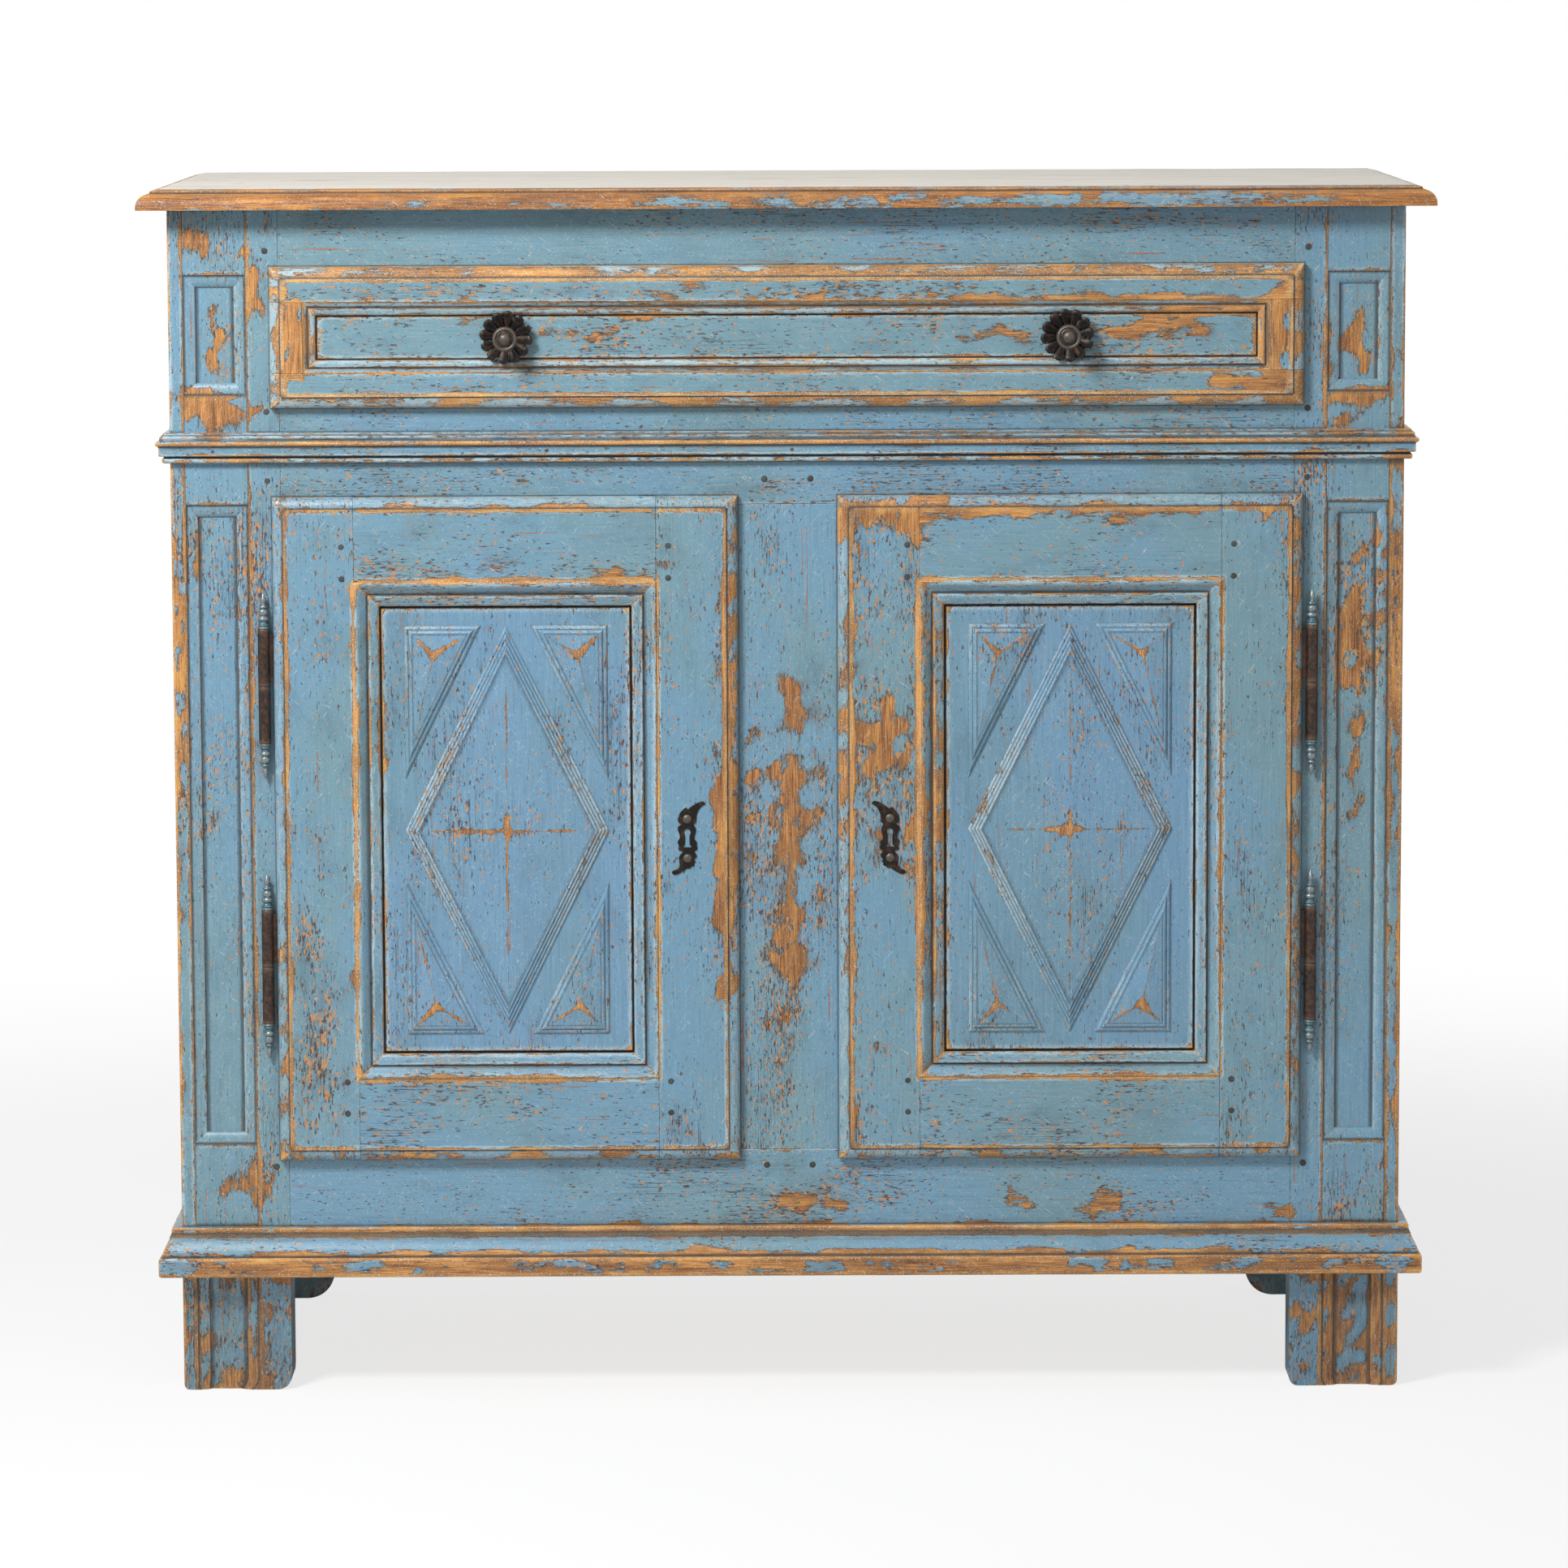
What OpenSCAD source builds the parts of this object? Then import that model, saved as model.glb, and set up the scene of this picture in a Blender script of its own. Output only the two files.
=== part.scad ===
// Diamond point cupboard: a pegged pine case on four post feet, with one long drawer over
// two doors. Each door panel carries a reeded lozenge and four corner triangles.
// Right-hand pieces are drawn at positive X and mirrored for the left.
// Drawing coordinates: X from the middle, Y back from the front face of the case, Z from the floor.

/* [Case] */
// Width of the case across the posts
case_w = 1285; // [1200:5:1340]
// Depth of the case, front face to back
case_d = 520; // [470:5:600]
// Bare foot below the base moulding
foot_h = 125; // [100:1:150]
// Height of the bottom rail
bottom_rail_h = 132; // [120:1:150]
// Height of the door openings
door_open_h = 682; // [660:1:740]
// Height of the waist rail between the doors and the drawer
waist_rail_h = 111; // [100:1:130]
// Height of the drawer opening
drawer_open_h = 128.5; // [122:0.5:150]
// Height of the top rail
top_rail_h = 68.5; // [60:0.5:90]
// Width of a front post
post_w = 114.5; // [112:0.5:120]
// Thickness of a front post, front to back
post_t = 55; // [50:1:65]
// Width of a back post
back_post_w = 127; // [110:1:140]
// Thickness of a back post, front to back
back_post_t = 40; // [38:1:50]
// Width of the post between the doors
centre_post_w = 122; // [110:1:130]
// Thickness of the front rails and of the centre post
front_rail_t = 30; // [28:1:36]
// Thickness of the side rails
side_rail_t = 22; // [20:1:26]
// Thickness of the back boards
back_board_t = 16; // [12:1:20]
// Number of back boards
back_board_count = 7; // [5:1:9]

/* [Sunk panels on the posts] */
// Flat strip outside the sunk panel
outer_strip = 15.5; // [12:0.5:18]
// Flat strip inside the sunk panel
inner_strip = 34; // [30:0.5:38]
// Width of the moulding round the sunk panel
sunk_moulding_w = 13; // [10:0.5:16]
// Depth of the sunk panel
sunk_depth = 6; // [4:0.5:8]

/* [Top] */
// Thickness of the top boards
top_t = 22; // [20:1:28]
// Overhang of the top at the front
top_front_over = 30; // [24:1:36]
// Overhang of the top at each side
top_side_over = 29.5; // [24:0.5:36]
// Depth of the front top board behind the front face
top_front_board_d = 245; // [200:5:300]
// Radius of the quarter round under the top edge
top_round = 14; // [12:0.5:16]

/* [Mouldings] */
// Height of the waist moulding's lower edge above the waist rail's lower edge
waist_moulding_up = 45; // [40:1:55]
// Height of the base moulding, which starts at the top of the bare foot
base_moulding_h = 51; // [48:1:60]

/* [Doors] */
// How far the doors and the drawer lap over the case
lip_over = 9; // [8:0.5:10]
// How far the doors and the drawer stand in front of the case
lip_proud = 16; // [15:0.5:18]
// Width of the rounded edge of the doors and the drawer
lip_round_w = 12; // [10:0.5:13]
// Thickness of a door behind the case's front face
door_body_t = 16; // [15:0.5:20]
// Width of a door stile, lip included
door_stile_w = 85; // [80:1:90]
// Width of a door rail, lip included
door_rail_w = 88; // [82:1:94]
// Width of the moulding round a door panel
door_moulding_w = 26; // [24:0.5:28]
// Width of the frame's seat under the door moulding
door_seat_w = 18; // [16:0.5:20]
// Depth of the panel face behind the face of the door frame
door_panel_sink = 9; // [8:0.5:10]

/* [Carving] */
// Gap between the moulding and the lozenge's side points
lozenge_side_gap = 24.5; // [20:0.5:34]
// Gap between the moulding and the lozenge's upper and lower points
lozenge_end_gap = 20.5; // [16:0.5:34]
// Rise of the lozenge's middle above the panel
lozenge_rise = 11; // [9:0.5:12]
// Width of the lozenge's reeded band
lozenge_band = 11.5; // [9:0.5:14]
// Distance of a corner triangle from the upright middle line of the panel
triangle_in = 26; // [24:1:32]
// Rise of a triangle's middle above the panel
triangle_rise = 8; // [7:0.5:9]
// Width of a triangle's beaded band
triangle_band = 8.5; // [7:0.5:10]

/* [Drawer] */
// Width of the drawer front's rails, lip included
drawer_rail_w = 36.5; // [35:0.5:38]
// Width of the drawer front's end pieces, lip included
drawer_stile_w = 35; // [33:0.5:40]
// Thickness of the drawer front behind the case's front face
drawer_body_t = 12; // [11:0.5:16]
// Width of the moulding on the drawer front
drawer_moulding_w = 13.5; // [12:0.5:14]
// Depth of the drawer's field behind the face of its frame
drawer_panel_sink = 6; // [5:0.5:7]
// Length of the drawer sides
drawer_side_l = 440; // [380:5:445]
// Thickness of the drawer sides
drawer_side_t = 14; // [12:0.5:16]
// Thickness of the drawer bottom
drawer_bottom_t = 9; // [7:0.5:10]

/* [Pegs and nails] */
// Diameter of the pegs
peg_d = 7.5; // [6:0.5:9]
// Distance of a case peg from its joint
peg_inset = 13.5; // [12:0.5:15]
// Distance of a door peg from its joint
door_peg_inset = 12.5; // [11:0.5:14]
// Diameter of a nail's shank
nail_d = 2.5; // [2:0.1:3]

/* [Hinges] */
// Diameter of a hinge barrel
barrel_d = 12.7; // [11:0.1:13]
// Length of one half of a hinge barrel
barrel_half = 60.5; // [50:0.5:64]
// Length of a turned tip
tip_l = 38; // [30:1:42]
// Diameter of the hinge pin
hinge_pin_d = 7; // [6:0.1:8]
// Distance of the hinge axis from the edge of the door
hinge_out = 10; // [9.5:0.1:11]
// Height of the upper hinge's middle above the door opening's lower edge
upper_hinge_up = 493.5; // [470:1:520]
// Height of the lower hinge's middle above the door opening's lower edge
lower_hinge_up = 197.5; // [180:1:230]
// Thickness of a hinge leaf
leaf_t = 2.4; // [2:0.1:3]

/* [Key plates and lock] */
// Height of the keyhole's middle above the door opening's lower edge
key_up = 333; // [320:1:350]
// Distance of the keyhole from the edge of the door
key_in = 54; // [50:1:58]
// Thickness of a key plate
plate_t = 1.2; // [0.8:0.1:2]
// Diameter of the round end of the keyhole
keyhole_d = 7; // [6.5:0.5:8]
// Height of the keyhole
keyhole_h = 19; // [17:0.5:21]
// Thickness of the lock bolt, front to back
bolt_t = 6; // [5:0.5:7]
// Height of the lock bolt
bolt_h = 10; // [8:0.5:11]
// Length of the lock bolt
bolt_l = 62; // [54:1:64]
// Travel of the lock bolt
bolt_travel = 12; // [8:1:12]

/* [Knobs] */
// Distance of a knob from the middle
knob_x = 291; // [250:1:330]
// Radius of the rosette behind a knob
rosette_r = 27.5; // [26:0.5:28]
// Number of petals on a rosette
petal_count = 12; // [10:1:16]
// Radius of a knob's cap
knob_cap_r = 13; // [11:0.5:15]
// How far a knob stands in front of the drawer's field
knob_l = 46; // [40:1:50]

/* [Inside] */
// Thickness of the shelf and of the floor boards
shelf_t = 20; // [16:1:22]
// Height of the shelf's upper face above the door opening's lower edge
shelf_up = 383; // [300:5:450]
// How far the floor boards lie below the bottom rail's upper edge
floor_drop = 4; // [2:1:10]
// Distance of the shelf's front edge behind the front face
shelf_back = 70; // [60:5:120]
// Height of a bearer or of a drawer runner
bearer_h = 22; // [20:1:28]

/* [Hidden] */
$fn = 48;

// Clearances
joint_gap = 0.2;
peg_gap = 0.05;
pin_gap = 0.05;
mitre_gap = 0.1;
seat_gap = 0.3;
board_gap = 0.5;
end_gap = 0.5;
door_gap = 2;
drawer_gap = 2;
past = 2;
reed_rise = 0.9;

// Heights of the case's members
bottom_rail_top = foot_h + bottom_rail_h;
waist_rail_z = bottom_rail_top + door_open_h;
waist_rail_top = waist_rail_z + waist_rail_h;
top_rail_z = waist_rail_top + drawer_open_h;
case_h = top_rail_z + top_rail_h;
rail_zones = [
    [foot_h, bottom_rail_top],
    [waist_rail_z, waist_rail_top],
    [top_rail_z, case_h]
];
sunk_past = [[7, 1], [4, 0.5]];
sunk_zones = [
    [bottom_rail_top + sunk_past[0][0], waist_rail_z + sunk_past[0][1]],
    [waist_rail_top + sunk_past[1][0], top_rail_z + sunk_past[1][1]]
];

// Places across and through the case
half_w = case_w / 2;
post_in = half_w - post_w;
back_post_in = half_w - back_post_w;
back_post_y = case_d - back_post_t;
back_board_y = case_d - back_board_t;
board_lap = 12;
centre_half = centre_post_w / 2;
side_in = half_w - side_rail_t;

// Tenons of the case: thickness, length, and the shoulder above and below
tenon_t = 10;
tenon_y = 10;
tenon_l = 44;
tenon_shoulder = 9;
back_tenon_in = 6;
back_tenon_y = back_board_y - back_tenon_in - tenon_t;
side_tenon_t = 8;
side_tenon_l = 30;
side_tenon_in = 15;
side_tenon_x = half_w - side_tenon_in;
stub_l = 8;

// Rounding of the feet: inside corner in front and at the back, and outside corner
foot_round = 10;
back_foot_round = 30;
foot_edge = 6;

// The front face of the case in the part's frame: the origin lies under the middle of the
// whole part, from the knobs' tips to the back
knob_reach = lip_proud + seat_gap - drawer_panel_sink + knob_l;
front_y = (knob_reach - case_d) / 2;

// Pegs: heights of the case's pegs, and how deep they go
bottom_peg_down = 17.2;
waist_peg_up = 26;
waist_peg_down = 13;
top_peg_up = 25.5;
case_peg_z = [
    bottom_rail_top - bottom_peg_down,
    waist_rail_z + waist_peg_up,
    waist_rail_top - waist_peg_down,
    top_rail_z + top_peg_up
];
peg_l = 34;
peg_proud = 0.4;

// Doors, on the right-hand side: outline of the lip and of the body inside the opening
door_x0 = centre_half - lip_over;
door_x1 = post_in + lip_over;
door_z0 = bottom_rail_top - lip_over;
door_z1 = waist_rail_z + lip_over;
door_mid_x = (door_x0 + door_x1) / 2;
door_mid_z = (door_z0 + door_z1) / 2;
lip_edge = 6;
lip_step = 1.5;
face_y = -(lip_proud + seat_gap);
door_seat_y = face_y + door_panel_sink;
door_groove_y = 0;
door_groove_t = 8;
door_groove_d = 10;
door_tongue = 9;
door_tenon_l = 60;
door_tenon_h = 76;
door_frame_x = [door_x0 + door_stile_w, door_x1 - door_stile_w];
door_frame_z = [door_z0 + door_rail_w, door_z1 - door_rail_w];
door_seat_x = [door_frame_x[0] + door_seat_w, door_frame_x[1] - door_seat_w];
door_seat_z = [door_frame_z[0] + door_seat_w, door_frame_z[1] - door_seat_w];
door_peg_up = [3.5, 37];
door_panel_back = 12;

// Drawer front
drawer_x = post_in + lip_over;
drawer_z0 = waist_rail_top - lip_over;
drawer_z1 = top_rail_z + lip_over;
drawer_mid_z = (drawer_z0 + drawer_z1) / 2;
drawer_frame_x = drawer_x - drawer_stile_w;
drawer_frame_z = [drawer_z0 + drawer_rail_w, drawer_z1 - drawer_rail_w];
drawer_seat_w = 8;
drawer_seat_x = drawer_frame_x - drawer_seat_w;
drawer_seat_z = [drawer_frame_z[0] + drawer_seat_w, drawer_frame_z[1] - drawer_seat_w];
drawer_seat_y = face_y + drawer_panel_sink;
drawer_groove_y = -1;
drawer_groove_t = 6;
drawer_groove_d = 8;
drawer_tongue = 7;
drawer_tenon_l = 15;
drawer_panel_back = 7;
drawer_out = post_in - drawer_gap;
drawer_in = drawer_out - drawer_side_t;
drawer_side_down = 8;
drawer_bottom_up = 8;
drawer_side_z = [waist_rail_top + seat_gap, top_rail_z - drawer_side_down];
drawer_bottom_z = waist_rail_top + drawer_bottom_up;
bottom_groove_d = 6;

// Runners, guides and kickers of the drawer
runner_lap = 25;
runner_in = drawer_in - runner_lap;
guide_in = drawer_out + drawer_gap;
guide_t = 17;
guide_out = guide_in + guide_t;
guide_h = 30;

// Hinges and lock
axis_x = door_x1 + hinge_out;
axis_y = -7;
hinge_z = [bottom_rail_top + lower_hinge_up, bottom_rail_top + upper_hinge_up];
leaf_l = 50;
leaf_end = 5;
door_leaf_in = 42;
post_leaf_in = 32;
pin_up = 50;
key_x = door_x0 + key_in;
key_z = bottom_rail_top + key_up;
keyhole_top_z = key_z + keyhole_h / 2 - keyhole_d / 2;
slot_w = keyhole_d * 0.67;
slot_foot_w = keyhole_d * 1.4;
lock_wall = 2;
lock_t = 12;
lock_edge = 3;
lock_past_key = 30;
lock_down = 33;
lock_up = 32;
lock_x = [centre_half + door_gap + lock_edge, key_x + lock_past_key];
lock_z = [key_z - lock_down, key_z + lock_up];
bolt_up = 15;
bolt_x = centre_half + door_gap + board_gap;
bolt_y = door_body_t + lock_wall;
bolt_z = key_z + bolt_up;
bolt_hole_gap = 0.7;
bolt_hole_more = 3;

// Knob places and the field of the drawer front
knob_z = drawer_mid_z;
spindle_d = 8;
nut_w = 14;
nut_t = 5;

// Nails: places across the case as shares of its half width, and the heads' sizes
waist_nail_at = [-0.929, -0.389, 0.008, 0.434, 0.925];
base_nail_at = [-0.929, -0.316, 0.232, 0.912];
nail_head_d = nail_d * 2;
nail_head_t = 0.8;
waist_nail_up = 12.5;
waist_nail_z = waist_rail_z + waist_moulding_up + waist_nail_up;
waist_band_out = 11;
base_nail_up = 12;
base_nail_z = foot_h + base_nail_up;
nail_in = 14;
top_nail_in = 17.5;
top_nail_side_in = 35;
top_nail_front_in = 15;
top_nail_back_in = 28;
top_nail_x = half_w - top_nail_side_in;
top_nail_y = [top_nail_front_in, case_d - top_nail_back_in];

// Profiles run from the surface that carries them: first number along it, second number out
waist_profile = [
    [0, 0], [0, 6], [1, 7.5], [3, 8], [5, 7.5], [6, 6], [7.5, 6], [7.5, waist_band_out],
    [17.5, waist_band_out],
    [18.3, 13.5], [20.5, 14.5], [22.7, 13.5], [23.5, 10], [28, 10], [28.6, 8], [30, 6.8],
    [31.5, 6.5], [31.5, 0]
];
waist_moulding_out = 14.5;
base_out = 23;
base_profile = [
    [0, 0], [0, 21.5], [2, base_out], [19, base_out], [21, 21.5], [21, 19.5], [22.5, 19.5],
    [25, 19], [29, 17.5], [33, 15], [37, 13], [41, 12], [42.5, 12], [42.5, 10.5], [44, 10.5],
    [44, 10], [base_moulding_h, 10], [base_moulding_h, 0]
];
door_moulding_profile = [
    for (p = [
        [0, 0], [0, 10], [1, 11], [3, 11], [5, 10.3], [8, 8], [10.5, 6], [13, 5], [13.6, 4.6],
        [14, 6.6], [15.5, 7.4], [18, 7], [22, 6], [24.5, 4.6], [26, 3], [26, 0]
    ]) [p.x * door_moulding_w / 26, p.y]
];
drawer_moulding_profile = [
    for (p = [
        [0, 0], [0, 6], [1, 5], [3, 4.6], [5, 4], [5.5, 3.4], [6, 5], [8, 5.2], [10.5, 4.8],
        [12.5, 3.6], [13.5, 2], [13.5, 0]
    ]) [p.x * drawer_moulding_w / 13.5, p.y * drawer_panel_sink / 6]
];

// The inward side of a sunk panel's moulding: distance in, depth
sunk_profile = concat(
    [[0, 0]],
    [for (i = [0 : 4]) [
        sunk_moulding_w * sin(22.5 * i),
        1.2 + (sunk_depth - 1.2) * (1 - cos(22.5 * i))
    ]]
);

// The rounded edge of a door or drawer: distance in from the edge, height above the case
lip_profile = concat(
    [[0, seat_gap]],
    [for (i = [0 : 4]) [
        lip_round_w * (1 - cos(22.5 * i)),
        lip_edge + (lip_proud + seat_gap - lip_step - lip_edge) * sin(22.5 * i)
    ]],
    [[lip_round_w, lip_proud + seat_gap]]
);

// The edge of the top, from its nose inwards: distance in, height above the underside
top_profile = concat(
    [[0, 0], [0, top_t - 5 - top_round]],
    [for (i = [1 : 5]) [
        top_round * (1 - cos(18 * i)),
        top_t - 5 - top_round + top_round * sin(18 * i)
    ]],
    [[top_round, top_t - 2.5], [top_round + 11, top_t]]
);

function backwards(points) = [for (i = [len(points) - 1 : -1 : 0]) points[i]];

// A carving's section from its outer edge inwards: a row of reeds that climbs to the facets
function reed_profile(width, count, low, high) = concat(
    [[0, -1]],
    [for (k = [0 : count - 1], i = [0 : 3]) [
        width * (k + i / 4) / count,
        low + (high - low) * (k + i / 4) / count + reed_rise * sin(45 * i)
    ]],
    [[width, high]]
);

// Blocks, and profiles pushed along each direction
module block(x, y, z) {
    translate([x[0], y[0], z[0]]) cube([x[1] - x[0], y[1] - y[0], z[1] - z[0]]);
}
module upwards(z) {
    translate([0, 0, z[0]]) linear_extrude(z[1] - z[0]) children();
}
module across(x) {
    translate([x[0], 0, 0]) rotate([90, 0, 90]) linear_extrude(x[1] - x[0]) children();
}
module backward(y) {
    translate([0, y[1], 0]) rotate([90, 0, 0]) linear_extrude(y[1] - y[0]) children();
}
module on_side(side) {
    mirror([side < 0 ? 1 : 0, 0, 0]) children();
}
// Puts a drawing that lies flat on the table onto an upright face, its height towards the front
module on_face(y) {
    translate([0, y, 0]) rotate([90, 0, 0]) children();
}
module at_front() {
    translate([0, front_y, 0]) children();
}
module round_y(d, y) {
    translate([0, y[1], 0]) rotate([90, 0, 0]) cylinder(d = d, h = y[1] - y[0]);
}

// One edge of a raised outline: the profile runs from a to b and its first number points left
module edge_run(a, b, profile) {
    turn = atan2(b.y - a.y, b.x - a.x) + 90;
    translate([a.x, a.y, 0])
        rotate([0, 0, turn]) rotate([90, 0, 0]) linear_extrude(norm(b - a)) polygon(profile);
}
// A low pyramid with a banded edge, over a polygon whose sides all lie at one distance, reach, from
// its centre. Each point of the profile is a ring: the outline drawn in and lifted
module pyramid(outline, centre, reach, profile, rise) {
    count = len(outline);
    last = (len(profile) - 1) * count;
    polyhedron(
        points = concat(
            [for (p = profile, corner = outline)
                let (at = centre + (corner - centre) * (1 - p.x / reach)) [at.x, at.y, p.y]],
            [[centre.x, centre.y, rise]]
        ),
        faces = concat(
            [[for (i = [0 : count - 1]) i]],
            [for (ring = [0 : count : last - count], i = [0 : count - 1]) [
                ring + i, ring + count + i, ring + count + (i + 1) % count, ring + (i + 1) % count
            ]],
            [for (i = [0 : count - 1]) [last + i, last + count, last + (i + 1) % count]]
        )
    );
}
// Four mitred strips inside a rectangle
module mitred_frame(x, z, width, profile, tall) {
    outer = [[x[0], z[0]], [x[1], z[0]], [x[1], z[1]], [x[0], z[1]]];
    inner = [
        [x[0] + width, z[0] + width], [x[1] - width, z[0] + width],
        [x[1] - width, z[1] - width], [x[0] + width, z[1] - width]
    ];
    for (i = [0 : 3]) {
        j = (i + 1) % 4;
        back_off = mitre_gap * (outer[j] - outer[i]) / norm(outer[j] - outer[i]);
        intersection() {
            edge_run(outer[i], outer[j], profile);
            linear_extrude(tall) polygon([
                outer[i] + back_off, outer[j] - back_off, inner[j] - back_off, inner[i] + back_off
            ]);
        }
    }
}

// Front posts: the sunk channel runs the whole height, and fillers close it beside the rails
channel_x = [post_in + inner_strip, half_w - outer_strip];
module channel_outline(top) {
    polygon(concat(
        [[channel_x[0], top]],
        [for (p = sunk_profile) [channel_x[0] + p.x, p.y]],
        backwards([for (p = sunk_profile) [channel_x[1] - p.x, p.y]]),
        [[channel_x[1], top]]
    ));
}
module case_peg_bores_front() {
    for (z = case_peg_z)
        translate([post_in + peg_inset, 0, z]) round_y(peg_d + 2 * peg_gap, [-past, peg_l]);
}
module case_peg_bores_side(y) {
    for (z = case_peg_z)
        translate([half_w + past, y, z]) rotate([0, -90, 0])
            cylinder(d = peg_d + 2 * peg_gap, h = peg_l + past);
}
module case_peg_bores_back() {
    for (z = case_peg_z)
        translate([back_post_in + board_lap + peg_inset, 0, z])
            round_y(peg_d + 2 * peg_gap, [case_d - peg_l, case_d + past]);
}
module foot_outline(x0, x1, round_in, round_out) {
    polygon(concat(
        [for (i = [0 : 4]) [x1 - round_out + round_out * sin(22.5 * i),
            round_out - round_out * cos(22.5 * i)]],
        [[x1, case_h], [x0, case_h]],
        [for (i = [4 : -1 : 0]) [x0 + round_in - round_in * sin(22.5 * i),
            round_in - round_in * cos(22.5 * i)]]
    ));
}
// Mortises in the back face of a front post, or the front face of a back post
module side_mortises(y) {
    for (zone = rail_zones)
        block(
            [side_tenon_x - joint_gap, side_tenon_x + side_tenon_t + joint_gap], y,
            [zone[0] + tenon_shoulder - joint_gap, zone[1] - tenon_shoulder + joint_gap]
        );
}
module panel_grooves(y) {
    for (i = [0, 1])
        block([side_tenon_x, side_tenon_x + side_tenon_t], y,
            [rail_zones[i][1] - tenon_shoulder, rail_zones[i + 1][0] + tenon_shoulder]);
}
bearer_t = 24;
bearer_side_in = 38;
bearer_x = [half_w - bearer_side_in - bearer_t, half_w - bearer_side_in];
floor_z = [bottom_rail_top - floor_drop - shelf_t, bottom_rail_top - floor_drop];
shelf_z = [bottom_rail_top + shelf_up - shelf_t, bottom_rail_top + shelf_up];
module bearer_mortises(y) {
    for (z = [floor_z[0], shelf_z[0]])
        block([bearer_x[0] - joint_gap, bearer_x[1] + joint_gap], y,
            [z - bearer_h - joint_gap, z + joint_gap]);
}
module front_post(side) {
    color("steelblue") difference() {
        intersection() {
            upwards([0, case_h]) difference() {
                translate([post_in, 0]) square([post_w, post_t]);
                channel_outline(-past);
            }
            backward([-past, post_t + past]) foot_outline(post_in, half_w, foot_round, foot_edge);
        }
        for (zone = rail_zones)
            block([post_in - past, post_in + tenon_l + joint_gap],
                [tenon_y - joint_gap, tenon_y + tenon_t + joint_gap],
                [zone[0] + tenon_shoulder - joint_gap, zone[1] - tenon_shoulder + joint_gap]);
        side_mortises([post_t - side_tenon_l - joint_gap, post_t + past]);
        panel_grooves([post_t - stub_l, post_t + past]);
        bearer_mortises([post_t - stub_l - joint_gap, post_t + past]);
        case_peg_bores_front();
        case_peg_bores_side(post_t - peg_inset);
        for (z = hinge_z)
            block([axis_x - leaf_t / 2 - joint_gap, axis_x + leaf_t / 2 + joint_gap],
                [-past, post_leaf_in + joint_gap],
                [z - barrel_half + leaf_end - joint_gap,
                    z - barrel_half + leaf_end + leaf_l + joint_gap]);
        waist_nail_bores(side);
        base_nail_bores(side);
        top_nail_bores();
    }
}
module front_post_left() {
    on_side(-1) front_post(-1);
}
module front_post_right() {
    front_post(1);
}
module back_post() {
    color("steelblue") difference() {
        intersection() {
            block([back_post_in, half_w], [back_post_y, case_d], [0, case_h]);
            backward([back_post_y - past, case_d + past])
                foot_outline(back_post_in, half_w, back_foot_round, foot_edge);
        }
        block([back_post_in - past, back_post_in + board_lap],
            [back_board_y, case_d + past], [foot_h, case_h + past]);
        for (zone = rail_zones)
            block([back_post_in - past, back_post_in + tenon_l + joint_gap],
                [back_tenon_y - joint_gap, back_tenon_y + tenon_t + joint_gap],
                [zone[0] + tenon_shoulder - joint_gap, zone[1] - tenon_shoulder + joint_gap]);
        side_mortises([back_post_y - past, back_post_y + side_tenon_l + joint_gap]);
        panel_grooves([back_post_y - past, back_post_y + stub_l]);
        bearer_mortises([back_post_y - past, back_post_y + stub_l + joint_gap]);
        case_peg_bores_back();
        case_peg_bores_side(back_post_y + peg_inset);
        top_nail_bores();
    }
}
module back_post_left() {
    on_side(-1) back_post();
}
module back_post_right() {
    back_post();
}

// Fillers: flush pieces in the channel, with the sunk panel's moulding across their ends
module filler(z0, z1, low_end, high_end) {
    low = low_end ? [for (p = backwards(sunk_profile)) [p.y, z0 - p.x]]
        : [[sunk_depth, z0], [0, z0]];
    high = high_end ? [for (p = sunk_profile) [p.y, z1 + p.x]] : [[0, z1], [sunk_depth, z1]];
    intersection() {
        upwards([z0 - sunk_moulding_w, z1 + sunk_moulding_w]) channel_outline(0);
        across(channel_x) polygon(concat(low, high));
    }
}
module post_fillers() {
    color("steelblue") for (side = [-1, 1]) on_side(side) difference() {
        union() {
            filler(foot_h, sunk_zones[0][0], false, true);
            filler(sunk_zones[0][1], sunk_zones[1][0], true, true);
            filler(sunk_zones[1][1], case_h, true, false);
        }
        waist_nail_bores(side);
        base_nail_bores(side);
    }
}

// Rails and the centre post
module front_rail(zone) {
    block([-post_in, post_in], [0, front_rail_t], zone);
    block([-post_in - tenon_l, post_in + tenon_l], [tenon_y, tenon_y + tenon_t],
        [zone[0] + tenon_shoulder, zone[1] - tenon_shoulder]);
}
centre_tenon_l = 30;
centre_tenon_in = 16;
module centre_mortise(z) {
    block([-centre_half + centre_tenon_in - joint_gap, centre_half - centre_tenon_in + joint_gap],
        [tenon_y - joint_gap, tenon_y + tenon_t + joint_gap], z);
}
stub_in = 5;
stub_down = 4;
runner_stub_x = [runner_in + stub_in, min(post_in, back_post_in) - stub_in];
module runner_stubs(y, z, gap) {
    block([runner_stub_x[0] - gap, runner_stub_x[1] + gap], y,
        [z + stub_down - gap, z + bearer_h - stub_down + gap]);
}
runner_z = waist_rail_top - bearer_h;
kicker_z = top_rail_z;
module front_top_rail() {
    color("steelblue") difference() {
        front_rail(rail_zones[2]);
        for (side = [-1, 1]) on_side(side) {
            case_peg_bores_front();
            runner_stubs([front_rail_t - stub_l - joint_gap, front_rail_t + past], kicker_z,
                joint_gap);
        }
        top_nail_bores();
    }
}
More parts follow.
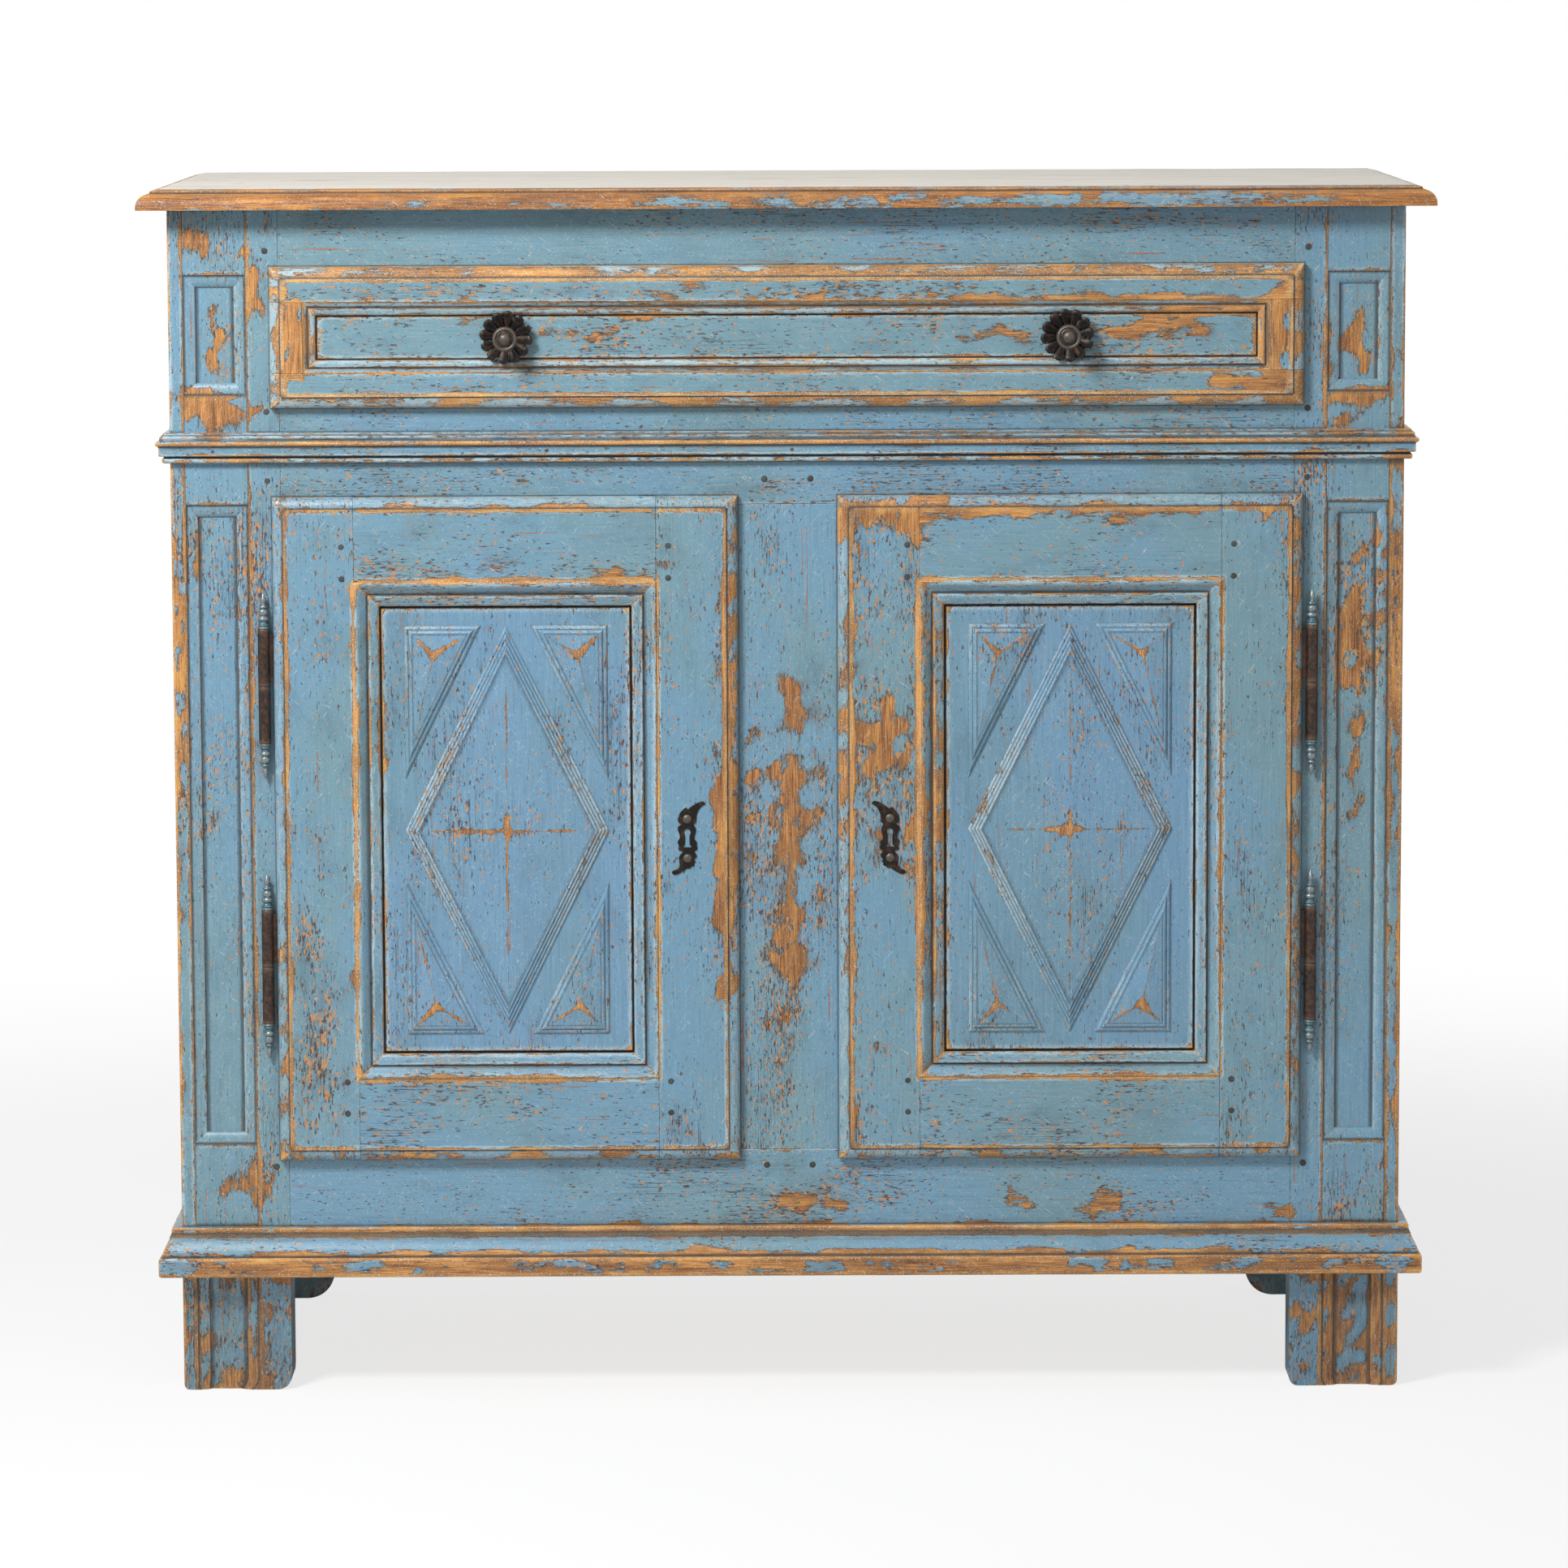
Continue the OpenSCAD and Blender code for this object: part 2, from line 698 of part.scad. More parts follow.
module front_waist_rail() {
    color("steelblue") difference() {
        front_rail(rail_zones[1]);
        centre_mortise([waist_rail_z - past, waist_rail_z + centre_tenon_l + joint_gap]);
        for (side = [-1, 1]) on_side(side) {
            case_peg_bores_front();
            runner_stubs([front_rail_t - stub_l - joint_gap, front_rail_t + past], runner_z,
                joint_gap);
        }
        waist_nail_bores();
    }
}
module front_bottom_rail() {
    color("steelblue") difference() {
        front_rail(rail_zones[0]);
        centre_mortise([bottom_rail_top - centre_tenon_l - joint_gap, bottom_rail_top + past]);
        for (side = [-1, 1]) on_side(side) case_peg_bores_front();
        base_nail_bores();
    }
}
module centre_post() {
    color("steelblue") difference() {
        union() {
            block([-centre_half, centre_half], [0, front_rail_t], [bottom_rail_top, waist_rail_z]);
            block([-centre_half + centre_tenon_in, centre_half - centre_tenon_in],
                [tenon_y, tenon_y + tenon_t],
                [bottom_rail_top - centre_tenon_l, waist_rail_z + centre_tenon_l]);
        }
        block([centre_half - bolt_travel - bolt_hole_more, centre_half + past],
            [bolt_y - bolt_hole_gap, bolt_y + bolt_t + bolt_hole_gap],
            [bolt_z - bolt_hole_gap, bolt_z + bolt_h + bolt_hole_gap]);
    }
}
module side_rails() {
    color("steelblue") for (zone = rail_zones) difference() {
        union() {
            block([side_in, half_w], [post_t, back_post_y], zone);
            block([side_tenon_x, side_tenon_x + side_tenon_t],
                [post_t - side_tenon_l, back_post_y + side_tenon_l],
                [zone[0] + tenon_shoulder, zone[1] - tenon_shoulder]);
        }
        for (i = [0, 1]) {
            block([side_tenon_x, side_tenon_x + side_tenon_t], [post_t - past, back_post_y + past],
                [rail_zones[i][1] - stub_l, rail_zones[i][1] + past]);
            block([side_tenon_x, side_tenon_x + side_tenon_t], [post_t - past, back_post_y + past],
                [rail_zones[i + 1][0] - past, rail_zones[i + 1][0] + stub_l]);
        }
        case_peg_bores_side(post_t - peg_inset);
        case_peg_bores_side(back_post_y + peg_inset);
    }
}
module side_rails_left() {
    on_side(-1) side_rails();
}
module side_rails_right() {
    side_rails();
}

// Side panels: flat inside, bevelled to a tongue all round on the outside
panel_tongue = 7;
panel_bevel_w = 32;
panel_rise = 5;
panel_edge = 3;
panel_sink = 1;
module bevel_profile(a, b) {
    low = side_tenon_x + joint_gap;
    high = side_tenon_x + side_tenon_t - joint_gap;
    proud = min(high + panel_rise, half_w - panel_sink);
    polygon([
        [low, a - panel_tongue], [high, a - panel_tongue], [high, a + panel_edge],
        [proud, a + panel_bevel_w], [proud, b - panel_bevel_w], [high, b - panel_edge],
        [high, b + panel_tongue], [low, b + panel_tongue]
    ]);
}
module side_panels() {
    color("steelblue") for (i = [0, 1]) {
        z = [rail_zones[i][1], rail_zones[i + 1][0]];
        intersection() {
            upwards([z[0] - panel_tongue, z[1] + panel_tongue]) bevel_profile(post_t, back_post_y);
            backward([post_t - panel_tongue, back_post_y + panel_tongue])
                bevel_profile(z[0], z[1]);
        }
    }
}
module side_panels_left() {
    on_side(-1) side_panels();
}
module side_panels_right() {
    side_panels();
}

// Back: three rails and ship-lapped boards
module back_rails() {
    color("peru") for (i = [0 : 2]) difference() {
        zone = rail_zones[i];
        union() {
            block([-back_post_in, back_post_in], [back_post_y, back_board_y], zone);
            block([-back_post_in - tenon_l, back_post_in + tenon_l],
                [back_tenon_y, back_tenon_y + tenon_t],
                [zone[0] + tenon_shoulder, zone[1] - tenon_shoulder]);
        }
        for (side = [-1, 1]) on_side(side) {
            case_peg_bores_back();
            if (i == 1)
                runner_stubs([back_post_y - past, back_post_y + stub_l + joint_gap], runner_z,
                    joint_gap);
            if (i == 2)
                runner_stubs([back_post_y - past, back_post_y + stub_l + joint_gap], kicker_z,
                    joint_gap);
        }
        if (i == 2) top_nail_bores();
    }
}
module back_board(x0, x1, first, last) {
    mid = back_board_y + back_board_t / 2;
    lap = 10;
    upwards([foot_h, case_h]) polygon(concat(
        [[x0, case_d], [x1, case_d]],
        last ? [[x1, back_board_y]] : [[x1, mid], [x1 + lap, mid], [x1 + lap, back_board_y]],
        first ? [[x0, back_board_y]] : [
            [x0 + lap + joint_gap, back_board_y], [x0 + lap + joint_gap, mid + joint_gap],
            [x0, mid + joint_gap]
        ]
    ));
}
module back_boards() {
    run = back_post_in + board_lap - joint_gap;
    wide = 2 * run / back_board_count;
    color("peru") for (k = [0 : back_board_count - 1])
        back_board(-run + k * wide, -run + (k + 1) * wide - joint_gap,
            k == 0, k == back_board_count - 1);
}

// Top: two boards with the moulded edge on the front and both ends
top_half = half_w + top_side_over;
module top_blank() {
    intersection() {
        across([-top_half, top_half]) polygon(concat(
            [for (p = top_profile) [p.x - top_front_over, case_h + p.y]],
            [[case_d, case_h + top_t], [case_d, case_h]]
        ));
        backward([-top_front_over, case_d]) polygon(concat(
            [for (p = top_profile) [p.x - top_half, case_h + p.y]],
            backwards([for (p = top_profile) [top_half - p.x, case_h + p.y]])
        ));
    }
}
module top_board(y) {
    color("whitesmoke") difference() {
        intersection() {
            top_blank();
            block([-top_half - past, top_half + past], y, [case_h - past, case_h + top_t + past]);
        }
        top_nail_bores();
    }
}
module top_front_board() {
    top_board([-top_front_over - past, top_front_board_d]);
}
module top_back_board() {
    top_board([top_front_board_d, case_d + past]);
}

// Inside: floor boards, shelf and their bearers
inside_half = side_in - 1;
floor_board_count = 3;
module floor_boards() {
    color("peru") for (k = [0 : floor_board_count - 1]) {
        y0 = front_rail_t + board_gap;
        wide = (back_post_y - board_gap - y0) / floor_board_count;
        difference() {
            block([-inside_half, inside_half],
                [y0 + k * wide, y0 + (k + 1) * wide - joint_gap], floor_z);
            for (side = [-1, 1]) on_side(side)
                block([post_in - board_gap, half_w], [0, post_t + board_gap],
                    [floor_z[0] - past, floor_z[1] + past]);
        }
    }
}
module shelf() {
    color("peru") difference() {
        block([-inside_half, inside_half], [shelf_back, back_board_y - board_gap], shelf_z);
        for (side = [-1, 1]) on_side(side)
            block([back_post_in - board_gap, half_w], [back_post_y - board_gap, case_d],
                [shelf_z[0] - past, shelf_z[1] + past]);
    }
}
module shelf_bearers() {
    color("peru") for (side = [-1, 1], z = [floor_z[0], shelf_z[0]]) on_side(side)
        block(bearer_x, [post_t - stub_l, back_post_y + stub_l], [z - bearer_h, z]);
}
module runner(z) {
    upwards([z, z + bearer_h]) polygon([
        [runner_in, front_rail_t], [guide_in - joint_gap, front_rail_t],
        [guide_in - joint_gap, post_t + joint_gap], [guide_out, post_t + joint_gap],
        [guide_out, back_post_y], [runner_in, back_post_y]
    ]);
    runner_stubs([front_rail_t - stub_l, front_rail_t + past], z, 0);
    runner_stubs([back_post_y - past, back_post_y + stub_l], z, 0);
}
module drawer_runners() {
    color("peru") for (side = [-1, 1]) on_side(side) runner(runner_z);
}
module drawer_kickers() {
    color("peru") for (side = [-1, 1]) on_side(side) runner(kicker_z);
}
module drawer_guides() {
    color("peru") for (side = [-1, 1]) on_side(side)
        block([guide_in, guide_out], [post_t + joint_gap, back_post_y],
            [waist_rail_top, waist_rail_top + guide_h]);
}

// Mouldings round the case, mitred at the front corners
module case_moulding(z0, profile, out) {
    intersection() {
        across([-half_w - out, half_w + out]) polygon([for (p = profile) [-p.y, z0 + p.x]]);
        upwards([z0 - past, z0 + base_moulding_h + past]) polygon([
            [-half_w + mitre_gap, 0], [half_w - mitre_gap, 0],
            [half_w + out - mitre_gap, -out], [-half_w - out + mitre_gap, -out]
        ]);
    }
    for (side = [-1, 1]) on_side(side) intersection() {
        backward([-out, case_d]) polygon([for (p = profile) [half_w + p.y, z0 + p.x]]);
        upwards([z0 - past, z0 + base_moulding_h + past]) polygon([
            [half_w, 0], [half_w + out, -out], [half_w + out, case_d], [half_w, case_d]
        ]);
    }
}
module nail_bore_y(x, z, out) {
    translate([x, 0, z]) {
        round_y(nail_d + 2 * peg_gap, [-out - past, nail_in]);
        round_y(nail_head_d + 2 * peg_gap, [-out - past, -out + nail_head_t]);
    }
}
// The nails aren't in mirrored places, so a piece drawn on the right and mirrored says its side
module waist_nail_bores(side = 1) {
    for (at = waist_nail_at) nail_bore_y(side * at * half_w, waist_nail_z, waist_band_out);
}
module base_nail_bores(side = 1) {
    for (at = base_nail_at) nail_bore_y(side * at * half_w, base_nail_z, base_out);
}
module top_nail(gap, over) {
    for (x = [-top_nail_x, 0, top_nail_x], y = top_nail_y) translate([x, y, case_h]) {
        translate([0, 0, -top_nail_in - over])
            cylinder(d = nail_d + 2 * gap, h = top_nail_in + over + top_t);
        translate([0, 0, top_t - nail_head_t])
            cylinder(d = nail_head_d + 2 * gap, h = nail_head_t + over);
    }
}
module top_nail_bores() {
    top_nail(peg_gap, end_gap);
}
module waist_moulding() {
    color("steelblue") difference() {
        case_moulding(waist_rail_z + waist_moulding_up, waist_profile, waist_moulding_out);
        waist_nail_bores();
    }
}
module base_moulding() {
    color("steelblue") difference() {
        case_moulding(foot_h, base_profile, base_out);
        base_nail_bores();
    }
}
module nail_y(x, z, out) {
    translate([x, 0, z]) {
        round_y(nail_d, [-out, nail_in - end_gap]);
        round_y(nail_head_d, [-out, -out + nail_head_t]);
    }
}
module nails() {
    color("dimgray") {
        for (at = waist_nail_at) nail_y(at * half_w, waist_nail_z, waist_band_out);
        for (at = base_nail_at) nail_y(at * half_w, base_nail_z, base_out);
        top_nail(0, 0);
    }
}
module carcase_pegs() {
    color("saddlebrown") for (side = [-1, 1], z = case_peg_z) on_side(side) {
        translate([post_in + peg_inset, 0, z]) round_y(peg_d, [-peg_proud, peg_l - end_gap]);
        translate([back_post_in + board_lap + peg_inset, 0, z])
            round_y(peg_d, [case_d - peg_l + end_gap, case_d]);
        for (y = [post_t - peg_inset, back_post_y + peg_inset])
            translate([half_w + peg_proud, y, z]) rotate([0, -90, 0])
                cylinder(d = peg_d, h = peg_l + peg_proud - end_gap);
    }
}

// The outer form of a leaf with a lipped edge all round: a door, or the drawer front
module lipped_blank(x, z, body_x, body_z, body_t) {
    intersection() {
        upwards(z) polygon(concat(
            [for (p = lip_profile) [x[0] + p.x, -p.y]],
            backwards([for (p = lip_profile) [x[1] - p.x, -p.y]]),
            [[body_x[1], -seat_gap], [body_x[1], body_t], [body_x[0], body_t],
                [body_x[0], -seat_gap]]
        ));
        across(x) polygon(concat(
            [for (p = lip_profile) [-p.y, z[0] + p.x]],
            backwards([for (p = lip_profile) [-p.y, z[1] - p.x]]),
            [[-seat_gap, body_z[1]], [body_t, body_z[1]], [body_t, body_z[0]],
                [-seat_gap, body_z[0]]]
        ));
    }
}

// Doors
module door_blank() {
    lipped_blank([door_x0, door_x1], [door_z0, door_z1],
        [centre_half + door_gap, post_in - door_gap],
        [bottom_rail_top + door_gap, waist_rail_z - door_gap], door_body_t);
}
// The two stiles' section: the full front, the seat behind it and the groove in the seat
module stile_zone(lock) {
    front_x = lock ? [door_x0 - past, door_frame_x[0]] : [door_frame_x[1], door_x1 + past];
    seat_x = lock ? [door_x0 - past, door_seat_x[0]] : [door_seat_x[1], door_x1 + past];
    z = [door_z0 - past, door_z1 + past];
    block(front_x, [face_y - past, door_body_t + past], z);
    block(seat_x, [door_seat_y, door_body_t + past], z);
}
module door_pegs_at(d, y) {
    for (x = [door_frame_x[0] - door_peg_inset, door_frame_x[1] + door_peg_inset])
        for (up = door_peg_up)
            for (z = [door_frame_z[1] + up, door_frame_z[0] - up])
                translate([x, 0, z]) round_y(d, y);
}
module door_leaf_slots() {
    for (z = hinge_z)
        block([door_x1 - door_leaf_in - joint_gap, door_x1 + past],
            [axis_y - leaf_t / 2 - joint_gap, axis_y + leaf_t / 2 + joint_gap],
            [z + barrel_half - leaf_end - leaf_l - joint_gap,
                z + barrel_half - leaf_end + joint_gap]);
}
module keyhole(y) {
    translate([key_x, 0, keyhole_top_z]) round_y(keyhole_d, y);
    backward(y) polygon([
        [key_x - slot_w / 2, keyhole_top_z], [key_x - slot_foot_w / 2, key_z - keyhole_h / 2],
        [key_x + slot_foot_w / 2, key_z - keyhole_h / 2], [key_x + slot_w / 2, keyhole_top_z]
    ]);
}
module door_stile(lock, keyed) {
    groove_x = lock ? [door_seat_x[0] - door_groove_d, door_seat_x[0] + past]
        : [door_seat_x[1] - past, door_seat_x[1] + door_groove_d];
    mortise_x = lock ? [door_seat_x[0] - door_tenon_l - joint_gap, door_seat_x[0] + past]
        : [door_seat_x[1] - past, door_seat_x[1] + door_tenon_l + joint_gap];
    groove_y = [door_groove_y, door_groove_y + door_groove_t];
    difference() {
        intersection() {
            door_blank();
            stile_zone(lock);
        }
        block(groove_x, groove_y, [door_seat_z[0] - door_groove_d, door_seat_z[1] + door_groove_d]);
        block(mortise_x, groove_y,
            [door_seat_z[1] + door_groove_d - joint_gap,
                door_seat_z[1] + door_groove_d + door_tenon_h + joint_gap]);
        block(mortise_x, groove_y,
            [door_seat_z[0] - door_groove_d - door_tenon_h - joint_gap,
                door_seat_z[0] - door_groove_d + joint_gap]);
        door_pegs_at(peg_d + 2 * peg_gap, [face_y - past, door_body_t + past]);
        if (!lock) door_leaf_slots();
        if (lock) plate_nail_bores();
        if (keyed) keyhole([face_y - past, door_body_t + past]);
    }
}
module door_rail(upper) {
    front_z = upper ? [door_frame_z[1], door_z1 + past] : [door_z0 - past, door_frame_z[0]];
    seat_z = upper ? [door_seat_z[1], door_z1 + past] : [door_z0 - past, door_seat_z[0]];
    groove_z = upper ? [door_seat_z[1] - past, door_seat_z[1] + door_groove_d]
        : [door_seat_z[0] - door_groove_d, door_seat_z[0] + past];
    tenon_z = upper ? [groove_z[1], groove_z[1] + door_tenon_h]
        : [groove_z[0] - door_tenon_h, groove_z[0]];
    groove_y = [door_groove_y, door_groove_y + door_groove_t];
    difference() {
        union() {
            intersection() {
                door_blank();
                union() {
                    block(door_frame_x, [face_y - past, door_seat_y], front_z);
                    block(door_seat_x, [door_seat_y, door_body_t + past], seat_z);
                }
            }
            block([door_seat_x[0] - door_tenon_l, door_seat_x[1] + door_tenon_l],
                [groove_y[0] + joint_gap, groove_y[1] - joint_gap], tenon_z);
        }
        block([door_seat_x[0] - past, door_seat_x[1] + past], groove_y, groove_z);
        door_pegs_at(peg_d + 2 * peg_gap, [face_y - past, door_body_t + past]);
    }
}
lozenge_w = door_frame_x[1] - door_frame_x[0] - 2 * (door_moulding_w + lozenge_side_gap);
lozenge_h = door_frame_z[1] - door_frame_z[0] - 2 * (door_moulding_w + lozenge_end_gap);
triangle_side_in = 1;
triangle_leg = lozenge_w / 2 - triangle_side_in - triangle_in;
lozenge_reach = lozenge_w * lozenge_h / 2 / norm([lozenge_w, lozenge_h]);
lozenge_profile = reed_profile(lozenge_band, 3, 1.5, 4.5);
triangle_tall = triangle_leg * lozenge_h / lozenge_w;
triangle_reach = (triangle_leg + triangle_tall - norm([triangle_leg, triangle_tall])) / 2;
triangle_profile = reed_profile(triangle_band, 2, 1, 3);
module door_carving() {
    translate([door_mid_x, door_mid_z, 0]) {
        pyramid(
            [[lozenge_w / 2, 0], [0, lozenge_h / 2], [-lozenge_w / 2, 0], [0, -lozenge_h / 2]],
            [0, 0], lozenge_reach, lozenge_profile, lozenge_rise
        );
        corner = [lozenge_w / 2 - triangle_side_in, lozenge_h / 2];
        for (mx = [0, 1], mz = [0, 1]) mirror([mx, 0, 0]) mirror([0, mz, 0])
            pyramid(
                [corner, corner - [triangle_leg, 0], corner - [0, triangle_tall]],
                corner - [triangle_reach, triangle_reach], triangle_reach, triangle_profile,
                triangle_rise
            );
    }
}
module door_panel() {
    loose = 0.5;
    color("skyblue") {
        block([door_seat_x[0] - door_tongue, door_seat_x[1] + door_tongue],
            [door_groove_y + joint_gap, door_groove_y + door_groove_t - joint_gap],
            [door_seat_z[0] - door_tongue, door_seat_z[1] + door_tongue]);
        block([door_seat_x[0] + loose, door_seat_x[1] - loose],
            [door_seat_y, door_panel_back], [door_seat_z[0] + loose, door_seat_z[1] - loose]);
        on_face(door_seat_y) door_carving();
    }
}
module door_mouldings() {
    color("steelblue") on_face(door_seat_y)
        mitred_frame(door_frame_x, door_frame_z, door_moulding_w, door_moulding_profile, 20);
}
module door_pegs() {
    color("saddlebrown") door_pegs_at(peg_d, [face_y - peg_proud, door_body_t]);
}
module left_door_hinge_stile() {
    color("steelblue") on_side(-1) door_stile(false, false);
}
module left_door_lock_stile() {
    color("steelblue") on_side(-1) door_stile(true, false);
}
module left_door_rails() {
    color("steelblue") on_side(-1) {
        door_rail(true);
        door_rail(false);
    }
}
module left_door_panel() {
    on_side(-1) door_panel();
}
module left_door_mouldings() {
    on_side(-1) door_mouldings();
}
module left_door_pegs() {
    on_side(-1) door_pegs();
}
module right_door_hinge_stile() {
    color("steelblue") door_stile(false, false);
}
module right_door_lock_stile() {
    color("steelblue") door_stile(true, true);
}
module right_door_rails() {
    color("steelblue") {
        door_rail(true);
        door_rail(false);
    }
}
module right_door_panel() {
    door_panel();
}
module right_door_mouldings() {
    door_mouldings();
}
module right_door_pegs() {
    door_pegs();
}

// Hinges: half the barrel turns with the door, the other half and the pin stay in the post
barrel_r = barrel_d / 2;
// A turned tip over a barrel's end: beads, ball, disc and a pointed drop
tip_outline = [
    for (p = [
        [0, 0], [0.95, 0], [1, 0.04], [0.8, 0.08], [0.95, 0.12], [0.65, 0.17], [0.65, 0.22],
        [0.9, 0.3], [0.65, 0.36], [0.9, 0.43], [0.95, 0.48], [0.75, 0.56], [0.5, 0.6],
        [0.7, 0.64], [0.35, 0.7], [0.55, 0.78], [0.45, 0.87], [0, 1]
    ]) [p.x * (barrel_r - 0.3), p.y * tip_l]
];
module tip() {
    rotate_extrude() polygon(tip_outline);
}
module door_hinges() {
    color("saddlebrown") for (z = hinge_z) difference() {
        union() {
            translate([axis_x, axis_y, z + seat_gap / 2]) cylinder(d = barrel_d, h = barrel_half);
            translate([axis_x, axis_y, z + seat_gap / 2 + barrel_half]) tip();
            block([door_x1 - door_leaf_in, axis_x - hinge_pin_d / 2 - 1],
                [axis_y - leaf_t / 2, axis_y + leaf_t / 2],
                [z + barrel_half - leaf_end - leaf_l, z + barrel_half - leaf_end]);
        }
        translate([axis_x, axis_y, z - past])
            cylinder(d = hinge_pin_d + 2 * pin_gap, h = pin_up + past + 1);
    }
}
module hinge_pins() {
    color("saddlebrown") for (side = [-1, 1], z = hinge_z) on_side(side) {
        translate([axis_x, axis_y, z - seat_gap / 2 - barrel_half]) {
            cylinder(d = barrel_d, h = barrel_half);
            mirror([0, 0, 1]) tip();
        }
        translate([axis_x, axis_y, z - past]) cylinder(d = hinge_pin_d, h = pin_up + past);
        block([axis_x - leaf_t / 2, axis_x + leaf_t / 2], [axis_y, post_leaf_in],
            [z - barrel_half + leaf_end, z - barrel_half + leaf_end + leaf_l]);
    }
}
module left_door_hinges() {
    on_side(-1) door_hinges();
}
module right_door_hinges() {
    door_hinges();
}

// Key plates: an S-shaped plate with leafy ends. The points of its upper half run from the
// keyhole's middle, and the lower half is the same turned half round
plate_half = [
    [-10.5, -1], [-9.5, 4], [-7.5, 9], [-10, 13], [-9, 20], [-11, 27], [-16, 33], [-19.5, 38],
    [-16, 39.5], [-10, 37], [-4, 34], [0, 33], [3.5, 35], [4.5, 31], [8, 28], [9.5, 22],
    [8.5, 17], [5.5, 15.5], [9.5, 12], [8, 6]
];
module key_plate_flat() {
    polygon(concat(plate_half, [for (p = plate_half) -p]));
}
plate_nail_up = [20.5, -21];
module plate_nail_bores() {
    for (up = plate_nail_up)
        translate([key_x, 0, key_z + up])
            round_y(nail_d + 2 * peg_gap, [face_y - plate_t - past, face_y + 12.5]);
}
module key_plate() {
    color("dimgray") difference() {
        translate([key_x, 0, key_z]) backward([face_y - plate_t, face_y]) key_plate_flat();
        keyhole([face_y - plate_t - past, face_y + past]);
        plate_nail_bores();
    }
}
module plate_nails() {
    color("dimgray") for (up = plate_nail_up)
        translate([key_x, 0, key_z + up]) {
            round_y(nail_d, [face_y - plate_t, face_y + 12]);
            intersection() {
                translate([0, face_y - plate_t + 2.5, 0]) sphere(r = 5.5);
                round_y(20, [face_y - plate_t - 3.5, face_y - plate_t]);
            }
        }
}
module left_key_plate() {
    on_side(-1) key_plate();
}
module right_key_plate() {
    key_plate();
}
module left_plate_nails() {
    on_side(-1) plate_nails();
}
module right_plate_nails() {
    plate_nails();
}

// Rim lock on the back of the right door
module lock_case() {
    color("dimgray") difference() {
        block(lock_x, [door_body_t, door_body_t + lock_t], lock_z);
        block([lock_x[0] - past, bolt_x + bolt_l + 1],
            [bolt_y - seat_gap, bolt_y + bolt_t + seat_gap],
            [bolt_z - seat_gap, bolt_z + bolt_h + seat_gap]);
        block([lock_x[0] + lock_wall, lock_x[1] - lock_wall],
            [door_body_t - past, door_body_t + lock_t - lock_wall],
            [lock_z[0] + lock_wall, bolt_z - 3]);
    }
}
module lock_bolt() {
    color("silver") block([bolt_x, bolt_x + bolt_l], [bolt_y, bolt_y + bolt_t],
        [bolt_z, bolt_z + bolt_h]);
}

// Drawer front: lipped frame, field panel and mitred moulding
module drawer_blank() {
    lipped_blank([-drawer_x, drawer_x], [drawer_z0, drawer_z1], [-drawer_in, drawer_in],
        [waist_rail_top + drawer_gap, top_rail_z - drawer_gap], drawer_body_t);
}
module drawer_stile_tenons(gap) {
    for (z = [
        [drawer_seat_z[0] - drawer_tenon_l - gap, drawer_seat_z[0] + past],
        [drawer_seat_z[1] - past, drawer_seat_z[1] + drawer_tenon_l + gap]
    ])
        block([drawer_seat_x + 3 - gap, drawer_in - 3 + gap],
            [drawer_groove_y + joint_gap - gap,
                drawer_groove_y + drawer_groove_t - joint_gap + gap], z);
}
drawer_groove = [drawer_groove_y, drawer_groove_y + drawer_groove_t];
module drawer_front_rails() {
    color("steelblue") for (upper = [false, true]) difference() {
        intersection() {
            drawer_blank();
            union() {
                block([-drawer_x, drawer_x], [face_y - past, drawer_body_t + past],
                    upper ? [drawer_frame_z[1], drawer_z1] : [drawer_z0, drawer_frame_z[0]]);
                block([-drawer_x, drawer_x], [drawer_seat_y, drawer_body_t + past],
                    upper ? [drawer_seat_z[1], drawer_z1] : [drawer_z0, drawer_seat_z[0]]);
            }
        }
        block([-drawer_seat_x, drawer_seat_x], drawer_groove,
            upper ? [drawer_seat_z[1] - past, drawer_seat_z[1] + drawer_groove_d]
                : [drawer_seat_z[0] - drawer_groove_d, drawer_seat_z[0] + past]);
        for (side = [-1, 1]) on_side(side) drawer_stile_tenons(joint_gap);
        if (!upper)
            block([-drawer_in - past, drawer_in + past],
                [drawer_body_t - bottom_groove_d, drawer_body_t + past],
                [drawer_bottom_z - joint_gap, drawer_bottom_z + drawer_bottom_t + joint_gap]);
    }
}
module drawer_front_stiles() {
    color("steelblue") for (side = [-1, 1]) on_side(side) difference() {
        union() {
            intersection() {
                drawer_blank();
                union() {
                    block([drawer_frame_x, drawer_x], [face_y - past, drawer_seat_y],
                        drawer_frame_z);
                    block([drawer_seat_x, drawer_x], [drawer_seat_y, drawer_body_t + past],
                        drawer_seat_z);
                }
            }
            drawer_stile_tenons(0);
        }
        block([drawer_seat_x - past, drawer_seat_x + drawer_groove_d], drawer_groove,
            drawer_seat_z);
    }
}
module drawer_panel() {
    loose = 0.4;
    color("skyblue") difference() {
        union() {
            block([-drawer_seat_x - drawer_tongue, drawer_seat_x + drawer_tongue],
                [drawer_groove[0] + joint_gap, drawer_groove[1] - joint_gap],
                [drawer_seat_z[0] + loose, drawer_seat_z[1] - loose]);
            block([-drawer_seat_x + loose, drawer_seat_x - loose],
                [drawer_groove[0] + joint_gap, drawer_groove[1] - joint_gap],
                [drawer_seat_z[0] - drawer_tongue, drawer_seat_z[1] + drawer_tongue]);
            block([-drawer_seat_x + loose, drawer_seat_x - loose],
                [drawer_seat_y, drawer_panel_back],
                [drawer_seat_z[0] + loose, drawer_seat_z[1] - loose]);
        }
        for (side = [-1, 1])
            translate([side * knob_x, 0, knob_z])
                round_y(spindle_d + 2 * peg_gap, [drawer_seat_y - past, drawer_panel_back + past]);
    }
}
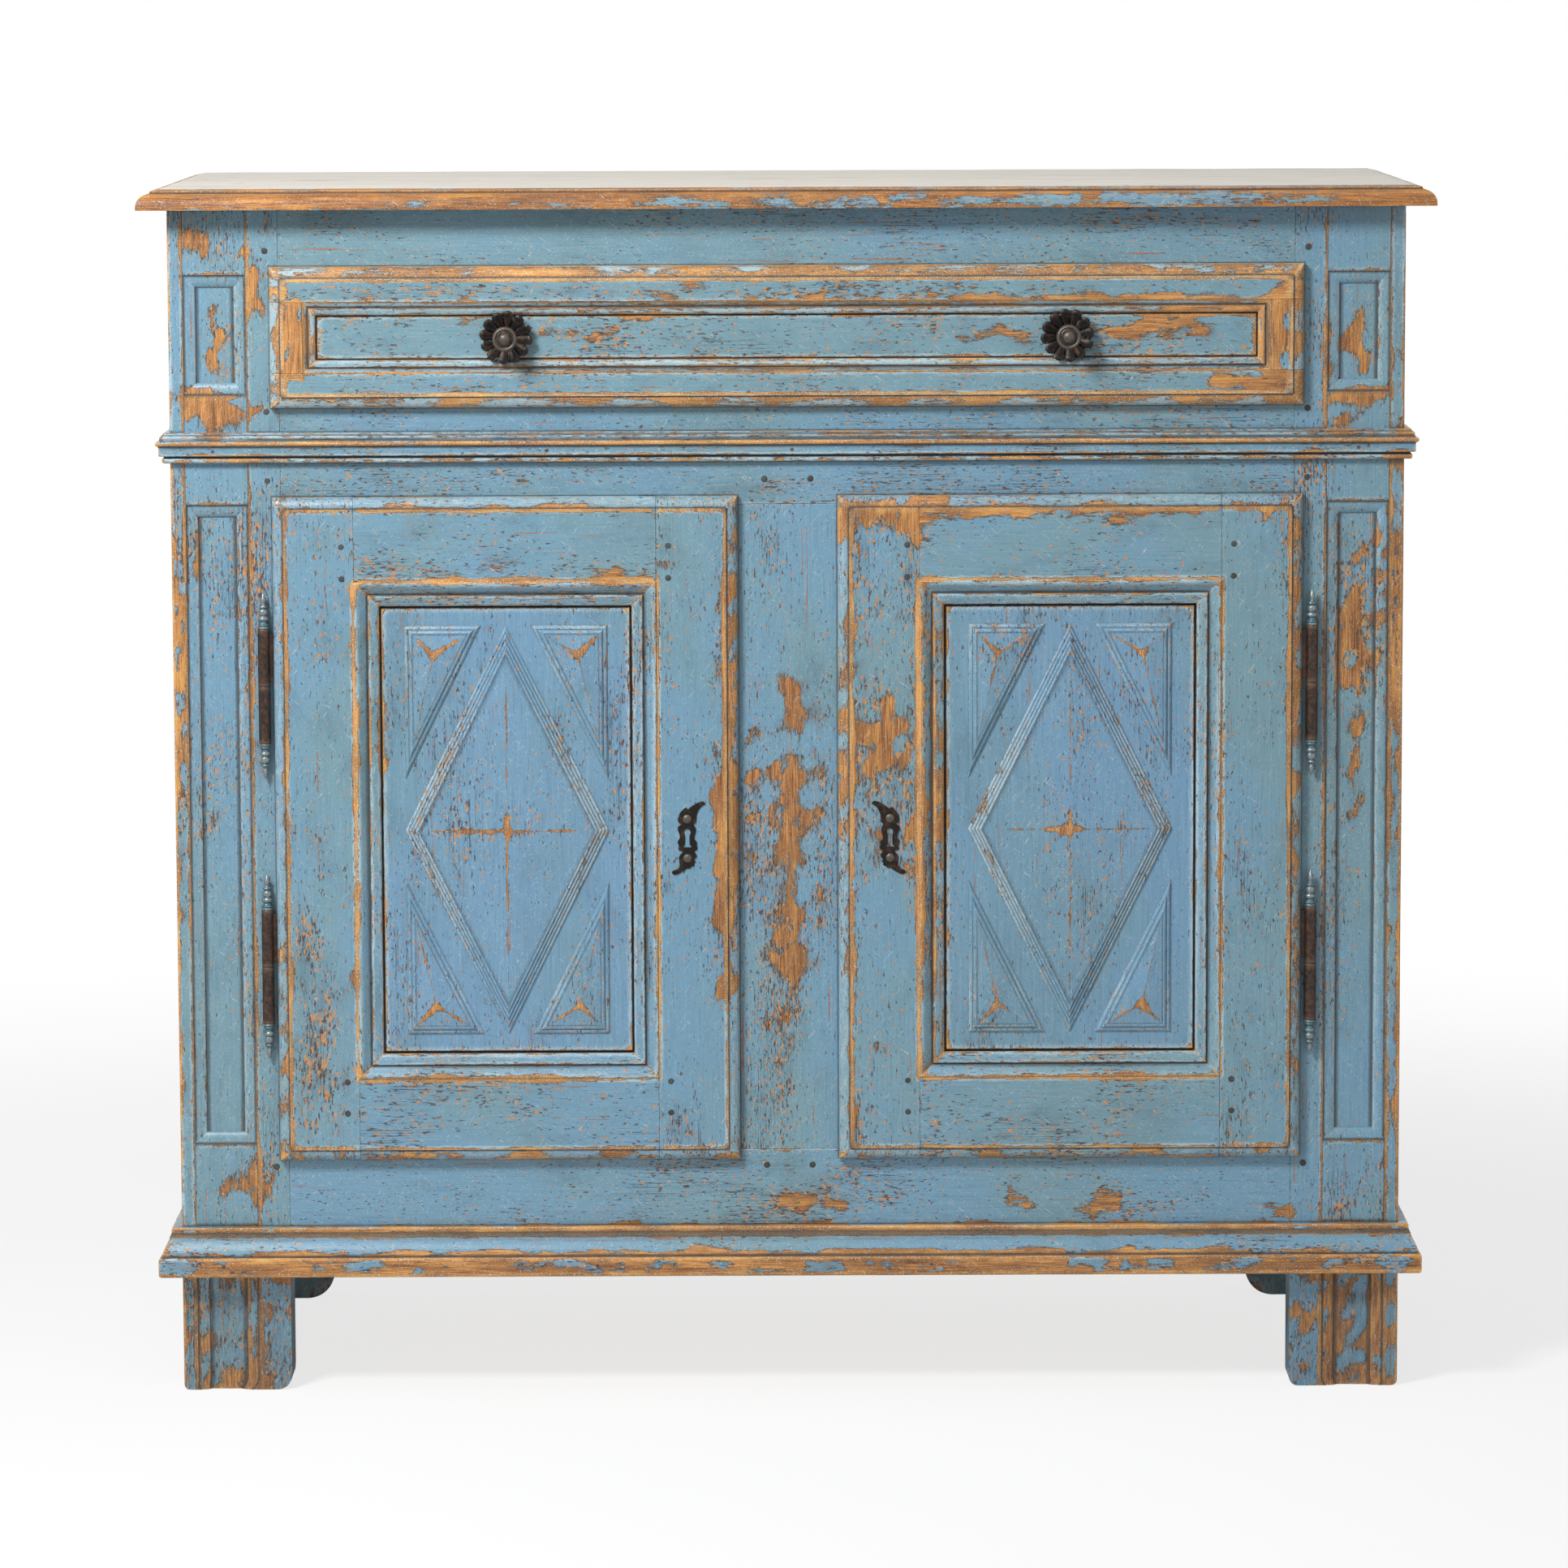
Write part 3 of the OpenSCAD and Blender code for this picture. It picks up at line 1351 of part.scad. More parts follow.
module drawer_mouldings() {
    color("steelblue") on_face(drawer_seat_y)
        mitred_frame([-drawer_frame_x, drawer_frame_x], drawer_frame_z, drawer_moulding_w,
            drawer_moulding_profile, 12);
}
module drawer_sides() {
    color("peru") for (side = [-1, 1]) on_side(side) difference() {
        block([drawer_in, drawer_out], [-seat_gap, drawer_side_l], drawer_side_z);
        block([drawer_in - past, drawer_in + bottom_groove_d],
            [drawer_body_t - bottom_groove_d, drawer_side_l + past],
            [drawer_bottom_z - joint_gap, drawer_bottom_z + drawer_bottom_t + joint_gap]);
    }
}
module drawer_back() {
    color("peru") block([-drawer_in, drawer_in], [drawer_side_l - drawer_side_t, drawer_side_l],
        [drawer_bottom_z + drawer_bottom_t + joint_gap, drawer_side_z[1]]);
}
module drawer_bottom() {
    out = drawer_in + bottom_groove_d - joint_gap;
    color("peru") block([-out, out],
        [drawer_body_t - bottom_groove_d + joint_gap, drawer_side_l],
        [drawer_bottom_z, drawer_bottom_z + drawer_bottom_t]);
}

// Knobs, their petalled rosettes and the square nuts inside the drawer
module at_knobs() {
    for (side = [-1, 1])
        translate([side * knob_x, drawer_seat_y, knob_z]) rotate([90, 0, 0]) children();
}
module drawer_rosettes() {
    petal_r = rosette_r * sin(180 / petal_count) / (1 + sin(180 / petal_count)) * 1.12;
    color("black") at_knobs() intersection() {
        linear_extrude(14) difference() {
            union() {
                circle(r = rosette_r - 1.5 * petal_r);
                for (i = [0 : petal_count - 1]) rotate(i * 360 / petal_count)
                    translate([rosette_r - petal_r, 0]) circle(r = petal_r);
            }
            circle(d = spindle_d + 2 * peg_gap);
        }
        rotate_extrude() polygon([
            [0, 0], [10, 0], [24, 6.7], [rosette_r + 1, 9], [rosette_r + 1, 13], [24, 13],
            [10, 4], [0, 4]
        ]);
    }
}
module drawer_knobs() {
    cap = knob_cap_r;
    foot = 4.2;
    color("black") at_knobs() {
        translate([0, 0, -20]) cylinder(d = spindle_d, h = 20 + foot + 1);
        rotate_extrude() polygon([
            [0, foot], [9, foot], [8, foot + 3], [5, foot + 8], [4.5, knob_l - 20],
            [6, knob_l - 16], [cap - 1, knob_l - 13], [cap, knob_l - 10], [cap, knob_l - 7],
            [cap - 1.5, knob_l - 4.5], [cap - 3, knob_l - 4.5], [cap - 5, knob_l - 2],
            [cap / 3, knob_l - 0.3], [0, knob_l]
        ]);
    }
}
module drawer_nuts() {
    color("dimgray") for (side = [-1, 1])
        translate([side * knob_x, 0, knob_z]) difference() {
            block([-nut_w / 2, nut_w / 2], [drawer_panel_back, drawer_panel_back + nut_t],
                [-nut_w / 2, nut_w / 2]);
            round_y(spindle_d + 2 * peg_gap, [0, drawer_panel_back + nut_t + past]);
        }
}

at_front() {
    front_post_left();
    front_post_right();
    back_post_left();
    back_post_right();
    centre_post();
    front_top_rail();
    front_waist_rail();
    front_bottom_rail();
    post_fillers();
    side_rails_left();
    side_rails_right();
    side_panels_left();
    side_panels_right();
    back_rails();
    back_boards();
    top_front_board();
    top_back_board();
    floor_boards();
    shelf();
    shelf_bearers();
    drawer_runners();
    drawer_guides();
    drawer_kickers();
    waist_moulding();
    base_moulding();
    carcase_pegs();
    nails();
    hinge_pins();
    drawer_front_rails();
    drawer_front_stiles();
    drawer_panel();
    drawer_mouldings();
    drawer_sides();
    drawer_back();
    drawer_bottom();
    drawer_knobs();
    drawer_rosettes();
    drawer_nuts();
    left_door_hinge_stile();
    left_door_lock_stile();
    left_door_rails();
    left_door_panel();
    left_door_mouldings();
    left_door_pegs();
    left_door_hinges();
    left_key_plate();
    left_plate_nails();
    right_door_hinge_stile();
    right_door_lock_stile();
    right_door_rails();
    right_door_panel();
    right_door_mouldings();
    right_door_pegs();
    right_door_hinges();
    right_key_plate();
    right_plate_nails();
    lock_case();
    lock_bolt();
}
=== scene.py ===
# %% [markdown]
# # A painted diamond point cupboard
# The cupboard is pine, pegged together and covered with one coat of blue milk paint that years of
# hands, brooms and sun have worn back to the wood. The solid model already fixes every size and
# every joint. This lesson dresses it: each piece gets softened arrises, hand-planed unevenness and
# a finish made only from nodes.
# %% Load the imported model
import math

import bmesh
import bpy
import numpy as np
from mathutils import Matrix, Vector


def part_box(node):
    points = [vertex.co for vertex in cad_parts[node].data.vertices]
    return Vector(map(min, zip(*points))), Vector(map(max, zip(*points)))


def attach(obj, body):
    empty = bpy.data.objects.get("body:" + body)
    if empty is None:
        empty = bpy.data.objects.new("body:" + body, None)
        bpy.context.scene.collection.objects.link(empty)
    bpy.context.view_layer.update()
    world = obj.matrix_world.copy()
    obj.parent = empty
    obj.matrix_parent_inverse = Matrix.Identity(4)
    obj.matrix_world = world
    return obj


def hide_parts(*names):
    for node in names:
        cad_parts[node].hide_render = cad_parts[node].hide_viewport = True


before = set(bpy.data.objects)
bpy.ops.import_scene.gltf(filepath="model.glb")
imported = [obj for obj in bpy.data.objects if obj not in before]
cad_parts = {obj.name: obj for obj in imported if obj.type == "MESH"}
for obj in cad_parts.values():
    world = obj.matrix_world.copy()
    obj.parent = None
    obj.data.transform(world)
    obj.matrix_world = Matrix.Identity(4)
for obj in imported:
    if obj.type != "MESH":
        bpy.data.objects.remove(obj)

MM = 0.001
FORWARDS, BACKWARDS, UP = (0, -1, 0), (0, 1, 0), (0, 0, 1)
SIDES = ((1, "right"), (-1, "left"))
DOORS = [(side, f"{word}_door") for side, word in SIDES]
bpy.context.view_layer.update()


def placed(name, data):
    """An object in the scene, at the origin. Its place is in its data."""
    thing = bpy.data.objects.new(name, data)
    bpy.context.scene.collection.objects.link(thing)
    return thing


def plain_mesh(thing):
    """The mesh that an object has once its modifiers or its curve are worked out."""
    depsgraph = bpy.context.evaluated_depsgraph_get()
    return bpy.data.meshes.new_from_object(thing.evaluated_get(depsgraph))


# %% [markdown]
# ## Sizes
# Every place comes from the solid pieces, so a change in the model carries through. Lengths are in
# millimetres here and turn to metres when a mesh is made. Heights `w` are measured outwards from
# the front face of the case, `u` runs across and `v` upwards.
# %% Read the sizes of the case, the doors and the drawer
def span(*nodes):
    """Lowest and highest corner of some solid pieces together, in millimetres."""
    corners = [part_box(node) for node in nodes]
    return (np.min([low for low, high in corners], axis=0) / MM,
            np.max([high for low, high in corners], axis=0) / MM)


(post_in, front, _), (half_w, _, case_h) = span("front_post_right")
(back_post_in, back_post_y, _), (_, back, _) = span("back_post_right")
case_d = back - front
post_t = span("front_post_right")[1][1] - front
(_, _, foot_h), (_, _, bottom_rail_top) = span("front_bottom_rail")
(_, _, waist_z), (_, _, waist_top) = span("front_waist_rail")
top_rail_z = span("front_top_rail")[0][2]
centre_half = span("centre_post")[1][0]
(_, top_front_y, _), (top_half, top_joint_y, top_z) = span("top_front_board")
top_over, top_joint = front - top_front_y, top_joint_y - front

door_x0, _, door_z0 = span("right_door_lock_stile")[0]
(_, door_face_y, _), (door_x1, door_back_y, door_z1) = span("right_door_hinge_stile")
(frame_x0, _, frame_z0), (frame_x1, door_seat_y, frame_z1) = span("right_door_mouldings")
door_seat, door_face, door_body = front - door_seat_y, front - door_face_y, door_back_y - front
body_x0, body_x1 = centre_half + 2, post_in - 2
body_z0, body_z1 = bottom_rail_top + 2, waist_z - 2

(_, _, drawer_z0), (drawer_x, _, drawer_z1) = span("drawer_front_rails")
(_, _, field_z0), (field_x, drawer_seat_y, field_z1) = span("drawer_mouldings")
drawer_seat = front - drawer_seat_y
print(f"case {2 * half_w:.0f} x {case_d:.0f} x {case_h:.0f}, door face {door_face:.1f},",
      f"door {door_x0:.0f} to {door_x1:.0f}, drawer to {drawer_x:.0f}")

# %% [markdown]
# ## Hand-made unevenness
# A hand-planed plank is never flat and its arrises are never even. Sums of a few sine waves with a
# fixed seed give that slow unevenness, the same each time the lesson runs.
# %% Slow waves and the places of a fine-to-coarse grid
WAVES = 7


def ripple(u, v, seed, size):
    """Slow unevenness from 0 to 1 over places in millimetres; size is the usual wave."""
    rng = np.random.default_rng(seed)
    total = 0.0
    for _ in range(WAVES):
        turn, phase = rng.uniform(0, 2 * math.pi, 2)
        step = 2 * math.pi / (size * rng.uniform(0.6, 1.9))
        total = total + np.sin(step * (u * math.cos(turn) + v * math.sin(turn)) + phase)
    return np.clip(0.5 + total / (WAVES + 2), 0, 1)


# %% [markdown]
# An arris is only a millimetre or two wide, so the grid of a board is fine at its ends and at each
# moulded step, and coarse between. That keeps every piece light.
# %% Places of a grid along one edge
FINE = np.array([0, 0.35, 0.9, 1.7, 2.8, 4.5])


def stations(low, high, cell, marks=()):
    """Places along one edge: fine at both ends and at each mark, and a coarse row between."""
    places = np.r_[low + FINE, high - FINE, np.asarray(marks, float)]
    places = np.unique(np.round(places[(places >= low) & (places <= high)], 3))
    row = [places[0]]
    for a, b in zip(places, places[1:]):
        if b - a > 0.03:
            row.extend(np.linspace(a, b, max(1, math.ceil((b - a) / cell)) + 1)[1:])
    return np.array(row)


# %% [markdown]
# ## Where the paint has gone
# Paint wears first on arrises, and then where hands, knees and brooms rub. Both go into the mesh as
# attributes that the paint reads: `edge` is how sharply the surface bends outwards nearby, a second
# one how sharply it bends inwards, which the paint turns into grime and painted shade, and `bare`
# marks the rubbed places by their middle and half size on the front, as the photograph shows them.
# %% Rubbed places on the front, each (x, z, half width, half height, strength)
RUBBED = {
    "case": [
        # left post, from the top down
        (-613, 1210, 16, 16, .75), (-561, 1201, 13, 12, .7), (-592, 1109, 11, 34, .85),
        (-595, 1035, 36, 15, 1), (-549, 1160, 9, 24, .6), (-540, 1245, 4, 26, .5),
        (-635, 814, 7, 111, .8), (-638, 618, 6, 86, .6), (-643, 381, 5, 108, .5),
        (-605, 895, 16, 21, .4), (-598, 848, 7, 77, .35), (-603, 631, 8, 60, .5),
        (-556, 810, 11, 107, .4), (-560, 500, 12, 120, .25), (-577, 214, 25, 24, .7),
        (-556, 229, 12, 22, .6),
        # right post
        (596, 1119, 11, 32, .95), (591, 1038, 27, 15, 1), (557, 1102, 8, 40, .6),
        (595, 820, 14, 79, 1), (595, 669, 8, 73, .7), (636, 784, 8, 171, .8),
        (640, 419, 7, 151, .5), (560, 620, 12, 120, .25), (543, 971, 11, 17, .5),
        (583, 973, 34, 5, .5), (620, 210, 14, 36, .5), (589, 190, 17, 9, .6),
        # middle post and rails
        (-20, 812, 15, 60, .45), (2, 639, 32, 109, .8), (0, 474, 23, 56, .75),
        (-2, 353, 13, 65, .55), (-4, 560, 36, 200, .5), (-37, 684, 6, 68, .6), (31, 662, 6, 56, .7),
        (29, 203, 45, 20, .75), (96, 200, 21, 9, .5), (241, 206, 21, 15, .75),
        (349, 197, 51, 15, .7), (520, 190, 17, 9, .6), (400, 1232, 110, 5, .45),
        (-120, 1232, 60, 4, .4), (-304, 967, 25, 6, .62), (-13, 959, 21, 6, .55),
        (-241, 969, 13, 3, .4), (-482, 966, 34, 8, .35), (-40, 966, 300, 7, .2),
        (320, 1040, 100, 6, .35),
        # mouldings and feet
        (-620, 1000, 18, 6, .4), (0, 1004, 655, 2.5, .55), (0, 173, 660, 4, .95),
        (0, 150, 660, 2.6, .7), (-560, 134, 70, 12, .92), (-330, 134, 130, 12, .84),
        (-40, 134, 160, 12, .92), (260, 134, 130, 12, .8), (520, 134, 120, 12, .9),
        (-548, 137, 13, 9, 1), (-590, 60, 46, 60, .56), (590, 60, 46, 60, .8),
        (-575, 8, 46, 12, .85), (590, 8, 50, 10, .75),
    ],
    "door": [
        # left door
        (-523, 601, 4, 325, .45), (-487, 833, 33, 43, .5), (-493, 361, 29, 104, .52),
        (-296, 873, 152, 10, .5), (-99, 891, 44, 34, .35), (-66, 780, 10, 77, .7),
        (-69, 566, 12, 103, .95), (-403, 333, 51, 7, .5), (-258, 320, 60, 20, .4),
        (-276, 309, 43, 13, .5), (-300, 935, 130, 5, .5), (-300, 250, 200, 6, .5),
        (-440, 700, 16, 60, .35),
        # right door
        (99, 926, 40, 19, .95), (295, 929, 152, 7, .8), (92, 690, 30, 39, .9),
        (101, 613, 34, 64, .6), (100, 760, 34, 120, .48), (69, 590, 6, 317, .62),
        (149, 603, 12, 270, .45), (147, 634, 13, 68, .6), (343, 298, 21, 26, .45),
        (364, 326, 17, 7, .4), (526, 769, 7, 153, .6), (531, 443, 6, 172, .35),
        (92, 364, 8, 13, .6), (300, 250, 200, 6, .4),
    ],
    "drawer": [
        (-513, 1115, 12, 34, 1), (508, 1112, 14, 44, 1.1), (490, 1062, 34, 9, .9),
        (-204, 1118, 58, 9, .74), (388, 1120, 74, 10, .8), (218, 1116, 44, 9, .72),
        (-390, 1128, 50, 5, .5), (0, 1180, 540, 5, .35), (-80, 1162, 420, 5, .55),
        (300, 1155, 230, 4, .6), (100, 1052, 420, 5, .45), (250, 1096, 30, 5, .4),
        (470, 1140, 44, 6, .6), (-330, 1062, 150, 5, .35),
    ],
    "top": [(-300, 1262, 400, 7, .5), (-560, 1256, 110, 6, .6), (636, 1252, 40, 10, .6)],
}


# %% [markdown]
# A rubbed place isn't an oval. Two slow waves tear its outline, so neighbouring places run into
# each other as they do on the cupboard.
# %% How bare the wood is at a place
def rubbed(kind):
    """A function of x and z in millimetres that gives how bare the wood is, from 0 to 1."""
    def bareness(x, z):
        bare = np.zeros(np.broadcast(x, z).shape)
        torn_x, torn_z = (2.0 * (ripple(x, z, seed, wave) - 0.5)
                          for seed, wave in ((5, 34), (6, 46)))
        for mid_x, mid_z, half_x, half_z, strength in RUBBED[kind]:
            far = (np.abs((x - mid_x) / half_x + torn_x) ** 3
                   + np.abs((z - mid_z) / half_z + torn_z) ** 3)
            bare = np.maximum(bare, strength * np.clip(1.3 - 0.75 * far ** (1 / 3), 0, 1))
        return bare
    return bareness


print("rubbed places:", {kind: len(places) for kind, places in RUBBED.items()})

# %% [markdown]
# Along a row of points, the change of direction against the normal tells whether the surface turns
# outwards or inwards. Each bend then fades over a small distance on both sides.
# %% Measure how a skin bends
REACH = 1.9 * MM      # how far from an arris the wear spreads
ROWS_AT_ONCE = 24     # keeps the tables of distances small


def bends(at, normal, axis, closed):
    """How sharply a grid of points turns outwards and inwards, spread along one axis."""
    at, normal = np.moveaxis(at, axis, 1), np.moveaxis(normal, axis, 1)
    ahead = np.roll(at, -1, 1) - at
    length = np.linalg.norm(ahead, axis=2)
    unit = ahead / np.maximum(length, 1e-9)[..., None]
    bend = -((unit - np.roll(unit, 1, 1)) * normal).sum(2)
    bend[(length < 1e-7) | (np.roll(length, 1, 1) < 1e-7)] = 0
    if not closed:
        bend[:, [0, -1]] = 0
        length[:, -1] = 0
    total = length.sum(1)
    place = np.cumsum(length, 1) - length
    out, into = np.empty_like(bend), np.empty_like(bend)
    for i in range(0, len(at), ROWS_AT_ONCE):
        rows = slice(i, i + ROWS_AT_ONCE)
        gap = np.abs(place[rows, :, None] - place[rows, None, :])
        if closed:
            gap = np.minimum(gap, np.abs(total[rows, None, None] - gap))
        near = np.exp(-gap / REACH)
        out[rows] = np.einsum("rij,rj->ri", near, np.maximum(bend[rows], 0))
        into[rows] = np.einsum("rij,rj->ri", near, np.maximum(-bend[rows], 0))
    return np.moveaxis(out, 1, axis), np.moveaxis(into, 1, axis)


# %% [markdown]
# ## One way to make a skin
# Boards, mouldings and turned parts are all rings of points, one ring after another. That lets the
# fine rows sit where an arris needs them, and gives every vertex the neighbours that wear needs.
# %% A skin from rings of points
def skin(at, marks=None, flip=False, wear=1.0, extra=None):
    """Faces and wear for rings of points in metres, shaped (ring, point, 3)."""
    rings, count = at.shape[:2]
    normal = np.cross(np.roll(at, -1, 1) - np.roll(at, 1, 1), np.gradient(at, axis=0))
    normal *= -1 if flip else 1
    normal /= np.maximum(np.linalg.norm(normal, axis=2), 1e-12)[..., None]
    # Inward bends later darken the paint, as grime and painted shade.
    edge, dirt = np.add(bends(at, normal, 1, True), bends(at, normal, 0, False))
    run = np.linalg.norm(np.diff(at, axis=0), axis=2)
    place = np.concatenate([np.zeros((1, count)), np.cumsum(run, 0)])
    edge = edge + np.exp(-place / REACH) + np.exp(-(place[-1] - place) / REACH)
    bare = marks(at[..., 0] / MM, at[..., 2] / MM) if marks else np.zeros((rings, count))
    here = np.arange((rings - 1) * count).reshape(-1, count)
    right = np.roll(here, -1, 1)
    faces = np.stack([here, right, right + count, here + count], -1).reshape(-1, 4).tolist()
    faces += [list(range(count))[::-1], list(range((rings - 1) * count, rings * count))]
    if flip:
        faces = [face[::-1] for face in faces]
    return {"at": at.reshape(-1, 3), "faces": faces, "edge": wear * np.minimum(edge, 1.6).ravel(),
            "dirt": np.minimum(dirt, 1.5).ravel(),
            "bare": (bare if extra is None else np.maximum(bare, extra)).ravel()}


# %% [markdown]
# The skins of one piece are joined into a mesh that carries the wear as attributes. The finished
# object stands in for its solid pieces and rides on their body.
# %% Join skins, and finish a piece
def write(mesh, key, values):
    """Gives each point of a mesh a number that finishes can read."""
    attribute = mesh.attributes.new(key, "FLOAT", "POINT")
    attribute.data.foreach_set("value", np.asarray(values, np.float32))


def joined(name, skins, tone=0.0):
    """One mesh from its skins, with the wear, soiling and painted shade that the paint reads."""
    faces, start = [], 0
    for part in skins:
        faces += [[corner + start for corner in face] for face in part["faces"]]
        start += len(part["at"])
    mesh = bpy.data.meshes.new(name)
    mesh.from_pydata(np.concatenate([part["at"] for part in skins]), [], faces)
    for key in ("edge", "dirt", "bare"):
        write(mesh, key, np.concatenate([part[key] for part in skins]))
    write(mesh, "tone", np.full(start, tone))
    return mesh


def make(name, skins, material, nodes=(), body="carcase", tone=0.0):
    """One object from its skins, riding on its body in place of the solid pieces."""
    return finish_piece(name, joined(name, skins, tone), material, nodes, body)


def finish_piece(name, mesh, material, nodes=(), body="carcase", sharp=38):
    """Puts a mesh into the scene with its finish, and lets it ride on its body."""
    mesh.validate()
    mesh.shade_smooth()
    mesh.set_sharp_from_angle(angle=math.radians(sharp))
    mesh.materials.clear()
    mesh.materials.append(material)
    piece = placed(name, mesh)
    if nodes:
        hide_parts(*nodes)
    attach(piece, body)
    return piece


def bare_behind(piece, wood, way):
    """Gives the faces that look the given way, towards the inside, the bare wood."""
    piece.data.materials.append(wood)
    for face in piece.data.polygons:
        if sum(a * b for a, b in zip(face.normal, way)) > 0.7:
            face.material_index = 1


# %% [markdown]
# ## Boards
# Boards lie on four faces of the case, and each face has its own way of measuring across, up and
# outwards. With side = -1 a piece of the right half is drawn again on the left half, and its rings
# then run the other way round.
# %% Places on the four faces of the case
def spot(kind, side=1):
    """Turns (u, v, w) in millimetres on a face of the case into points in metres."""
    def put(u, v, w):
        x, y, z = {
            "front": (side * u, front - w, v),
            "flank": (side * (half_w + w), front + u, v),
            "top": (side * u, front + v, case_h + w),
            "back": (-side * u, back + w, v),
        }[kind]
        return np.stack(np.broadcast_arrays(x, y, z), -1) * MM
    put.flip = side < 0
    return put


# %% [markdown]
# A board is a height over a grid: the height gives its moulded edge or sunk panel, slow waves make
# it hand-planed, and each of its four arrises is worn round by an amount that changes as it goes.
# The rings close round its sides and back, so each board is a solid with a true thickness.
# %% The board itself
SIDE_DEPTHS = np.array([0.5, 1.3, 2.6, 4.6, 8])
PLANED_WAVE, ARRIS_WAVE = 95, 45     # usual waves of a planed face and of a worn arris, in mm


def board(put, us, vs, face, back_w, seed, soft=(1, 1, 1, 1), waves=0.25, marks=None,
          outline=None, wear=1.0, hold=None):
    """A closed board: us and vs are its grid, face(u, v) its height, soft its worn arrises,
    and hold(u, v) how much of the wear stays, from 0 to 1."""
    u, v = np.meshgrid(us, vs)
    w = face(u, v) - waves * ripple(u, v, seed, PLANED_WAVE)
    for k, (gap, worn) in enumerate(zip((u - us[0], us[-1] - u, v - vs[0], vs[-1] - v), soft)):
        radius = worn * (0.5 + ripple(u, v, seed + 20 + k, ARRIS_WAVE))
        near = np.clip(1 - gap / np.maximum(radius, 0.05), 0, 1)
        w = w - radius * (1 - np.sqrt(1 - near ** 2))
    thick = float(np.max(w) - back_w)
    side = np.unique(np.concatenate([SIDE_DEPTHS[SIDE_DEPTHS < thick * 0.6] / thick,
                                     np.linspace(0, 1, max(2, int(thick / 14) + 1))[1:-1],
                                     [max(1 - 1.0 / thick, 0.7)]]))
    low, high = w[:, :1], w[:, -1:]
    behind = np.linspace(us[-1] - 1, us[0] + 1, max(2, int((us[-1] - us[0]) / 30)))
    rows = len(vs)
    ring_u = np.concatenate([u, np.full((rows, len(side)), us[-1]),
                             np.tile(behind, (rows, 1)), np.full((rows, len(side)), us[0])], 1)
    ring_w = np.concatenate([w, high - side * (high - back_w),
                             np.full((rows, len(behind)), float(back_w)),
                             (low - side * (low - back_w))[:, ::-1]], 1)
    ring_v = np.tile(vs[:, None], (1, ring_u.shape[1]))
    if outline:
        take_low, take_high = outline(ring_v)
        share = (ring_u - us[0]) / (us[-1] - us[0])
        ring_u = ring_u + take_low * (1 - share) - take_high * share
    piece = skin(put(ring_u, ring_v, ring_w), marks, flip=put.flip, wear=wear)
    kept = hold(ring_u, ring_v) if hold else np.ones(ring_u.shape)
    for gap, worn in zip((ring_u - us[0], us[-1] - ring_u, ring_v - vs[0], vs[-1] - ring_v), soft):
        near = np.clip(1.5 - gap / 4, 0, 1)
        kept = np.minimum(kept, 1 - near * (1 - min(1.0, 0.1 + 0.75 * max(worn - 0.3, 0))))
    piece["edge"] = piece["edge"] * kept.ravel()
    return piece


def flat(height):
    """The face of a board that has no moulding."""
    return lambda u, v: np.full(u.shape, float(height))


print("grid of a 700 mm stile:", len(stations(0, 700, 7)), "places")

# %% [markdown]
# ## Moulded strips
# The mouldings are long sticks with one section. The section is a short list of corners, each of
# which wear has cut back a little, with points between them close enough to take the wear.
# %% Soften a section
def softened(points, most=0.8):
    """A section with its corners cut back by up to most millimetres, as wear does."""
    points = np.asarray(points, float)
    row = [points[0]]
    for before, corner, after in zip(points, points[1:], points[2:]):
        for other in (before, after):
            gap = np.linalg.norm(other - corner)
            row.append(corner + (other - corner) * min(0.3, most / max(gap, 1e-6)))
    row.append(points[-1])
    fine = [row[0]]
    for a, b in zip(row, row[1:]):
        for share in np.linspace(0, 1, max(1, int(np.linalg.norm(b - a) / 1.6)) + 1)[1:]:
            fine.append(a + (b - a) * share)
    return np.array(fine)


# %% [markdown]
# Two cuts at 45 degrees let mouldings meet round a corner, so each point of the section stops at
# its own distance from the corner. Small dents lie along the high places, where things have hit.
# %% Run a section along an edge
STRIP_CELL, DENT = 9, 0.5


def strip(start, end, across, up, section, seed, cut=(1, 1), marks=None, wear=1.0):
    """A strip from start to end (mm); section is (distance across, height up), cut its mitres."""
    start, end, across, up = (np.asarray(p, float) for p in (start, end, across, up))
    full = np.linalg.norm(end - start)
    run = (end - start) / full
    far, high = softened(section).T
    share = stations(0, full, STRIP_CELL)[:, None] / full
    shift = high if min(cut) < 0 else far
    along = cut[0] * shift + share * (full - shift * (cut[0] + cut[1]))
    dents = DENT * ripple(along, far * 4, seed, 55) * np.clip(high / max(high.max(), 1), 0, 1)
    bowed = np.where(high > 0.5, high - dents, high)
    at = start + run * along[..., None] + across * far[:, None] + up * bowed[..., None]
    turn = np.dot(np.cross(across, up), run)
    return skin(at * MM, marks, flip=turn > 0, wear=wear)


# %% [markdown]
# ## Finishes
# Each finish is built from noise whose size is a real one: fibres about a millimetre across and
# drawn out along the grain, growth rings of 8 to 10 mm, chips of a few millimetres, and slow tone
# over a hand's breadth. Every colour is a screen colour, turned to linear light.
# %% A colour, and the one function that adds a node
EASED = {"interpolation_type": "SMOOTHSTEP"}


def colour(code):
    """A screen colour such as 6a9abf as linear light."""
    parts = [int(code[i:i + 2], 16) / 255 for i in (0, 2, 4)]
    return [p / 12.92 if p <= 0.04045 else ((p + 0.055) / 1.055) ** 2.4 for p in parts] + [1.0]


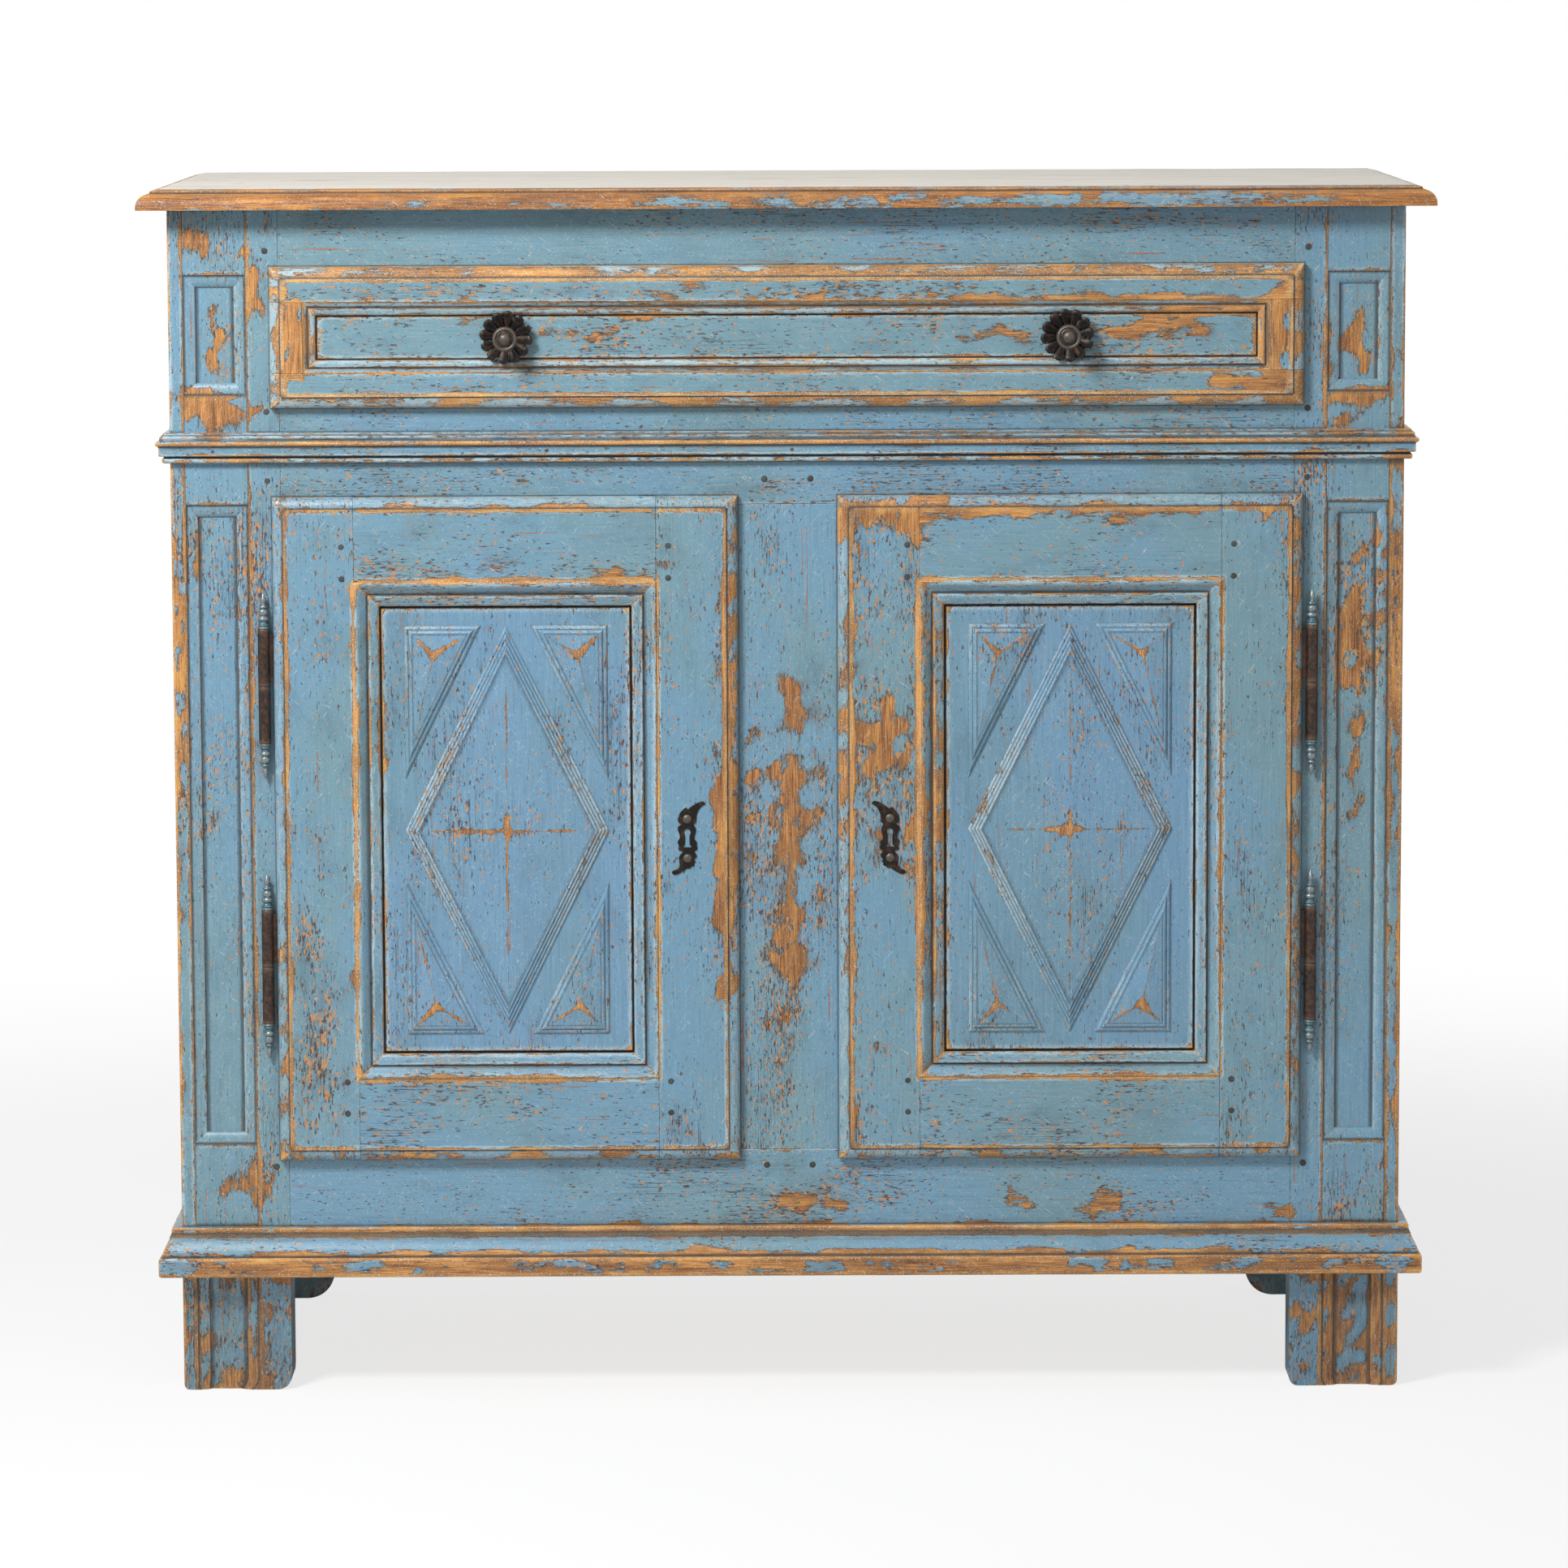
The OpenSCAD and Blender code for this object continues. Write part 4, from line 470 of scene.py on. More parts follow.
def add(tree, kind, settings=None, inputs=None, out=0):
    """Adds a node, sets it, links or fills its inputs, and returns one of its outputs."""
    node = tree.nodes.new(kind)
    for name, value in (settings or {}).items():
        if name == "stops":
            ramp = node.color_ramp.elements
            while len(ramp) < len(value):
                ramp.new(0.5)
            for stop, (place, code) in zip(ramp, value):
                stop.position, stop.color = place, colour(code)
        else:
            setattr(node, name, value)
    for name, value in (inputs or {}).items():
        if isinstance(value, bpy.types.NodeSocket):
            tree.links.new(value, node.inputs[name])
        else:
            node.inputs[name].default_value = value
    return node.outputs[out] if len(node.outputs) else node


# %% [markdown]
# A finish is written as a recipe: its patterns, then levels that weigh patterns and wear against
# each other, then coats of colour, each lying where a level says. That keeps the order in which the
# real coats lie: paint first, then what hands, knocks and dirt have done to it.
# %% A finish from its recipe
def finish(name, grain, patterns, levels, coats, **shader):
    """A finish from its recipe.

    patterns: name -> (times longer along the grain, size in mm, detail, roughness, turn).
    levels: name -> (start, {pattern, wear or level: weight}), and low, high and top where the
    sum is eased into a mask. The levels "rough" and "relief" (in mm) go to the shader.
    coats: (colour, mask) or (stops of a ramp, mask, level), from the bottom one up.
    """
    material = bpy.data.materials.new(name)
    material.use_nodes = True
    tree = material.node_tree
    tree.nodes.clear()
    value = {key: add(tree, "ShaderNodeAttribute", {"attribute_name": key}, out=2)
             for key in ("edge", "dirt", "bare", "tone")}
    where = add(tree, "ShaderNodeTexCoord", out=3)
    for k, (key, (longer, size, detail, coarse, *turn)) in enumerate(patterns.items()):
        lying = where
        if turn:
            lying = add(tree, "ShaderNodeVectorRotate", {"rotation_type": "Y_AXIS"}, {
                "Vector": where, "Angle": turn[0]})
        at = add(tree, "ShaderNodeVectorMath", {"operation": "MULTIPLY_ADD"}, {
            0: lying, 1: [1 / longer if axis == grain else 1.0 for axis in "xyz"],
            2: (0.37 * k, 0.11 * k, 0.23 * k)})
        value[key] = add(tree, "ShaderNodeTexNoise", {}, {
            "Vector": at, "Scale": 1 / (size * MM), "Detail": detail, "Roughness": coarse})
    for key, (total, parts, *eased) in levels.items():
        for part, weight in parts.items():
            total = add(tree, "ShaderNodeMath", {"operation": "MULTIPLY_ADD"}, {
                0: value[part], 1: weight, 2: total})
        if eased:
            low, high, top = eased
            total = add(tree, "ShaderNodeMapRange", EASED, {
                0: total, 1: low, 2: high, 3: 0.0, 4: top})
        value[key] = total
    base = None
    for tint, mask, *level in coats:
        if level:
            tint = add(tree, "ShaderNodeValToRGB", {"stops": tint}, {0: value[level[0]]})
        else:
            tint = colour(tint)
        base = tint if base is None else add(tree, "ShaderNodeMix", {"data_type": "RGBA"}, {
            0: value[mask], 6: base, 7: tint}, 2)
    bump = add(tree, "ShaderNodeBump", {}, {"Distance": MM, "Height": value["relief"]})
    skin_shader = add(tree, "ShaderNodeBsdfPrincipled", {}, {
        "Base Color": base, "Roughness": value["rough"], "Normal": bump, **shader})
    add(tree, "ShaderNodeOutputMaterial", {}, {"Surface": skin_shader})
    return material


# %% [markdown]
# ### Milk-painted pine
# Milk paint is a flat, chalky coat that hands and wax bring to a low sheen. Where it has worn away,
# the old pine shows orange with dark fibres, and grime keeps a dark rim at the paint's edge. One
# function makes the finish with its grain along x, y or z, because a board's paint cracks along
# its own fibres. Pale paint on the arrises is partly a painted highlight, and the dark lines in
# creases and seams are partly grime and partly painted shade. The top's edge has darker bare wood,
# which is painted shade.
# %% Paint over old pine
HONEY_WOOD = [(0.30, "3f2817"), (0.41, "744928"), (0.49, "a67141"), (0.56, "c98e4c"),
              (0.66, "dca452"), (0.80, "e6ba76")]
# Darker bare wood for the top's edge: painted shade.
SHADED_WOOD = [(0.30, "2f1b0d"), (0.41, "5e381b"), (0.49, "8e5829"), (0.56, "b77a36"),
              (0.66, "cd9242"), (0.80, "d9a65d")]


def painted_pine(name, grain, blue="6c94ac", green="71939d", keep=0.0, dark="486676",
                 wood=HONEY_WOOD):
    """keep is how strongly the paint holds: below 0 it bares more wood."""
    dabbed = {"dab": 1.0, "swarm": 0.28, "edge": 0.05, "bare": 0.10}
    return finish(name, grain, {
        "fibre": (26, 1.1, 4, 0.6), "ring": (14, 8, 3, 0.55), "patch": (3.2, 24, 11, 0.70),
        "flake": (6, 2.4, 6, 0.66), "chip": (3.4, 2.1, 5, 0.62), "split": (45, 2.6, 2, 0.5),
        "swarm": (2.4, 58, 3, 0.5), "speck": (1.3, 1.0, 2, 0.5), "dab": (1.9, 3.6, 5, 0.62),
        "scratch": (1 / 22, 16, 2, 0.5, 0.9), "nick": (1 / 18, 13, 2, 0.5, -0.6),
        "crack": (70, 2.6, 2, 0.5), "brush": (26, 2.0, 5, 0.66), "slow": (1.4, 190, 4, 0.6),
        "cloud": (2.2, 34, 9, 0.68),
    }, {
        "fibres": (0.0, {"fibre": 0.52, "ring": 0.34, "cloud": 0.14, "edge": 0.075}),
        "greenish": (0.0, {"slow": 1.0, "tone": 1.0}, 0.42, 0.64, 0.85),
        "stained": (0.0, {"cloud": 0.8, "slow": 0.4, "brush": 0.25}, 0.70, 0.98, 0.62),
        "handled": (0.0, {"bare": 0.5, "cloud": 0.8}, 0.60, 0.92, 0.50),
        "brushed_light": (0.0, {"brush": 1.0}, 0.50, 0.74, 0.40),
        "brushed_dark": (0.0, {"brush": 1.0}, 0.48, 0.28, 0.42),
        # Pale paint along the arrises: partly chalky worn paint, partly a painted highlight.
        "chalky": (-0.38, {"edge": 0.46, "flake": 0.6}, 0.02, 0.34, 0.60),
        "level": (-1.95 - keep, {"bare": 0.95, "edge": 0.62, "patch": 1.7, "flake": 0.95}),
        "gone": (0.0, {"level": 1.0}, -0.012, 0.012, 1.0),
        "rim": (0.0, {"level": 1.0}, -0.13, -0.008, 0.75),
        "near_rim": (0.0, {"level": 1.0}, 0.24, 0.0, 1.0),
        "residue": (-2.8, {"near_rim": 1.0, "gone": 1.0, "flake": 1.6}, -0.06, 0.08, 0.92),
        "stain": (-1.0, {"cloud": 1.0, "gone": 1.0}, 0.44, 0.60, 0.62),
        "chips": (-0.15, {"chip": 1.0, "swarm": 0.30, "edge": 0.04, "bare": 0.09}, 0.634, 0.646,
                  0.9),
        "dabs": (-0.14, dabbed, 0.645, 0.656, 0.95),
        "dab_rims": (-0.14, dabbed, 0.630, 0.644, 0.5),
        "splits": (0.0, {"split": 1.0, "flake": 0.12}, 0.770, 0.782, 0.85),
        "specks": (0.0, {"speck": 1.0, "edge": 0.08}, 0.675, 0.700, 0.75),
        "scratches": (0.0, {"scratch": 1.0, "flake": 0.22}, 0.815, 0.83, 0.62),
        "nicks": (0.0, {"nick": 1.0, "flake": 0.22}, 0.822, 0.836, 0.62),
        "crack_low": (0.0, {"crack": 1.0}, 0.478, 0.496, 1.0),
        "crack_high": (0.0, {"crack": 1.0}, 0.522, 0.504, 1.0),
        "cracked": (-2.70, {"crack_low": 1.0, "crack_high": 1.0, "swarm": 1.3}, 0.02, 0.14, 0.85),
        # Creases, seams and grooves go dark here: partly grime, partly painted shade.
        "grime": (0.0, {"dirt": 0.8, "flake": 0.5}, 0.35, 0.95, 0.78),
        "rough": (0.25, {"gone": 0.20, "cloud": 0.18, "chips": 0.1}),
        "relief": (0.0, {"gone": -0.22, "chips": -0.16, "cracked": -0.3, "fibre": 0.22,
                         "brush": 0.16, "cloud": 0.30}),
    }, [
        (blue, None), (green, "greenish"), (dark, "stained"), ("8fadbd", "brushed_light"),
        # bccfd5 on the arrises is chalky paint and a painted highlight.
        ("4b6b80", "brushed_dark"), ("bccfd5", "chalky"), ("5d5348", "handled"), ("5a4f40", "rim"),
        ("2c2119", "cracked"), ("4e3022", "chips"), ("5f4229", "dab_rims"), ("c28c58", "dabs"),
        ("995f38", "splits"),
        (wood, "gone", "fibres"),
        ("7a5230", "stain"), ("3a281a", "residue"), ("c9d0cb", "scratches"),
        # 262d31 darkens creases and seams: grime and painted shade.
        ("c9d0cb", "nicks"), ("d5d8cc", "specks"), ("262d31", "grime"),
    ], **{"Specular IOR Level": 0.5})


paint = {axis: painted_pine(f"milk_paint_on_pine_{axis}", axis) for axis in "xyz"}
panel_paint = painted_pine("milk_paint_on_panel", "z", blue="6c93b0", green="6b90a2", keep=0.02,
                           dark="4d6a7b")
# The top's edge: paint worn further back, and darker bare wood as painted shade.
edge_paint = painted_pine("milk_paint_rubbed_shaded_edge_x", "x", keep=-0.40, blue="6b8ba0",
                          wood=SHADED_WOOD)
edge_paint_y = painted_pine("milk_paint_rubbed_shaded_edge_y", "y", keep=-0.36, blue="6b8ba0",
                            wood=SHADED_WOOD)
print("paints:", sorted(material.name for material in bpy.data.materials))

# %% [markdown]
# ### Unpainted wood
# The top has lost its paint to a hundred years of scrubbing and is pale, silvery pine. The inside
# was never painted and has gone honey brown. A peg shows its end grain, darker than the paint.
# %% Bare boards, the scrubbed top and the pegs
def bare_pine(name, grain):
    """Honey-brown wood that was never painted, with a few dark knots."""
    return finish(name, grain, {
        "fibre": (30, 1.2, 4, 0.6), "ring": (16, 9, 3, 0.55), "cloud": (3, 60, 5, 0.6),
        "knot": (1.5, 120, 2, 0.5),
    }, {
        "fibres": (0.0, {"fibre": 0.4, "ring": 0.4, "cloud": 0.2}),
        "knots": (0.0, {"knot": 1.0}, 0.66, 0.74, 0.7),
        "rough": (0.50, {"cloud": 0.12}), "relief": (0.0, {"fibre": 0.18, "ring": 0.12}),
    }, [([(0.34, "7b5230"), (0.48, "b98a58"), (0.64, "d3ab78")], None, "fibres"),
        ("7b5230", "knots")])


inside = {axis: bare_pine(f"old_bare_pine_{axis}", axis) for axis in "xyz"}
top_wood = finish("scrubbed_pine_top", "x", {
    "fibre": (30, 1.3, 4, 0.6), "ring": (18, 10, 3, 0.55), "cloud": (2.5, 90, 6, 0.62),
    "fleck": (5, 6, 4, 0.6), "film": (4, 34, 8, 0.66),
}, {
    "fibres": (0.0, {"fibre": 0.4, "ring": 0.4, "cloud": 0.2}),
    "old_paint": (0.0, {"film": 1.0, "edge": 0.12}, 0.58, 0.74, 0.55),
    "flecks": (0.0, {"fleck": 1.0}, 0.64, 0.68, 0.7),
    "rough": (0.34, {"cloud": 0.2}), "relief": (0.0, {"fibre": 0.2, "fleck": -0.2}),
}, [([(0.34, "a59c8c"), (0.47, "cac3b6"), (0.62, "dcd8cf")], None, "fibres"),
    ("95a9b2", "old_paint"), ("7a6045", "flecks")])
peg_wood = finish("peg_end_grain_under_paint", None, {
    "pore": (1, 0.9, 3, 0.6), "cloud": (1, 14, 4, 0.6),
}, {
    "grain": (0.0, {"pore": 0.5, "cloud": 0.5}), "rubbed_rim": (0.0, {"edge": 0.7}, 0.2, 1.2, 0.6),
    "rough": (0.45, {"cloud": 0.15}), "relief": (0.0, {"pore": 0.3}),
}, [([(0.36, "1f1b18"), (0.5, "3d3a38"), (0.62, "55646c")], None, "grain"),
    ("221b16", "rubbed_rim")])


# %% [markdown]
# ### Iron
# The knobs, rosettes and key plates are forged iron, blackened by oil and smoke, with a soft gloss
# on the high places and brown rust in the low ones. The hinges were painted with the case, so their
# turned tips keep blue paint and their barrels are rubbed to brown metal. Old iron is less of a
# mirror than new metal, so its metallic share is about a half.
# %% Forged, painted and filed metal
def forged_iron(name, dark="15110e", rust="3f2a1d", bright="6a625a", rough=0.26, paint_on="8b9294",
                hold=0.62, **shader):
    """hold is how little old paint stays on it: 1 leaves none, 0.36 covers nearly all."""
    return finish(name, None, {
        "pit": (1, 1.4, 5, 0.6), "bloom": (1, 8, 5, 0.62), "rub": (1, 3.4, 5, 0.62),
    }, {
        "rusted": (0.0, {"bloom": 1.0}, 0.47, 0.64, 0.8),
        "filed": (0.0, {"edge": 0.5, "rub": 0.7}, 0.55, 0.95, 0.6),
        "painted": (0.0, {"rub": 1.0, "bare": -1.2, "dirt": 0.25, "edge": -0.15}, hold,
                    hold + 0.07, 0.95),
        "rough": (rough, {"bloom": 0.25, "painted": 0.1}),
        "relief": (0.0, {"pit": 0.3, "bloom": 0.4, "painted": 0.1}),
    }, [(dark, None), (rust, "rusted"), (bright, "filed"), (paint_on, "painted")], **shader)


black_iron = forged_iron("oil_blackened_iron", hold=1.5, **{"Metallic": 0.6})
petal_iron = forged_iron("rosette_iron_with_old_paint", hold=0.72, **{"Metallic": 0.5})
hinge_iron = forged_iron("rusty_hinge_iron", dark="271a14", rust="4a3022", bright="6b584a",
                         hold=1.5, **{"Metallic": 0.5})
tip_iron = forged_iron("painted_hinge_tip", dark="241f1c", rust="3b342f", bright="9aa4a6",
                       paint_on="4f6d76", hold=0.46, rough=0.12, **{"Metallic": 0.5})
lock_steel = forged_iron("filed_steel", dark="54504a", rust="6a5a48", bright="a09a90", hold=1.5,
                         **{"Metallic": 0.8})

# %% [markdown]
# ## The case
# A thin dark line runs on the case wherever something stands on it: round the doors and the drawer,
# under the top, and along the mouldings. It is painted shade, with some grime in it. It is drawn
# from the distance to those lines, and the grids of the case's front get extra places there, so
# the line stays thin.
# %% Painted shade and grime in the seams
# The seams' darkness is painted shade, with some grime.
SEAM_SHADE_AND_GRIME, SEAM_SPREAD = 1.1, 1.4    # how dark the seams are, and how far in mm
level_seams = (case_h, span("waist_moulding")[0][2], span("waist_moulding")[1][2],
               span("base_moulding")[1][2])
beside = np.array([-3, -1.5, -0.5, 0.5, 1.5, 3])
seam_us = np.ravel([way * edge + beside for edge in (door_x0, door_x1, drawer_x)
                    for way in (1, -1)])
seam_vs = np.ravel([edge + beside for edge in (door_z0, door_z1, drawer_z0, drawer_z1,
                                               *level_seams)])


def with_seam_shade(skins):
    """Darkens the case along the seams round the doors, the drawer and mouldings: painted shade, with some
    soiling.
    """
    for part in skins:
        x, z = np.abs(part["at"][:, 0]) / MM, part["at"][:, 2] / MM
        past_door = np.max([door_x0 - x, x - door_x1, door_z0 - z, z - door_z1], axis=0)
        past_drawer = np.max([x - drawer_x, drawer_z0 - z, z - drawer_z1], axis=0)
        gap = np.min([np.abs(past_door), np.abs(past_drawer),
                      *(np.abs(z - level) for level in level_seams)], axis=0)
        part["dirt"] = np.maximum(part["dirt"], SEAM_SHADE_AND_GRIME * np.exp(-gap / SEAM_SPREAD))
    return skins


print("seams across:", len(seam_us), "places, up:", len(seam_vs), "places")

# %% [markdown]
# Each front post is one stick from the floor to the top, with a channel sunk down its whole length.
# The channel's edge is a hollow: a small step and then a quarter of an ellipse. The post's lower
# end is the foot, with its bottom corners rounded and its paint darker towards the floor.
# %% Front posts
SUNK_W, SUNK_STEP, SUNK_DEEP = 13, 1.2, 6
FOOT_DARKENING = 0.42    # how much darker the paint gets towards the floor
POST_TONE = 0.06     # how much greener than the plain paint
quarter = np.radians(np.linspace(0, 90, 8))
sunk_run = SUNK_W * np.sin(quarter)
channel = (post_in + 34, half_w - 15.5)


def sunk(gap):
    """Height of a sunk panel's edge at a distance inside it."""
    return -np.interp(gap, np.r_[-0.02, 0, sunk_run[1:]],
                      np.r_[0, SUNK_STEP + (SUNK_DEEP - SUNK_STEP) * (1 - np.cos(quarter))])


def foot(*radii):
    """Draws the two bottom corners of a foot in along quarter circles."""
    def outline(v):
        return [radius - np.sqrt(np.maximum(radius ** 2 - (radius - np.clip(v, 0, radius)) ** 2, 0))
                for radius in radii]
    return outline


steps = np.r_[-0.04, 0.04, sunk_run[1:]]
post_us = stations(post_in, half_w, 6, np.r_[channel[0] + steps, channel[1] - steps, seam_us])
for side, word in SIDES:
    skins = [board(spot("front", side), post_us,
                   stations(0, case_h, 8, np.r_[np.linspace(0, 12, 8), seam_vs]),
                   lambda u, v: sunk(np.minimum(u - channel[0], channel[1] - u)),
                   -post_t, 11 + side, (0.5, 2.0, 1.2, 0.3), marks=rubbed("case"),
                   outline=foot(10 if side > 0 else 16, 6), wear=1.1)]
    foot_darkening = FOOT_DARKENING * np.clip((foot_h - skins[0]["at"][:, 2] / MM) / 30, 0, 1)
    skins[0]["dirt"] = np.maximum(skins[0]["dirt"], foot_darkening)
    make(f"{word}_front_post", with_seam_shade(skins), paint["z"], [f"front_post_{word}"],
         tone=POST_TONE)
print("post grid:", len(post_us), "places across")

# %% [markdown]
# Short fillers close the channel beside the rails, so two sunk panels are left in each post. The
# hollow runs up onto each filler's end, which closes the panel's top and bottom.
# %% Fillers in the channels
fillers = []
for side in (1, -1):
    for k, (low, high, ends) in enumerate((
            (foot_h, bottom_rail_top + 7, (0, 1)), (waist_z + 1, waist_top + 4, (1, 1)),
            (top_rail_z + 0.5, case_h, (1, 0)))):
        run = [low - SUNK_W * ends[0], high + SUNK_W * ends[1]]
        fillers.append(board(
            spot("front", side), stations(channel[0] + 0.12, channel[1] - 0.12, 6),
            stations(*run, 6, np.r_[low - steps, high + steps]),
            lambda u, v, a=low, b=high: sunk(np.maximum(a - v, v - b)), -SUNK_DEEP - 1,
            31 + k + 5 * side, (0.35, 0.35, 0.3, 0.3), waves=0.15, marks=rubbed("case")))
make("channel_fillers", with_seam_shade(fillers), paint["z"], ["post_fillers"], tone=POST_TONE)
print("fillers:", len(fillers))

# %% [markdown]
# The rails and the middle post are flat boards that meet the posts at tight joints. A soft arris
# of half a millimetre on each side of a joint leaves the hairline that shows through old paint.
# %% Rails and the post between the doors
RAIL_T = 30
rail_zones = [(foot_h, bottom_rail_top), (waist_z, waist_top), (top_rail_z, case_h)]
for k, (name, (low, high), tone) in enumerate(zip(("bottom_rail", "waist_rail", "top_rail"),
                                                  rail_zones, (0.0, 0.0, 0.07))):
    skins = [board(spot("front"), stations(-post_in + 0.1, post_in - 0.1, 9, seam_us),
                   stations(low, high, 6, seam_vs), flat(0), -RAIL_T, 41 + k,
                   (0.45, 0.45, 0.8, 0.8), marks=rubbed("case"))]
    rail = make(name, with_seam_shade(skins), paint["x"], [f"front_{name}"], tone=tone)
    bare_behind(rail, inside["x"], BACKWARDS)
uncut_post = joined("uncut_post", with_seam_shade([
    board(spot("front"), stations(-centre_half, centre_half, 6, seam_us),
          stations(bottom_rail_top + 0.1, waist_z - 0.1, 8, seam_vs), flat(0), -RAIL_T, 47,
          (0.8, 0.8, 0.5, 0.5), marks=rubbed("case"))]), tone=0.03)

# %% [markdown]
# The right door's bolt shoots into the middle post. A Boolean modifier takes a block a little
# larger than the bolt away from the post, and only its result becomes a piece, with bare wood in
# the pocket.
# %% Cut the bolt's pocket
BOLT_TRAVEL, POCKET_DEEPER, POCKET_GAP, PAST_POST = 12, 3, 0.7, 5
bolt_lo, bolt_hi = span("lock_bolt")
pocket_lo, pocket_hi = bolt_lo - POCKET_GAP, bolt_hi + POCKET_GAP
pocket_lo[0], pocket_hi[0] = centre_half - BOLT_TRAVEL - POCKET_DEEPER, centre_half + PAST_POST
cube = bmesh.new()
bmesh.ops.create_cube(cube, size=1)
for corner in cube.verts:
    corner.co = (pocket_lo + (pocket_hi - pocket_lo) * (np.array(corner.co) + 0.5)) * MM
block_mesh = bpy.data.meshes.new("pocket")
cube.to_mesh(block_mesh)
cube.free()
block, stick = placed("pocket", block_mesh), placed("uncut_post", uncut_post)
cut = stick.modifiers.new("pocket", "BOOLEAN")
cut.object, cut.operation, cut.solver = block, "DIFFERENCE", "EXACT"
with_pocket = plain_mesh(stick)
for part in (block, stick):
    bpy.data.objects.remove(part)
middle_post = finish_piece("middle_post", with_pocket, paint["z"], ["centre_post"])
bare_behind(middle_post, inside["z"], BACKWARDS)
in_pocket = 0
for face in middle_post.data.polygons:
    place = np.array(face.center) / MM
    if place[0] < centre_half - 0.1 and np.all(abs(2 * place - pocket_lo - pocket_hi)
                                               < pocket_hi - pocket_lo + 0.01):
        face.material_index = 1
        in_pocket += 1
print("bolt pocket", np.round(pocket_hi - pocket_lo, 1), "mm,", in_pocket, "faces of bare wood")

# %% [markdown]
# The sides and the back don't show in the photograph. They are made as such a case usually is:
# three rails and two raised panels on each side, and back posts with a rebate for the back boards.
# Only the quarter circle cut from a back foot's inner corner shows under the case.
# %% Side rails, raised panels and back posts
SIDE_RAIL_T, PANEL_BACK, IN_GROOVE, LAP, REBATE = 22, 14.8, 2, 12, 16.2
lap = back_post_in + LAP
BEVEL_RUN, BEVEL_DEEP = np.array([0, 3, 31, 31.8, 32.4]), [-7.2, -7.2, -4.4, -2.6, -2.25]
side_y0, side_y1 = post_t, back_post_y - front


def raised(z0, z1):
    """Height of a raised panel between two rails."""
    def face(u, v):
        gap = np.minimum(np.minimum(u - side_y0, side_y1 - u), np.minimum(v - z0, z1 - v))
        return np.interp(gap, BEVEL_RUN, BEVEL_DEEP)
    return face


def grooved(low, high):
    """The places of a panel that stands in a groove at both ends."""
    return stations(low - IN_GROOVE, high + IN_GROOVE, 9,
                    np.r_[low + BEVEL_RUN[1:], high - BEVEL_RUN[1:]])


for side, word in SIDES:
    put, inwards = spot("flank", side), (-side, 0, 0)
    rails = [board(put, stations(side_y0 + 0.1, side_y1 - 0.1, 9), stations(low, high, 7),
                   flat(0), -SIDE_RAIL_T, 51 + k + 5 * side, (0.45, 0.45, 0.9, 0.9))
             for k, (low, high) in enumerate(rail_zones)]
    bare_behind(make(f"{word}_side_rails", rails, paint["y"],
                     [f"side_rails_{word}"]), inside["y"], inwards)
    panels = [board(put, grooved(side_y0, side_y1), grooved(z0, z1), raised(z0, z1), -PANEL_BACK,
                    61 + k + 5 * side, (0.2,) * 4)
              for k, ((_, z0), (z1, _)) in enumerate(zip(rail_zones, rail_zones[1:]))]
    bare_behind(make(f"{word}_side_panels", panels, panel_paint, [f"side_panels_{word}"]), inside["z"], inwards)
    make(f"{word}_back_post", [board(
        spot("back", -side), stations(back_post_in, half_w, 8, [lap - 0.1, lap + 0.1]),
        stations(0, case_h, 9, np.linspace(0, 32, 12)),
        lambda u, v: np.where((u < lap) & (v > foot_h), -REBATE, 0), back_post_y - back,
        71 + side, (0.6, 1.8, 1.2, 0.3), outline=foot(30, 6))],
         paint["z"], [f"back_post_{word}"], tone=0.1)
print("side panels:", round(side_y1 - side_y0), "mm wide")

# %% [markdown]
# ### Boards in a row
# The back is one board repeated side by side, which is work for Geometry Nodes. Every tree here is
# started, ended and run in the same way, with its inputs set by name before it runs.
# %% Begin a tree, end it, and run it
def new_tree(name, **inputs):
    """An empty Geometry Nodes tree with named inputs, and the sockets that give them."""
    tree = bpy.data.node_groups.new(name, "GeometryNodeTree")
    tree.interface.new_socket("Geometry", in_out="OUTPUT", socket_type="NodeSocketGeometry")
    for label, kind in {"Geometry": "Geometry", **inputs, "Material": "Material"}.items():
        tree.interface.new_socket(label, in_out="INPUT", socket_type=f"NodeSocket{kind}")
    return tree, tree.nodes.new("NodeGroupInput").outputs


def close_tree(tree, geometry, given):
    """Ends a tree: instances become real faces and take the material."""
    real = add(tree, "GeometryNodeRealizeInstances", {}, {0: geometry})
    done = add(tree, "GeometryNodeSetMaterial", {}, {0: real, "Material": given["Material"]})
    tree.links.new(done, tree.nodes.new("NodeGroupOutput").inputs[0])


def close_on_points(tree, points, given, **more):
    """Ends a tree with a copy of its piece on each point."""
    shape = add(tree, "GeometryNodeObjectInfo", {}, {"Object": given["Piece"]}, 4)
    close_tree(tree, add(tree, "GeometryNodeInstanceOnPoints", {}, {
        "Points": points, "Instance": shape, **more}), given)


def grow(tree, values, points=((0, 0, 0),), facing=None):
    """Runs a tree over some points with its inputs set, and gives back a plain mesh."""
    base = bpy.data.meshes.new("start")
    base.from_pydata([tuple(p) for p in points], [], [])
    if facing is not None:
        way = base.attributes.new("facing", "FLOAT_VECTOR", "POINT")
        way.data.foreach_set("vector", np.asarray(facing, np.float32).ravel())
    holder = placed("start", base)
    grower = holder.modifiers.new("grow", "NODES")
    grower.node_group = tree
    for socket in tree.interface.items_tree:
        if socket.name in values:
            grower[socket.identifier] = values[socket.name]
    mesh = plain_mesh(holder)
    bpy.data.objects.remove(holder)
    bpy.data.meshes.remove(base)
    return mesh


